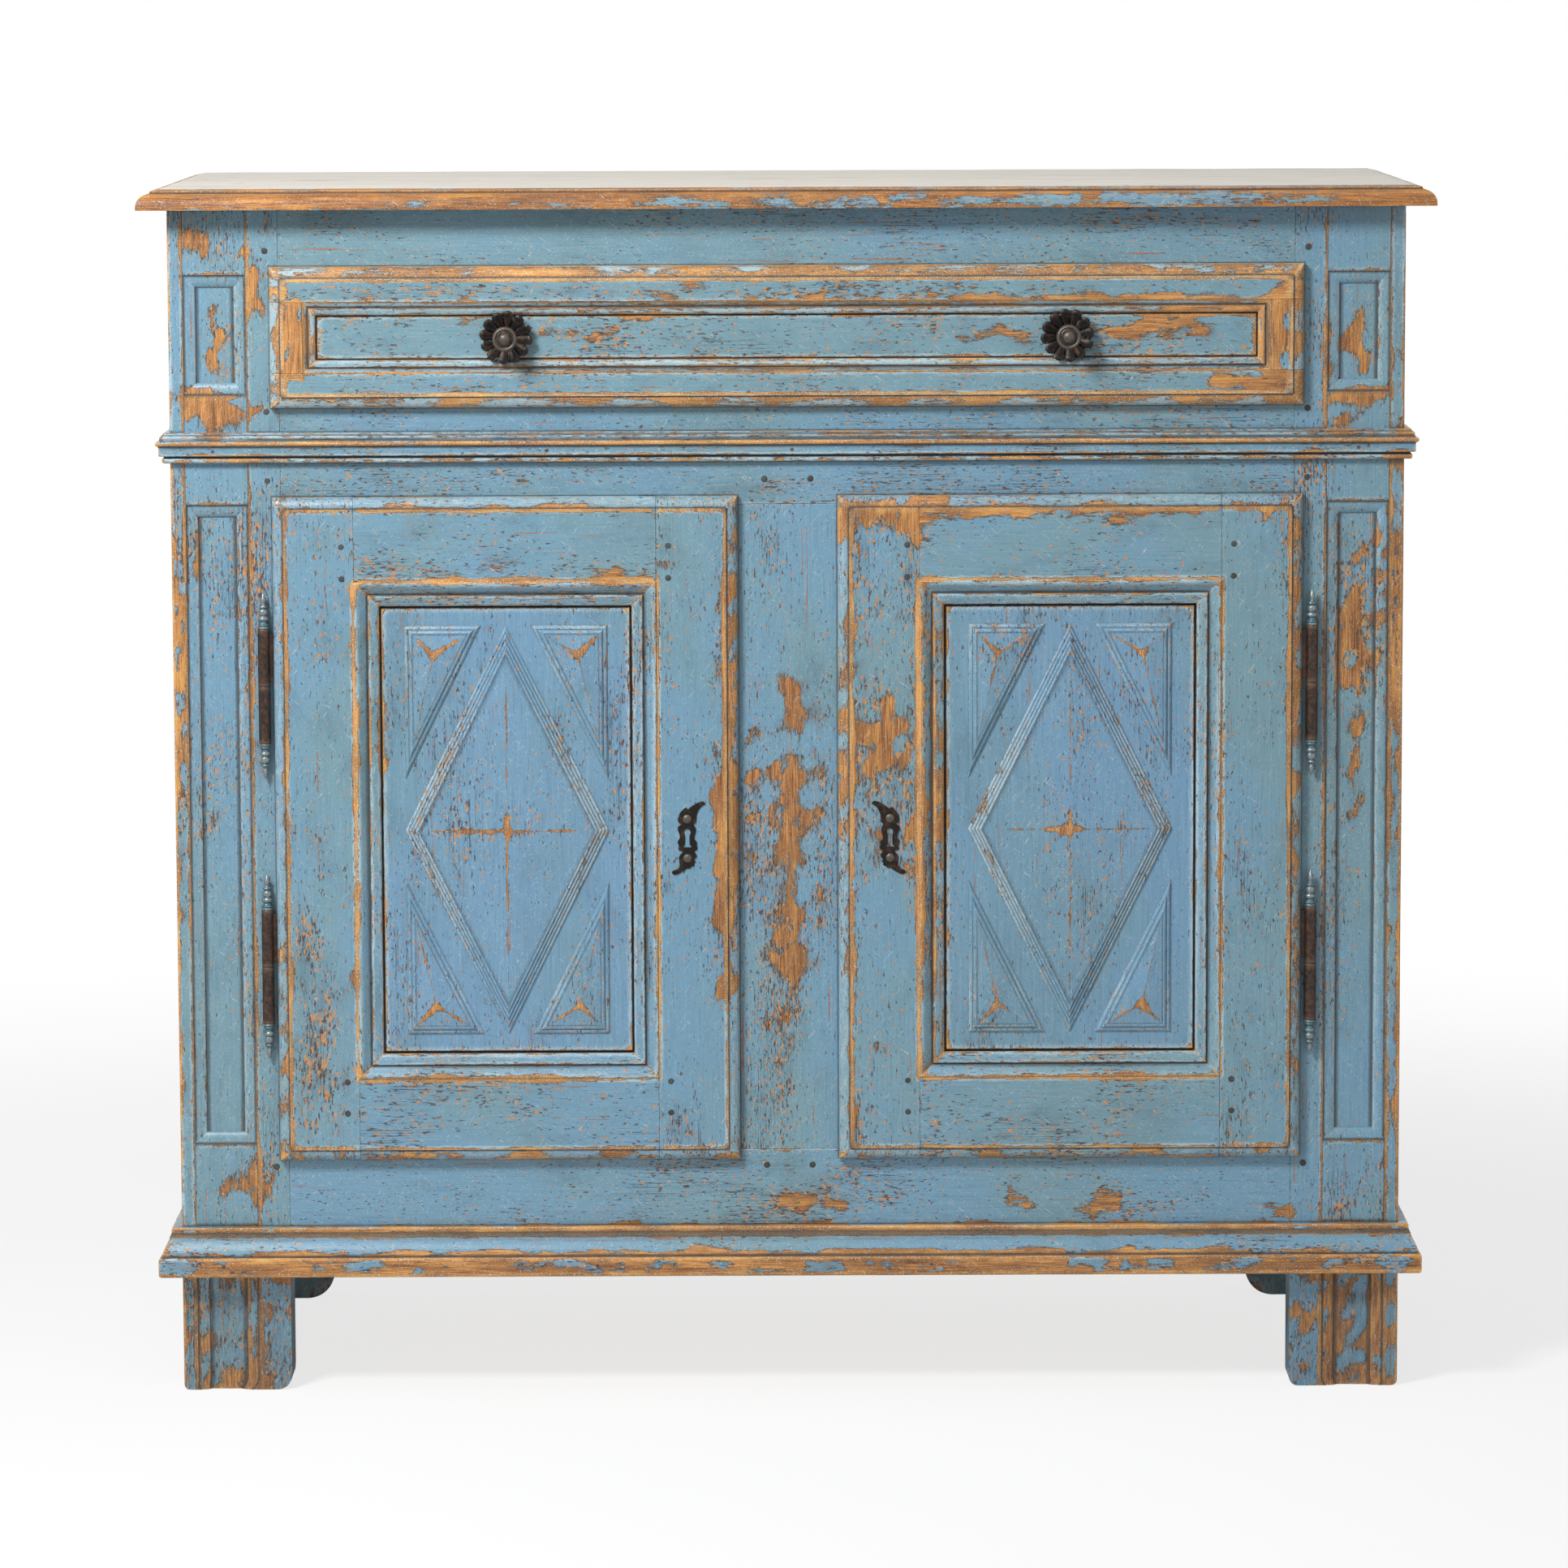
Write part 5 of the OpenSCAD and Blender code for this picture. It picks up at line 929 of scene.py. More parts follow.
# %% [markdown]
# The first tree draws a line of points, pushes each a little in or out by a seeded random value,
# and sets a copy of one board on it.
# %% A tree that repeats a piece along a line
row_tree, given = new_tree("boards side by side", Piece="Object", Count="Int", Spacing="Float",
                           Unevenness="Float", Seed="Int")
line_step = add(row_tree, "ShaderNodeCombineXYZ", {}, {0: given["Spacing"]})
line = add(row_tree, "GeometryNodeMeshLine", {}, {"Count": given["Count"], "Offset": line_step})
pushed = add(row_tree, "FunctionNodeRandomValue", {}, {
    2: 0.0, 3: given["Unevenness"], "Seed": given["Seed"]}, 1)
pushed = add(row_tree, "ShaderNodeCombineXYZ", {}, {1: pushed})
line = add(row_tree, "GeometryNodeSetPosition", {}, {"Geometry": line, "Offset": pushed})
close_on_points(row_tree, line, given)
print("row tree:", len(row_tree.nodes), "nodes")

# %% [markdown]
# The board to copy is made as any other, and taken out again once the tree has run.
# %% Back boards
BOARDS, BOARD_T, BOARD_GAP = 7, 15.6, 0.4
board_run = lap - 0.2
board_wide = 2 * board_run / BOARDS
sample = placed("one_back_board", joined("one_back_board", [board(
    spot("back"), stations(board_run - board_wide + BOARD_GAP, board_run, 12),
    stations(foot_h, case_h, 14), flat(0), -BOARD_T, 83, (1.2, 1.2, 0.8, 0.8), waves=0.4)]))
boards = grow(row_tree, {
    "Piece": sample, "Count": BOARDS, "Spacing": board_wide * MM, "Unevenness": -0.35 * MM,
    "Seed": 4, "Material": inside["z"]})
bpy.data.objects.remove(sample)
finish_piece("lapped_back", boards, inside["z"], ["back_boards"])
print("back boards:", BOARDS, "of", round(board_wide), "mm,", len(boards.polygons), "faces")

# %% [markdown]
# ## The top and the mouldings
# The top's edge is a quarter round under a small step, then a slope worn by arms and cloths. Its
# height depends only on the distance from the nearest edge, so the corners mitre by themselves.
# %% Top boards
TOP_FOOT, TOP_ROUND, TOP_STEP, TOP_SLOPE = 3, 14, 2.5, 11
ease_out = np.radians(np.linspace(0, 90, 9))
top_run = np.r_[TOP_ROUND * (1 - np.cos(ease_out)), TOP_ROUND + 0.06, TOP_ROUND + TOP_SLOPE]
top_rise = np.r_[TOP_FOOT + TOP_ROUND * np.sin(ease_out), TOP_FOOT + TOP_ROUND + TOP_STEP,
                 top_z - case_h]


def top_edge(u, v):
    """Height of the top at a distance from its nearest edge."""
    gap = np.minimum(top_half - np.abs(u), v + top_over)
    return np.interp(gap, top_run, top_rise)


edge_marks = np.r_[top_run, TOP_ROUND - 0.05, TOP_ROUND + 4, TOP_ROUND + 8]
top_us = stations(-top_half, top_half, 10, np.r_[edge_marks - top_half, top_half - edge_marks])
top_boards = []
for k, (name, low, high, node, marks, soft) in enumerate((
        ("front_top_board", -top_over, top_joint - 0.1, "top_front_board",
         edge_marks - top_over, (0.6, 0.6, 0.6, 0.5)),
        ("back_top_board", top_joint + 0.1, case_d, "top_back_board", (), (0.6, 0.6, 0.5, 1.2)))):
    top_boards.append(make(name, [board(
        spot("top"), top_us, stations(low, high, 12, marks), top_edge, 0, 91 + k, soft,
        marks=rubbed("top"), waves=0.3, wear=1.25)],
        edge_paint, [node], tone=0.05))
print("top:", round(2 * top_half), "mm wide, edge", len(edge_marks), "places deep")

# %% [markdown]
# The boards are painted along their edges only. Faces on top take the scrubbed pine, and faces on
# the short sides take the paint whose fibres run from front to back.
# %% The top's three finishes
SCRUBBED, SHORT_SIDE = 1, 2
for piece in top_boards:
    piece.data.materials.append(top_wood)
    piece.data.materials.append(edge_paint_y)
    for face in piece.data.polygons:
        from_side = top_half - abs(face.center.x / MM)
        from_front = face.center.y / MM - front + top_over
        level = face.center.z / MM > case_h + 12 and face.normal.z > 0.9
        if level and min(from_side, from_front) > TOP_ROUND + TOP_SLOPE * 0.6:
            face.material_index = SCRUBBED
        elif from_side < min(from_front, TOP_ROUND + TOP_SLOPE):
            face.material_index = SHORT_SIDE
print("scrubbed faces:", sum(face.material_index == SCRUBBED for piece in top_boards
                             for face in piece.data.polygons))

# %% [markdown]
# A thin band runs round the waist and a heavy moulding over the feet. Each section is a list of
# corners, how far up and how far out, cut at 45 degrees where front and returns meet.
# %% Waist and base mouldings
WAIST = [(0, 0), (0, 6), (1, 7.5), (3, 8), (5, 7.5), (6, 6), (7.5, 6), (7.5, 11), (17.5, 11),
         (18.3, 13.5), (20.5, 14.5), (22.7, 13.5), (23.5, 10), (28, 10), (28.6, 8), (30, 6.8),
         (31.5, 6.5), (31.5, 0)]
BASE = [(0, 0), (0, 21.5), (2, 23), (19, 23), (21, 21.5), (21, 19.5), (22.5, 19.5), (25, 19),
        (29, 17.5), (33, 15), (37, 13), (41, 12), (42.5, 12), (42.5, 10.5), (44, 10.5),
        (44, 10), (51, 10), (51, 0)]


def round_corner(section, seed, name, node, wear):
    """A moulding across the front that turns both corners at 45 degrees."""
    low = span(node)[0][2]
    corners = [(-half_w, front, low), (half_w, front, low)]
    skins = [strip(*corners, UP, FORWARDS, section, seed, cut=(-1, -1), marks=rubbed("case"),
                   wear=wear)]
    returns = [strip((x, y, low), (x, back, low), UP, (way, 0, 0), section, seed + 1,
                     cut=(-1, 0), wear=wear) for (x, y, _), way in zip(corners, (-1, 1))]
    make(name, skins, paint["x"], [node])
    make(f"{name}_returns", returns, paint["y"])


round_corner(WAIST, 101, "waist_band", "waist_moulding", 0.9)
round_corner(BASE, 105, "base_band", "base_moulding", 1.2)
print("mouldings:", len(WAIST), "and", len(BASE), "corners in their sections")

# %% [markdown]
# ## The doors
# Each door is a mortised frame whose face laps over the case, a shallow panel and a mitred
# moulding. Stiles and rails meet at a tight joint that runs out through the rounded lip, so the lip
# is cut on each piece by its distance from the door's outer edge. Each door has its own seed.
# %% A lipped member
LIP_W, LIP_EDGE, LIP_ROUND = 12, 6, 8.8
SEAT_IN = 18         # how far a member runs in under its moulding
lip_turn = np.radians(np.linspace(0, 90, 8))
lip_run = np.r_[LIP_W * (1 - np.cos(lip_turn)), LIP_W + 0.07]
lip_rise = np.r_[LIP_EDGE + LIP_ROUND * np.sin(lip_turn), door_face]
lip_marks = np.r_[lip_run, LIP_W - 0.07]
step_in = np.array([-0.05, 0.05])


def from_door_edge(u, v):
    """Distance to the nearest outer edge of a door."""
    return np.min([u - door_x0, door_x1 - u, v - door_z0, door_z1 - v], axis=0)


def lipped(put, us, vs, outer, seed, soft, wear, marks, seat=None, joint=None):
    """A lipped member: outer gives the distance to the outer edge, seat says where it steps
    down, and joint is the u where a rail meets it, along which the paint holds."""
    def face(u, v):
        high = np.interp(outer(u, v), lip_run, lip_rise)
        return high if seat is None else np.where(seat(u, v), door_seat - 0.12, high)

    def hold(u, v):
        beside_rail = (np.abs(u - joint) < 4) & ((v < frame_z0) | (v > frame_z1))
        return np.where(beside_rail, 0.2, 1.0)
    return board(put, us, vs, face, 0.35, seed, soft, marks=marks, wear=wear,
                 hold=hold if joint else None)


print("lip:", LIP_W, "mm wide,", len(lip_marks), "places")

# %% [markdown]
# The moulding inside the frame is mitred at its four corners and falls in steps to the panel.
# %% A mitred frame
MOULDING = [(0, 0), (0, 10), (1, 11), (3, 11), (5, 10.3), (8, 8), (10.5, 6), (13, 5), (13.6, 4.4),
            (14.1, 6.4), (15.5, 7.4), (18, 7), (22, 6), (24.5, 4.6), (25.7, 3), (25.7, 0.2)]


def mitred_frame(side, x0, x1, z0, z1, seat, section, seed, marks, body, tone):
    """A moulding that meets at 45 degrees inside a rectangle: two level and two upright strips."""
    def strips(ends, first):
        return [strip((side * u0, front - seat, v0), (side * u1, front - seat, v1), inwards,
                      FORWARDS, section, first + k, marks=marks, wear=0.95)
                for k, (u0, u1, v0, v1, inwards) in enumerate(ends)]
    level = strips([(x0, x1, z, z, (0, 0, way)) for z, way in ((z0, 1), (z1, -1))], seed)
    upright = strips([(x, x, z0, z1, (side * way, 0, 0)) for x, way in ((x0, 1), (x1, -1))],
                     seed + 3)
    make(f"{body}_level_mouldings", level, paint["x"], [f"{body}_mouldings"], body, tone=tone)
    make(f"{body}_upright_mouldings", upright, paint["z"], body=body, tone=tone)


def bare_backs(name, put, areas, deep, seed, wood, body, steps=(30, 30), seed_step=0):
    """Flat unpainted boards behind a front, one for each (left, right, bottom, top)."""
    make(name, [board(put, stations(a, b, steps[0]), stations(c, d, steps[1]), flat(0.3), -deep,
                      seed + seed_step * k, waves=0.1, soft=(0.3,) * 4)
                for k, (a, b, c, d) in enumerate(areas)], wood, body=body)


print("moulding section:", len(MOULDING), "corners")

# %% [markdown]
# The right door is a little greener than the left one. A board of bare wood lies behind each
# member, inside the opening.
# %% Door frames
DOOR_TONE = {"right_door": 0.1, "left_door": 0.0}
stile_vs = stations(door_z0, door_z1, 7, np.r_[door_z0 + lip_marks, door_z1 - lip_marks])
rail_us = stations(frame_x0 + 0.12, frame_x1 - 0.12, 8)
lock_us = stations(door_x0, frame_x0 + SEAT_IN, 6, np.r_[door_x0 + lip_marks,
                                                         frame_x0 + step_in])
hinge_us = stations(frame_x1 - SEAT_IN, door_x1, 6, np.r_[door_x1 - lip_marks,
                                                          frame_x1 + step_in])
low_vs = stations(door_z0, frame_z0 + SEAT_IN, 6, np.r_[door_z0 + lip_marks, frame_z0 + step_in])
high_vs = stations(frame_z1 - SEAT_IN, door_z1, 6, np.r_[door_z1 - lip_marks,
                                                         frame_z1 + step_in])
inner = SEAT_IN + 0.4
for (side, door), seed in zip(DOORS, (200, 260)):
    put, worn, tone = spot("front", side), rubbed("door"), DOOR_TONE[door]
    for k, (word, us, soft, wear, seat, joint) in enumerate((
            ("lock", lock_us, (1.3, 0.3, 1.0, 1.0), 1.25, lambda u, v: u > frame_x0, frame_x0),
            ("hinge", hinge_us, (0.3, 1.3, 1.0, 1.0), 1.15, lambda u, v: u < frame_x1,
             frame_x1))):
        make(f"{door}_{word}_side_stile", [lipped(put, us, stile_vs, from_door_edge, seed + k,
                                                  soft, wear, worn, seat, joint)],
             paint["z"], [f"{door}_{word}_stile"], door, tone=tone)
    make(f"{door}_cross_rails", [
        lipped(put, rail_us, vs, from_door_edge, seed + 2 + k, soft, 1.2, worn, seat)
        for k, (vs, soft, seat) in enumerate((
            (low_vs, (0.5, 0.5, 1.2, 0.3), lambda u, v: v > frame_z0),
            (high_vs, (0.5, 0.5, 0.3, 1.2), lambda u, v: v < frame_z1)))],
         paint["x"], [f"{door}_rails"], door, tone=tone)
    mitred_frame(side, frame_x0, frame_x1, frame_z0, frame_z1, door_seat, MOULDING, seed + 10,
                 worn, door, tone)
    bare_backs(f"{door}_inner_stiles", put, [
        (body_x0, frame_x0 + SEAT_IN, body_z0, body_z1),
        (frame_x1 - SEAT_IN, body_x1, body_z0, body_z1)], door_body - 0.1, seed + 20,
        inside["z"], door)
    bare_backs(f"{door}_inner_rails", put, [
        (frame_x0 + inner, frame_x1 - inner, body_z0, frame_z0 + SEAT_IN),
        (frame_x0 + inner, frame_x1 - inner, frame_z1 - SEAT_IN, body_z1)], door_body - 0.1,
        seed + 20, inside["x"], door)
print("doors:", round(door_x1 - door_x0), "by", round(door_z1 - door_z0), "mm")

# %% [markdown]
# ## Carved panels
# On each panel stands a long lozenge: four reeds climb to a low pyramid with four facets. A
# triangle with two reeds fills each corner. Both follow one rule: every ring is the outline drawn
# in towards the centre, lifted by a height that depends on that distance alone. Geometry Nodes
# builds them from a line of points, with the corners, the reeds and the heights as inputs.
# %% The carving tree
carve, given = new_tree("reeded pyramid", **{
    "Outline": "Object", "Corners": "Int", "Steps": "Int", "Centre": "Vector", "Reach": "Float",
    "Band": "Float", "Reeds": "Int", "Points per reed": "Int", "Low": "Float", "High": "Float",
    "Reed rise": "Float", "Rise": "Float", "Facet rings": "Int"})


def sums(tree, start, *rest, kind="ShaderNodeMath"):
    """Folds a value with one step after another: (operation, value) pairs."""
    for operation, value in rest:
        inputs = {0: start} if value is None else {0: start, 1: value}
        start = add(tree, kind, {"operation": operation}, inputs)
    return start


count_round = sums(carve, given["Corners"], ("MULTIPLY", given["Steps"]))
band_rings = sums(carve, given["Reeds"], ("MULTIPLY", given["Points per reed"]))
ring_count = sums(carve, band_rings, ("ADD", given["Facet rings"]), ("ADD", 2.0))
grid = add(carve, "GeometryNodeMeshLine", {}, {
    "Count": sums(carve, count_round, ("MULTIPLY", ring_count))})
index = add(carve, "GeometryNodeInputIndex")
ring = sums(carve, index, ("DIVIDE", count_round), ("FLOOR", None))
print("rings:", len(carve.nodes), "nodes")

# %% [markdown]
# Each point has a place on the outline: a side between two corners, and a share of the way along
# it. The shares are eased, so the points stand closer together at the corners.
# %% Where a point stands on the outline
place = sums(carve, index, ("MODULO", count_round), ("DIVIDE", given["Steps"]))
side_no = sums(carve, place, ("ADD", 1e-4), ("FLOOR", None))
share = add(carve, "ShaderNodeMapRange", EASED, {
    0: sums(carve, place, ("SUBTRACT", side_no)), 1: 0.0, 2: 1.0, 3: 0.0, 4: 1.0})
outline_of = add(carve, "GeometryNodeObjectInfo", {}, {"Object": given["Outline"]}, 4)
where = add(carve, "GeometryNodeInputPosition")
corner_at = [add(carve, "GeometryNodeSampleIndex", {"data_type": "FLOAT_VECTOR"}, {
    "Geometry": outline_of, "Value": where,
    "Index": sums(carve, side_no, ("ADD", float(k)), ("MODULO", given["Corners"]))})
    for k in (0, 1)]
edge_at = add(carve, "ShaderNodeMix", {"data_type": "VECTOR"}, {
    0: share, 4: corner_at[0], 5: corner_at[1]}, 1)
print("outline:", len(carve.nodes), "nodes")

# %% [markdown]
# A ring lies some way in from the outline: the first one goes over the panel's edge, the next ones
# along the reeds, and the last ones up the facets. A reed is one arch of a sine wave.
# %% How far in and how high a ring lies
reed_no = sums(carve, ring, ("SUBTRACT", 1.0), ("MAXIMUM", 0.0))
band_share = sums(carve, reed_no, ("DIVIDE", band_rings), ("MINIMUM", 1.0))
facet_share = sums(carve, reed_no, ("SUBTRACT", band_rings), ("MAXIMUM", 0.0),
                   ("DIVIDE", given["Facet rings"]), ("MINIMUM", 0.9995))
facet_width = sums(carve, given["Reach"], ("SUBTRACT", given["Band"]))
band_in = sums(carve, band_share, ("MULTIPLY", given["Band"]))
far_in = sums(carve, facet_share, ("MULTIPLY", facet_width), ("ADD", band_in),
              ("DIVIDE", given["Reach"]))
drawn_in = sums(carve, 1.0, ("SUBTRACT", far_in))
bead = sums(carve, band_share, ("MULTIPLY", given["Reeds"]), ("FRACT", None),
            ("MULTIPLY", math.pi), ("SINE", None), ("MULTIPLY", given["Reed rise"]))
climb = sums(carve, given["High"], ("SUBTRACT", given["Low"]),
             ("MULTIPLY", band_share), ("ADD", given["Low"]), ("ADD", bead))
facet = sums(carve, given["Rise"], ("SUBTRACT", given["High"]),
             ("MULTIPLY", facet_share), ("ADD", climb))
on_top = sums(carve, ring, ("MINIMUM", 1.0))
below = sums(carve, 1.0, ("SUBTRACT", on_top), ("MULTIPLY", 0.001))
height = sums(carve, facet, ("MULTIPLY", on_top), ("SUBTRACT", below))
print("heights:", len(carve.nodes), "nodes")

# %% [markdown]
# The point is drawn in towards the centre by its ring's share and lifted by its ring's height.
# %% Put the points in place
VECTORS = "ShaderNodeVectorMath"
from_centre = sums(carve, edge_at, ("SUBTRACT", given["Centre"]), kind=VECTORS)
flat_at = add(carve, VECTORS, {"operation": "MULTIPLY_ADD"}, {
    0: from_centre, 1: drawn_in, 2: given["Centre"]})
up_by = add(carve, "ShaderNodeCombineXYZ", {}, {2: height})
lifted = sums(carve, flat_at, ("ADD", up_by), kind=VECTORS)
stood = add(carve, "GeometryNodeSetPosition", {}, {"Geometry": grid, "Position": lifted})
close_tree(carve, stood, given)
print("carving tree:", len(carve.nodes), "nodes")


# %% [markdown]
# The tree lays its points down flat. They then stand up on the door, get the same slow unevenness
# as the boards, and take their wear: the ridges between the facets are rubbed first. The bottom of
# each groove gets a dark line, partly grime and partly painted shade.
# %% One carved shape
GROOVE_SHADE_AND_GRIME = 0.62  # fine dark lines in the bottom of each groove: grime and painted shade
PER_REED, REED_RISE = 5, 1.05
LOZENGE = {"band": 13.0, "reeds": 4, "low": 0.6, "high": 7.6, "rise": 11, "steps": 30,
           "facets": 12}
TRIANGLE = {"band": 8.5, "reeds": 2, "low": 0.6, "high": 5.7, "rise": 9.0, "steps": 22,
            "facets": 7}


def points_of(mesh):
    """The places of a mesh's points, one row for each."""
    at = np.empty(len(mesh.vertices) * 3, np.float32)
    mesh.vertices.foreach_get("co", at)
    return at.reshape(-1, 3)


def carving(side, corners, centre, reach, seed, marks, band, reeds, low, high, rise, steps,
            facets):
    """One carved shape on a door: corners (u, v) run anticlockwise as seen from the front."""
    outline = bpy.data.meshes.new("corners")
    outline.from_pydata([(u * MM, v * MM, 0) for u, v in corners], [], [])
    holder = placed("corners", outline)
    mesh = grow(carve, {
        "Outline": holder, "Corners": len(corners), "Steps": steps,
        "Centre": (centre[0] * MM, centre[1] * MM, 0.0), "Reach": reach * MM, "Band": band * MM,
        "Reeds": reeds, "Points per reed": PER_REED, "Low": low * MM, "High": high * MM,
        "Reed rise": REED_RISE * MM, "Rise": rise * MM, "Facet rings": facets,
        "Material": panel_paint})
    bpy.data.objects.remove(holder)
    count = len(corners) * steps
    at = points_of(mesh).reshape(-1, count, 3).astype(float) / MM
    bpy.data.meshes.remove(mesh)
    u, v, w = at[..., 0], at[..., 1], at[..., 2]
    lifted = np.clip(w / 3, 0, 1)
    w = w - lifted * (0.5 * ripple(u, v, seed, 40) + 0.25 * ripple(u, v, seed + 1, 15))
    share = (np.arange(count) % steps) / steps
    share = share * share * (3 - 2 * share)
    drawn = np.linalg.norm(at[:, :1, :2] - np.array(centre), axis=2)
    shrink = drawn / drawn[0]
    sides = np.linalg.norm(np.roll(np.array(corners), -1, 0) - np.array(corners), axis=1)
    along = np.minimum(share, 1 - share) * np.repeat(sides, steps)
    off_ridge = along[None, :] * shrink
    rough = ripple(u, v, seed + 3, 24)
    ridge = np.exp(-off_ridge / (1.2 + 3.2 * rough)) * np.clip((w - high + 0.5) / 1.0, 0, 1)
    peak = np.exp(-np.hypot(u - centre[0], v - centre[1]) / (9 + 8 * rough))
    rub = np.clip(0.95 * ridge * (0.35 + rough) + 0.55 * peak, 0, 1)
    put = spot("front", side)
    carved = skin(put(u, v, door_seat + w), marks, flip=put.flip, extra=rub, wear=0.55)
    row = np.arange(len(at)) - 1
    groove = (row >= 0) & (row <= reeds * PER_REED) & (row % PER_REED == 0)
    carved["dirt"] = np.maximum(0.3 * carved["dirt"], GROOVE_SHADE_AND_GRIME * np.repeat(groove, count))
    return carved


print("lozenge:", LOZENGE["reeds"], "reeds, triangle:", TRIANGLE["reeds"], "reeds")

# %% [markdown]
# A panel's field drops in a narrow dark gap next to its moulding, and runs on under it.
# %% The field of a panel


def sunk_field(put, inner_edge, under, cells, gap, seat, thick, seed, **more):
    """A field inside a moulding. The gap is given by its places from the edge and its depths."""
    x0, x1, z0, z1 = inner_edge
    steps = np.array(gap[0])

    def bed(u, v):
        inwards = np.min([u - x0, x1 - u, v - z0, z1 - v], axis=0)
        return seat - 0.05 + np.interp(inwards, *gap)
    return board(put, stations(x0 - under, x1 + under, cells[0], np.r_[x0 + steps, x1 - steps]),
                 stations(z0 - under, z1 + under, cells[1], np.r_[z0 + steps, z1 - steps]),
                 bed, -thick, seed, (0.2,) * 4, **more)


# %% [markdown]
# The lozenge reaches nearly from side to side of the field, and the triangles' long sides run
# beside its own.
# %% Carve both panels
MOULDING_W, PANEL_T, PANEL_UNDER = 26, 11.9, 7.7
PANEL_GAP = [-0.4, 0.7, 1.1, 1.9, 2.6, 3.4], [-3.4, -3.4, -3.2, -0.7, 0, 0]
LOZENGE_GAP = 49, 41
field = (frame_x0 + MOULDING_W, frame_x1 - MOULDING_W, frame_z0 + MOULDING_W,
         frame_z1 - MOULDING_W)
mid_u, mid_v = (frame_x0 + frame_x1) / 2, (frame_z0 + frame_z1) / 2
half_u = (field[1] - field[0] - LOZENGE_GAP[0]) / 2
half_v = (field[3] - field[2] - LOZENGE_GAP[1]) / 2
tri_w = 80
tri_h = tri_w * half_v / half_u
tri_reach = (tri_w + tri_h - math.hypot(tri_w, tri_h)) / 2
loz_reach = half_u * half_v / math.hypot(half_u, half_v)
diamond = [(mid_u + half_u, mid_v), (mid_u, mid_v + half_v), (mid_u - half_u, mid_v),
           (mid_u, mid_v - half_v)]
for (side, door), seed in zip(DOORS, (300, 340)):
    worn, tone = rubbed("door"), DOOR_TONE[door]
    panel = sunk_field(spot("front", side), field, PANEL_UNDER, (7, 7), PANEL_GAP, door_seat,
                       PANEL_T, seed, waves=0.3, marks=worn)
    bare_behind(make(f"{door}_field", [panel], panel_paint, [f"{door}_panel"], door,
                     tone=tone), inside["z"], BACKWARDS)
    shapes = [carving(side, diamond, (mid_u, mid_v), loz_reach, seed + 5, worn, **LOZENGE)]
    for k, (way_u, way_v) in enumerate(((1, 1), (-1, 1), (-1, -1), (1, -1))):
        u, v = mid_u + way_u * (half_u - 1), mid_v + way_v * half_v
        corners = [(u, v), (u - way_u * tri_w, v), (u, v - way_v * tri_h)]
        shapes.append(carving(side, corners[::way_u * way_v],
                              (u - way_u * tri_reach, v - way_v * tri_reach), tri_reach,
                              seed + 8 + 4 * k, worn, **TRIANGLE))
    make(f"{door}_carving", shapes, panel_paint, body=door, tone=tone)
print("lozenge", round(2 * half_u), "by", round(2 * half_v), "mm, triangles", tri_w, "by",
      round(tri_h))

# %% [markdown]
# ## The drawer
# The drawer's front is made like a door: two long rails, an end piece at each side with its fibres
# upright, a sunk field and a small mitred moulding. It is rubbed more than anything else.
# %% Drawer front
DRAWER_TONE, DRAWER_WEAR = 0.12, 2.0
drawer_put, worn = spot("front"), rubbed("drawer")
drawer_us = stations(-drawer_x, drawer_x, 9, np.r_[lip_marks - drawer_x, drawer_x - lip_marks])


def from_drawer_edge(u, v):
    """Distance to the nearest outer edge of the drawer."""
    return np.min([drawer_x - np.abs(u), v - drawer_z0, drawer_z1 - v], axis=0)


make("drawer_long_rails", [
    lipped(drawer_put, drawer_us, stations(low, high, 5, marks), from_drawer_edge, seed, soft,
           DRAWER_WEAR, worn) for low, high, marks, seed, soft in (
        (drawer_z0, field_z0 - 0.15, drawer_z0 + lip_marks, 401, (1.3, 1.3, 1.3, 0.6)),
        (field_z1 + 0.15, drawer_z1, drawer_z1 - lip_marks, 402, (1.3, 1.3, 0.6, 1.3)))],
     paint["x"], ["drawer_front_rails"], "drawer", tone=DRAWER_TONE)
end_us = stations(field_x + 0.15, drawer_x, 5, drawer_x - lip_marks)
make("drawer_end_pieces", [lipped(
    spot("front", side), end_us, stations(field_z0 + 0.02, field_z1 - 0.02, 6),
    from_drawer_edge, 405 + side, (0.6, 1.3, 0.5, 0.5), DRAWER_WEAR, worn) for side in (1, -1)],
     paint["z"], ["drawer_front_stiles"], "drawer", tone=DRAWER_TONE)
SMALL = [(0, 0), (0, 6), (1, 5), (3, 4.6), (5, 4), (5.5, 3.2), (6, 5), (8, 5.2), (10.5, 4.8),
         (12.5, 3.6), (13.4, 2), (13.4, 0.1)]
mitred_frame(1, -field_x, field_x, field_z0, field_z1, drawer_seat, SMALL, 411, worn, "drawer",
             DRAWER_TONE)
print("drawer:", round(2 * drawer_x), "by", round(drawer_z1 - drawer_z0), "mm")

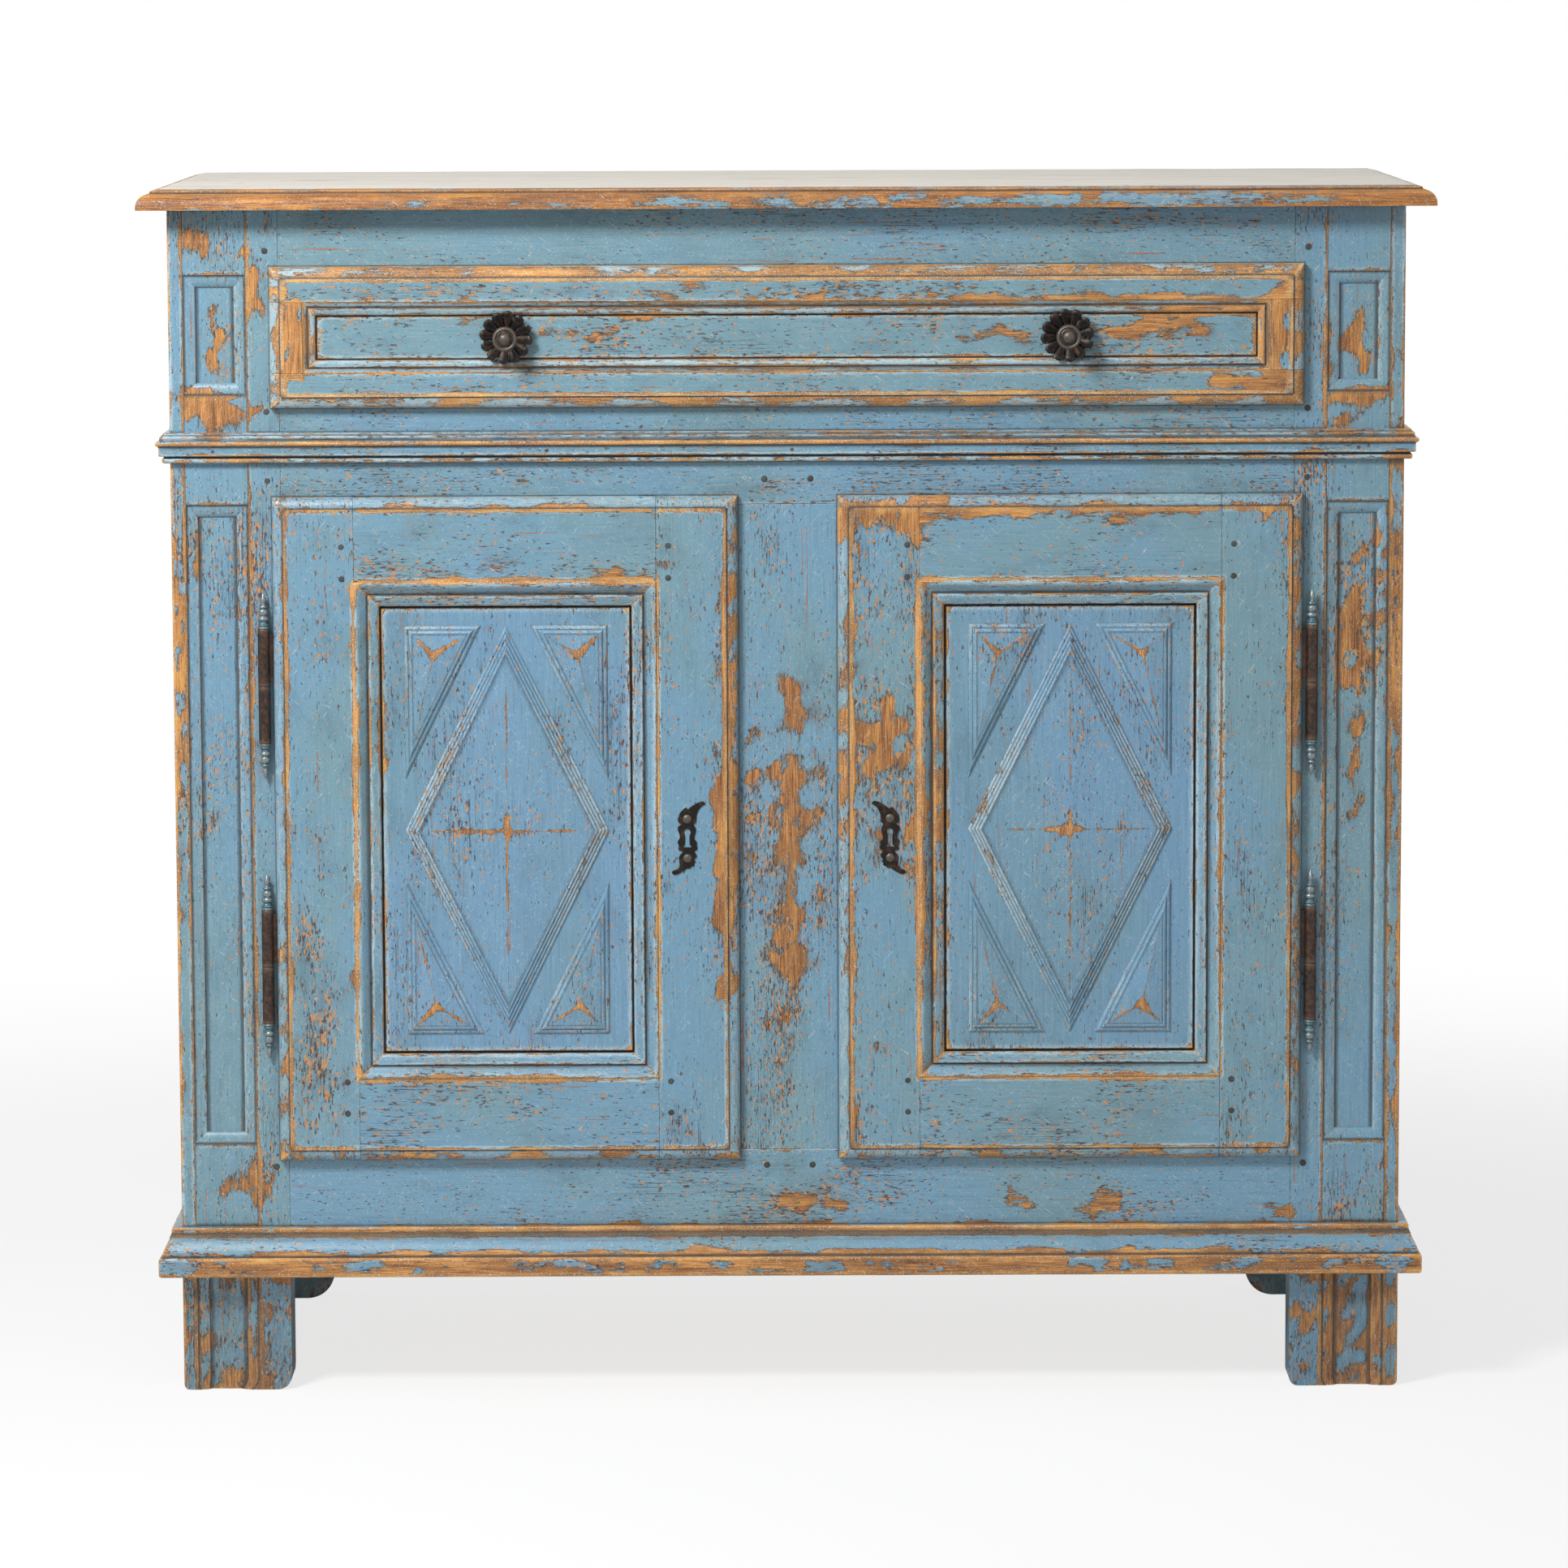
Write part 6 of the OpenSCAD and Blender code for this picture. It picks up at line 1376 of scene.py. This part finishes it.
# %% [markdown]
# The drawer's field has a smaller gap next to its moulding, and bare wood lies behind the front.
# %% The drawer's field and the wood behind it
SMALL_W, SMALL_PANEL_T, SMALL_UNDER, BEHIND = 13.5, 7, 12.9, 10
SMALL_GAP = [-0.3, 0.2, 0.8, 1.4, 2.0, 2.8], [-1.6, -1.6, -1.4, -0.4, 0, 0]
make("drawer_field", [sunk_field(
    drawer_put, (-field_x + SMALL_W, field_x - SMALL_W, field_z0 + SMALL_W, field_z1 - SMALL_W),
    SMALL_UNDER, (8, 4), SMALL_GAP, drawer_seat, SMALL_PANEL_T, 415, waves=0.35, marks=worn,
    wear=1.2)], paint["x"], ["drawer_panel"], "drawer", tone=0.16)
bare_backs("drawer_front_core", drawer_put, [
    (-field_x - BEHIND, field_x + BEHIND, field_z0 - 25.5, field_z0 - 0.4),
    (-field_x - BEHIND, field_x + BEHIND, field_z1 + 0.4, field_z1 + 25.5),
    (-field_x - BEHIND, -field_x - 0.4, field_z0 - 0.2, field_z1 + 0.2),
    (field_x + 0.4, field_x + BEHIND, field_z0 - 0.2, field_z1 + 0.2)],
    PANEL_T, 417, inside["x"], "drawer", steps=(40, 12), seed_step=1)
print("drawer's field:", round(2 * (field_x - SMALL_W)), "mm wide")

# %% [markdown]
# ## Turned and forged iron
# Knobs, hinge barrels and nail heads are turned shapes: one profile swept round an axis. The
# profile is followed by rings of points, and a slight wobble keeps each of them hand-made.
# %% A turned shape
def turned(profile, at, axis, count, seed, wobble):
    """Sweeps (height, radius) in mm round an axis that starts at a point in mm."""
    axis = np.asarray(axis, float)
    first = np.cross(axis, UP if abs(axis[2]) < 0.9 else BACKWARDS)
    first /= np.linalg.norm(first)
    second = np.cross(axis, first)
    points = softened(profile, 0.3)
    angle = np.linspace(0, 2 * np.pi, count, endpoint=False)[None, :]
    high, radius = points[:, :1], points[:, 1:]
    uneven = 1 + wobble * (ripple(high + 0 * angle, radius * angle, seed, 14) - 0.5) * 2
    around = np.cos(angle)[..., None] * first + np.sin(angle)[..., None] * second
    place = np.asarray(at, float) + high[..., None] * axis + (radius * uneven)[..., None] * around
    return skin(place * MM)


print("a section of 30 mm:", len(softened([(0, 5), (30, 5)])), "rings")

# %% [markdown]
# ### Knobs and rosettes
# Each drawer knob is a turned iron disc with a raised rim on a waisted stem. Behind it sits a
# rosette: twelve rounded petals hammered from one plate, which flare forwards like a shallow dish.
# Geometry Nodes sets one petal on each point of a circle and turns it to face outwards.
# %% A tree that sets a piece round a circle
ring_tree, given = new_tree("petals round a circle", Piece="Object", Count="Int", Turn="Float",
                            Unevenness="Float", Seed="Int")
circle = add(ring_tree, "GeometryNodeMeshCircle", {}, {"Vertices": given["Count"],
                                                       "Radius": MM})
index = add(ring_tree, "GeometryNodeInputIndex")
angle = sums(ring_tree, index, ("DIVIDE", given["Count"]), ("MULTIPLY", 2 * math.pi),
             ("ADD", given["Turn"]))
smallest = sums(ring_tree, 1.0, ("SUBTRACT", given["Unevenness"]))
uneven = add(ring_tree, "FunctionNodeRandomValue", {}, {
    2: smallest, 3: 1.0, "Seed": given["Seed"]}, 1)
spin = add(ring_tree, "ShaderNodeCombineXYZ", {}, {2: angle})
at_middle = add(ring_tree, "GeometryNodeSetPosition", {}, {"Geometry": circle,
                                                           "Position": (0.0, 0.0, 0.0)})
close_on_points(ring_tree, at_middle, given, Rotation=spin, Scale=uneven)
print("circle tree:", len(ring_tree.nodes), "nodes")

# %% [markdown]
# A petal starts narrow at the stem, widens as far as its neighbours let it, and ends in a round
# tip. It rises outwards and is thin at its end. Dark grime stays in the gaps between petals and on
# their backs.
# %% One petal
knob_lo, knob_hi = span("drawer_knobs")
rose_lo, rose_hi = span("drawer_rosettes")
knob_z = (rose_lo[2] + rose_hi[2]) / 2
rose_r = (rose_hi[2] - rose_lo[2]) / 2
knob_x = rose_hi[0] - rose_r
knob_l = front - drawer_seat - knob_lo[1]
cap_r = knob_hi[0] - knob_x

PETALS, PETAL_START, PETAL_WIDE, PETAL_THICK = 12, 8.0, 6.2, 2.5
half_slice = math.tan(math.pi / PETALS)
along = np.linspace(0, 1, 18)[:, None]
around = np.linspace(0, 2 * np.pi, 16, endpoint=False)[None, :]
out_at = PETAL_START + (rose_r - PETAL_START - 0.15) * along
end = np.clip((out_at - (rose_r - PETAL_WIDE)) / (PETAL_WIDE - 0.1), 0, 1)
wide = np.minimum(out_at * half_slice * 1.04, PETAL_WIDE) * np.sqrt(1 - end ** 2)
thick = PETAL_THICK * np.sqrt(np.clip(1 - end ** 3, 0.01, 1))
centre_up = np.interp(out_at, [8, 11, 23, 28], [2.2, 3.2, 9.4, 10.4])
up = centre_up + thick * np.sign(np.sin(around)) * np.abs(np.sin(around)) ** 0.9
petal_skin = skin(np.stack([out_at + 0 * around, -np.maximum(wide, 0.15) * np.cos(around), up],
                           -1) * MM, wear=0.7)
in_gap = np.clip((np.abs(np.cos(around)) - 0.55) * 2.6, 0, 1) * (0.6 + 0.4 * along)
petal_skin["dirt"] = np.maximum(in_gap, np.where(np.sin(around) < 0, 1.0, 0.0)).ravel()
print("petal:", round(2 * float(wide.max()), 1), "mm wide")

# %% [markdown]
# Each rosette is grown flat on the floor and then stood up on the drawer. A shallow dish closes the
# gaps between its petals, and the knob stands in its middle.
# %% Rosettes and knobs


def stood_up(mesh, at):
    """Turns a mesh that lies flat so that it faces the front, at a point in mm."""
    x, y, z = points_of(mesh).T
    place = np.stack([x + at[0] * MM, at[1] * MM - z, y + at[2] * MM], -1)
    mesh.vertices.foreach_set("co", place.astype(np.float32).ravel())
    return mesh


petal = placed("one_petal", joined("one_petal", [petal_skin]))
seats = []
for side, word in SIDES:
    seats.append((side * knob_x, front - drawer_seat, knob_z))
    flower = grow(ring_tree, {
        "Piece": petal, "Count": PETALS, "Turn": 0.13 * side, "Unevenness": 0.035,
        "Seed": 7 + side, "Material": petal_iron})
    finish_piece(f"{word}_rosette", stood_up(flower, seats[-1]), petal_iron, ["drawer_rosettes"],
                 "drawer", sharp=60)
bpy.data.objects.remove(petal)
KNOB = [(2.2, 0.05), (2.2, 9), (4.2, 9.4), (5.2, 8.6), (7, 7.6), (10, 5.6), (13, 4.8),
        (knob_l - 21, 4.6), (knob_l - 18, 5.4), (knob_l - 15.5, 8.2), (knob_l - 13.2, cap_r - 1.2),
        (knob_l - 11, cap_r - 0.1), (knob_l - 7.5, cap_r - 0.1), (knob_l - 5.4, cap_r - 0.9),
        (knob_l - 4.4, cap_r - 2.2), (knob_l - 4.7, cap_r - 3.2), (knob_l - 5.6, cap_r - 4.0),
        (knob_l - 5.2, cap_r - 4.8), (knob_l - 3.4, cap_r - 6.4), (knob_l - 1.6, cap_r / 2.6),
        (knob_l - 0.4, cap_r / 5), (knob_l - 0.15, 0.05)]
DISH = [(0.3, 0.05), (0.3, 8), (2.0, 11.5), (6.2, 21), (7.2, 22), (7.6, 21), (3.4, 11.5),
        (1.8, 8), (1.8, 0.05)]
for name, profile, seed, wobble, node in (
        ("drawer_knob_turnings", KNOB, 7, 0.008, "drawer_knobs"),
        ("rosette_dishes", DISH, 17, 0.01, "drawer_rosettes")):
    make(name, [turned(profile, at, FORWARDS, 48, seed + k, wobble)
                for k, at in enumerate(seats)], black_iron, [node], "drawer")
print("knob", round(cap_r * 2), "mm across,", round(knob_l), "mm long; rosette",
      round(rose_r * 2), "mm with", PETALS, "petals")

# %% [markdown]
# ### Barrel hinges
# Four hinges with a barrel in two halves: the lower half is screwed to the post and carries the
# pin, the upper half lifts off with the door. Each end has a turned tip, painted with the case, and
# a thin leaf joins each barrel to its wood.
# %% Barrels, leaves and tips
TIP = [(0, 5.5), (0.4, 6.0), (1.3, 6.0), (2.2, 5.5), (2.6, 4.8), (3.0, 5.5), (3.9, 5.9),
       (4.8, 5.4), (5.3, 4.4), (6.5, 3.9), (7.8, 4.0), (8.4, 4.9), (9.5, 5.6), (10.8, 5.8),
       (12.2, 5.2), (13.0, 3.9), (13.6, 3.9), (14.6, 4.6), (16, 4.95), (17.5, 5.0), (19, 4.7),
       (20.4, 3.8), (21, 3.0), (21.6, 3.8), (22.6, 4.5), (23.6, 4.1), (24.4, 2.9), (25.2, 2.4),
       (26.6, 2.3), (27.4, 2.6), (29, 2.95), (31, 2.8), (33.5, 2.0), (36, 0.95), (37.7, 0.06)]
BARREL_R, BARREL_HALF, TIP_L, AXIS_W, LEAF_HALF = 6.35, 60.5, 38, 7.0, 1.15
LEAF_LOW, LEAF_HIGH = BARREL_HALF - 55, BARREL_HALF - 5
hinge_lo, hinge_hi = span("right_door_hinges")
pin_lo, pin_hi = span("hinge_pins")
axis_x = pin_hi[0] - BARREL_R
mids = (pin_lo[2] + TIP_L + BARREL_HALF, hinge_hi[2] - TIP_L - BARREL_HALF)
BARREL = [(0.1, 0.05), (0.1, 5.7), (0.5, 6.25), (BARREL_HALF * 0.5, 6.3),
          (BARREL_HALF - 0.6, 6.25), (BARREL_HALF, 5.6), (BARREL_HALF + 0.3, 0.05)]


def half_hinge(x, mid, way, seed):
    """The barrel and the tip on one side of a hinge's middle: way is 1 upwards, -1 downwards."""
    at = np.array([x, front - AXIS_W, mid])
    axis = np.array([0, 0, way])
    return (turned(BARREL, at, axis, 28, seed, 0.01),
            turned(TIP, at + axis * BARREL_HALF, axis, 26, seed + 4, 0.02))


def leaf(put, low_u, high_u, low_v, high_v, middle, seed, soft):
    """A thin flat leaf whose middle lies at a height."""
    return board(put, stations(low_u, high_u, 12), stations(low_v, high_v, 12),
                 flat(middle + LEAF_HALF), middle - LEAF_HALF, seed, soft, waves=0.05)


post_barrels, post_tips = [], []
for side, door in DOORS:
    door_barrels, door_tips = [], []
    for k, mid in enumerate(mids):
        for barrels, tips, way, seed in ((door_barrels, door_tips, 1, 31 + k),
                                         (post_barrels, post_tips, -1, 41 + k)):
            barrel, tip = half_hinge(side * axis_x, mid, way, seed)
            barrels.append(barrel)
            tips.append(tip)
        door_barrels.append(leaf(spot("front", side), hinge_lo[0], axis_x - 4.5, mid + LEAF_LOW,
                                 mid + LEAF_HIGH, AXIS_W, 51, (0.3, 0.1, 0.3, 0.3)))
        post_barrels.append(leaf(spot("flank", side), 4 - AXIS_W, 32, mid - LEAF_HIGH,
                                 mid - LEAF_LOW, axis_x - half_w, 53, (0.1, 0.3, 0.3, 0.3)))
    make(f"{door}_hinge_barrels", door_barrels, hinge_iron, [f"{door}_hinges"], door)
    make(f"{door}_hinge_tips", door_tips, tip_iron, body=door)
make("post_hinge_barrels", post_barrels, hinge_iron, ["hinge_pins"])
make("post_hinge_tips", post_tips, tip_iron)
print("hinges at", [round(mid) for mid in mids], "mm from the floor")

# %% [markdown]
# ### Key plates
# An S-shaped plate of thin iron with leafy ends is filed from sheet, pierced by the keyhole and
# held by two round-headed nails. Its outline is drawn as a list of corners round the keyhole,
# and its corners are rounded.
# %% Outlines of a plate and its keyhole
PLATE_HALF = np.array([19.9, 41.5])
PLATE = [(19.9, 38.3), (17.5, 41.5), (11.4, 39.9), (4.9, 35.8), (0.8, 32.2), (-0.8, 34.2),
         (-3.3, 33.4), (-4.9, 31.3), (-7.3, 29.3), (-9, 24.4), (-10.2, 21.2), (-9, 17.5),
         (-5.7, 15.9), (-9.8, 13), (-10.2, 9.8), (-8.1, 4.9), (-7.7, 0), (-10.2, -3.3),
         (-10.2, -5.7), (-9, -7.3), (-9.4, -13.4), (-5.7, -14.2), (-4.5, -15.5), (-9, -20.4),
         (-8.5, -26), (-8.1, -31.7), (-10.6, -35), (-16.3, -37), (-16.7, -38.7), (-14.7, -41.1),
         (-9.8, -39.9), (-3.3, -35.8), (0, -33.4), (2.4, -34.2), (4.1, -31.7), (7.3, -30.9),
         (6.9, -27.7), (9, -26.5), (6.5, -24.4), (10.6, -20.4), (8.1, -16.3), (7.3, -14.2),
         (11, -12.6), (9.8, -6.5), (10.6, -4.9), (7.7, -1.6), (7.3, 1.6), (9, 6.5), (9.4, 9.8),
         (8.1, 13), (6.5, 15.5), (9.4, 17.9), (9.8, 21.2), (10.2, 26.9), (13, 33.4), (16.3, 36.6)]
key_lo, key_hi = span("right_key_plate")
key_x, key_z = (key_lo[0] + key_hi[0]) / 2, (key_lo[2] + key_hi[2]) / 2
plate_fit = (key_hi - key_lo)[[0, 2]] / 2 / PLATE_HALF
hole_arc = np.linspace(-0.18 * np.pi, 1.18 * np.pi, 15)
KEYHOLE = [(3.5 * math.cos(a), 6 + 3.5 * math.sin(a)) for a in hole_arc] + [
    (-2.4, 1), (-2.6, -6), (-4.8, -9.2), (4.8, -9.2), (2.6, -6), (2.4, 1)]


def rounded(points, share=0.28):
    """A closed outline with each corner cut into three points."""
    points = np.asarray(points, float)
    row = []
    for before, here, after in zip(np.roll(points, 1, 0), points, np.roll(points, -1, 0)):
        row += [here + (before - here) * share, here * 0.86 + (before + after) * 0.07,
                here + (after - here) * share]
    return row


print("plate:", len(PLATE), "corners, keyhole:", len(KEYHOLE), "points")

# %% [markdown]
# The outline and the hole are two loops of one flat curve with a small bevel. The left door's
# plate is the right one's mirror image.
# %% Plates and their nails
PLATE_EDGE, PLATE_LIFT, HEAD_LIFT = 0.27, 0.52, 0.9


def plate_mesh(side):
    """A flat plate with its keyhole, whose arrises are marked as worn."""
    curve = bpy.data.curves.new("plate", "CURVE")
    curve.dimensions, curve.fill_mode = "2D", "BOTH"
    curve.extrude, curve.bevel_depth, curve.bevel_resolution = PLATE_EDGE * MM, PLATE_EDGE * MM, 2
    for points, scale in ((rounded(PLATE), 0.985 * plate_fit), (KEYHOLE, (1.06, 1.06))):
        spline = curve.splines.new("POLY")
        spline.points.add(len(points) - 1)
        for knot, (x, y) in zip(spline.points, points):
            knot.co = (-side * x * scale[0] * MM, y * scale[1] * MM, 0, 1)
        spline.use_cyclic_u = True
    holder = placed("plate", curve)
    mesh = plain_mesh(holder)
    bpy.data.objects.remove(holder)
    bpy.data.curves.remove(curve)
    write(mesh, "edge", 1.2 * (np.abs(points_of(mesh)[:, 2]) < 0.5 * MM))
    return mesh


HEAD = [(-9, 0.05), (-9, 2.0), (-0.4, 2.1), (-0.1, 4.6), (0.5, 4.9), (1.2, 4.8), (2.0, 4.1),
        (2.6, 3.0), (3.0, 1.5), (3.1, 0.05)]
for side, door in DOORS:
    word = door.split("_")[0]
    plate = stood_up(plate_mesh(side), (side * key_x, front - door_face - PLATE_LIFT, key_z))
    finish_piece(f"{word}_keyhole_plate", plate, black_iron, [f"{word}_key_plate"], door)
    make(f"{word}_plate_nail_heads", [
        turned(HEAD, (side * key_x, front - door_face - HEAD_LIFT, key_z + up), FORWARDS, 26,
               61 + k, 0.05) for k, up in enumerate((20.5, -21))],
         black_iron, [f"{word}_plate_nails"], door)
print("key plates at", round(key_x), "mm from the middle,", round(key_z), "mm high")

# %% [markdown]
# ## Pegs and nails
# The joints are held by riven oak pegs that stand out by less than half a millimetre, and the
# mouldings and the top by cut nails. Geometry Nodes sets one peg or nail on each point, faces it
# along the point's own direction and gives it a turn and a size of its own from a seed.
# %% A tree that sets a piece on points
pinned, given = new_tree("pieces on points", Piece="Object", Smallest="Float", Seed="Int")
facing = add(pinned, "GeometryNodeInputNamedAttribute", {"data_type": "FLOAT_VECTOR"},
             {"Name": "facing"})
aimed = add(pinned, "FunctionNodeAlignRotationToVector", {"axis": "Z"}, {"Vector": facing})
turn_by = add(pinned, "FunctionNodeRandomValue", {}, {
    2: 0.0, 3: 6.283, "Seed": given["Seed"]}, 1)
turn_by = add(pinned, "ShaderNodeCombineXYZ", {}, {2: turn_by})
turn_by = add(pinned, "FunctionNodeEulerToRotation", {}, {0: turn_by})
aimed = add(pinned, "FunctionNodeRotateRotation", {"rotation_space": "LOCAL"},
            {0: aimed, 1: turn_by})
width = add(pinned, "FunctionNodeRandomValue", {}, {
    2: given["Smallest"], 3: 1.0, "Seed": given["Seed"]}, 1)
scale = add(pinned, "ShaderNodeCombineXYZ", {}, {0: width, 1: width, 2: 1.0})
close_on_points(pinned, given[0], given, Rotation=aimed, Scale=scale)


def spread(name, pattern, spots, smallest, seed, material, body, node):
    """Grows one piece that has a copy of the pattern on each spot: (place in mm, direction)."""
    mesh = grow(pinned, {
        "Piece": pattern, "Smallest": smallest, "Seed": seed, "Material": material},
        np.array([at for at, way in spots]) * MM, [way for at, way in spots])
    finish_piece(name, mesh, material, [node], body)


print("point tree:", len(pinned.nodes), "nodes")

# %% [markdown]
# A peg is nearly round with a slight dome. A nail's head is a small disc sunk level with the wood.
# %% Pegs and nails
PEG = [(-32, 0.05), (-32, 2.9), (-28, 3.4), (-0.5, 3.7), (0.05, 3.55), (0.3, 3.0), (0.38, 1.4),
       (0.4, 0.05)]
NAIL = [(-12, 0.05), (-12, 1.2), (-1.2, 1.4), (-0.9, 2.3), (-0.4, 2.5), (-0.15, 2.2),
        (-0.05, 0.05)]
peg = placed("one_peg", joined("one_peg", [turned(PEG, (0, 0, 0), UP, 11, 3, 0.09)]))
nail = placed("one_nail", joined("one_nail", [turned(NAIL, (0, 0, 0), UP, 9, 5, 0.1)]))
in_case = []
for side in (1, -1):
    for z in (bottom_rail_top - 17.2, 965, 1037, 1204):
        in_case += [((side * (post_in + 13.5), front, z), FORWARDS),
                    ((side * half_w, front + 41.5, z), (side, 0, 0)),
                    ((side * half_w, front + 493.5, z), (side, 0, 0)),
                    ((side * 541, back - 0.45, z), BACKWARDS)]
in_case += [((x, front, z), FORWARDS) for z in (239.8, 965) for x in (-24, 24)]
spread("case_peg_ends", peg, in_case, 0.88, 12, peg_wood, "carcase", "carcase_pegs")
for side, door in DOORS:
    in_door = [((side * x, front - door_face + 0.15, z), FORWARDS) for x in (124.5, 464.5)
               for z in (863.5, 897, 332.5, 299)]
    spread(f"{door}_peg_ends", peg, in_door, 0.88, 20 + side, peg_wood, door, f"{door}_pegs")
nailed = [((x, front - 11.0, 996.5), FORWARDS) for x in (-597, -250, 5, 279, 594)]
nailed += [((x, front - 23.0, 137), FORWARDS) for x in (-597, -203, 149, 586)]
nailed += [((x, front + y, top_z), UP) for x in (-607.5, 0, 607.5) for y in (15, 492)]
spread("nail_heads", nail, nailed, 0.8, 5, black_iron, "carcase", "nails")
for pattern in (peg, nail):
    bpy.data.objects.remove(pattern)
print("pegs:", len(in_case) + 2 * len(in_door), "nails:", len(nailed))

# %% [markdown]
# ## Inside
# The rails of the back, the floor, the shelf and the drawer's box don't show in the photograph.
# Their solid shapes stay, with softened arrises and the colour of wood that was never painted.
# %% Finish the hidden pieces
HIDDEN = (
    (inside["x"], ("back_rails", "floor_boards", "shelf", "drawer_back", "drawer_bottom")),
    (inside["y"], ("shelf_bearers", "drawer_runners", "drawer_guides", "drawer_kickers",
                   "drawer_sides")),
    (black_iron, ("drawer_nuts", "lock_case")),
    (lock_steel, ("lock_bolt",)),
)
for material, names in HIDDEN:
    for name in names:
        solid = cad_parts[name]
        weld = solid.modifiers.new("weld", "WELD")
        weld.merge_threshold = 1e-5
        bevel = solid.modifiers.new("arris", "BEVEL")
        bevel.width, bevel.segments, bevel.limit_method = 0.9 * MM, 2, "ANGLE"
        bevel.use_clamp_overlap = True
        solid.data.materials.clear()
        solid.data.materials.append(material)
print("hidden pieces:", sum(len(names) for material, names in HIDDEN))

# %% [markdown]
# ## Studio
# The photograph shows the cupboard on a pale floor against white, lit softly from the upper left
# with a weak fill. The camera stands seven metres away at eye height and looks a little down.
# %% The floor
FADE_FROM, FADE_TO, GLOW, FLOOR_HALF = 1.1, 3.0, 0.76, 3.2


def pale_floor():
    """Plain studio paper: a matt, nearly white sheet that fades into the white behind it."""
    material = bpy.data.materials.new("studio_paper")
    material.use_nodes = True
    tree = material.node_tree
    tree.nodes.clear()
    where = add(tree, "ShaderNodeTexCoord", out=3)
    far = add(tree, "ShaderNodeVectorMath", {"operation": "LENGTH"}, {0: where}, 1)
    fade = add(tree, "ShaderNodeMapRange", EASED, {
        0: far, 1: FADE_FROM, 2: FADE_TO, 3: 0.0, 4: 1.0})
    paper = add(tree, "ShaderNodeBsdfPrincipled", {}, {
        "Base Color": colour("f4f4f4"), "Roughness": 0.9, "Specular IOR Level": 0.1})
    glow = add(tree, "ShaderNodeEmission", {}, {"Color": (1, 1, 1, 1), "Strength": 1.0})
    seen = add(tree, "ShaderNodeMath", {"operation": "MULTIPLY"}, {
        0: add(tree, "ShaderNodeLightPath"), 1: GLOW})
    paper = add(tree, "ShaderNodeMixShader", {}, {0: seen, 1: paper, 2: glow})
    clear = add(tree, "ShaderNodeBsdfTransparent")
    faded = add(tree, "ShaderNodeMixShader", {}, {0: fade, 1: paper, 2: clear})
    add(tree, "ShaderNodeOutputMaterial", {}, {"Surface": faded})
    return material


floor_mesh = bpy.data.meshes.new("floor")
floor_mesh.from_pydata([(x * FLOOR_HALF, y * FLOOR_HALF, 0)
                        for x, y in ((-1, -1), (1, -1), (1, 1), (-1, 1))], [], [(0, 1, 2, 3)])
floor_mesh.materials.append(pale_floor())
floor = placed("floor", floor_mesh)
print("floor:", 2 * FLOOR_HALF, "m wide")

# %% [markdown]
# The world is white to the camera and in reflections, and a dim, even light to the cupboard. Three
# square lamps do the rest: one from the upper left, a large weak one from the right, and one above.
# %% World and lamps
AMBIENT = 0.20
world = bpy.data.worlds.new("white studio")
bpy.context.scene.world = world
world.use_nodes = True
world.node_tree.nodes.clear()
ray = add(world.node_tree, "ShaderNodeLightPath")
seen_white = ray
for name in ("Is Glossy Ray", "Is Transmission Ray"):
    seen_white = add(world.node_tree, "ShaderNodeMath", {"operation": "MAXIMUM"}, {
        0: seen_white, 1: ray.node.outputs[name]})
amount = add(world.node_tree, "ShaderNodeMapRange", {}, {0: seen_white, 1: 0.0, 2: 1.0,
                                                         3: AMBIENT, 4: 1.0})
glow = add(world.node_tree, "ShaderNodeBackground", {}, {"Color": (1, 1, 1, 1),
                                                        "Strength": amount})
add(world.node_tree, "ShaderNodeOutputWorld", {}, {"Surface": glow})

for name, at, aim, size, power in (
        ("key", (-1.6, -2.3, 2.9), (0, 0, 0.6), 0.8, 123),
        ("fill", (3.2, -4.0, 1.6), (0, 0, 0.6), 2.4, 14),
        ("top", (0.4, -0.8, 3.6), (0, 0, 1.2), 1.8, 8)):
    lamp = bpy.data.lights.new(name, "AREA")
    lamp.shape, lamp.size, lamp.energy = "SQUARE", size, power
    holder = placed(name, lamp)
    holder.location = at
    x, y, z = np.subtract(aim, at)
    holder.rotation_euler = (math.acos(-z / math.hypot(x, y, z)), 0,
                             math.atan2(y, x) - math.pi / 2)
print("lamps:", len(bpy.data.lights))

# %% [markdown]
# The camera's place, tilt and roll are those of the photograph, found from the case's straight
# lines and its size.
# %% The camera
CAMERA_AT, TILT_DOWN, ROLL = (-0.0046, -7.0455, 1.4983), 7.14, -0.222
lens = bpy.data.cameras.new("view")
lens.lens, lens.sensor_width, lens.clip_end = 150.5, 36, 50
camera = placed("view", lens)
camera.matrix_world = Matrix.Translation(CAMERA_AT) @ Matrix.Rotation(
    math.radians(90 - TILT_DOWN), 4, "X") @ Matrix.Rotation(math.radians(ROLL), 4, "Z")
bpy.context.scene.camera = camera
bpy.context.scene.view_settings.view_transform = "Standard"
print("lens:", lens.lens, "mm")
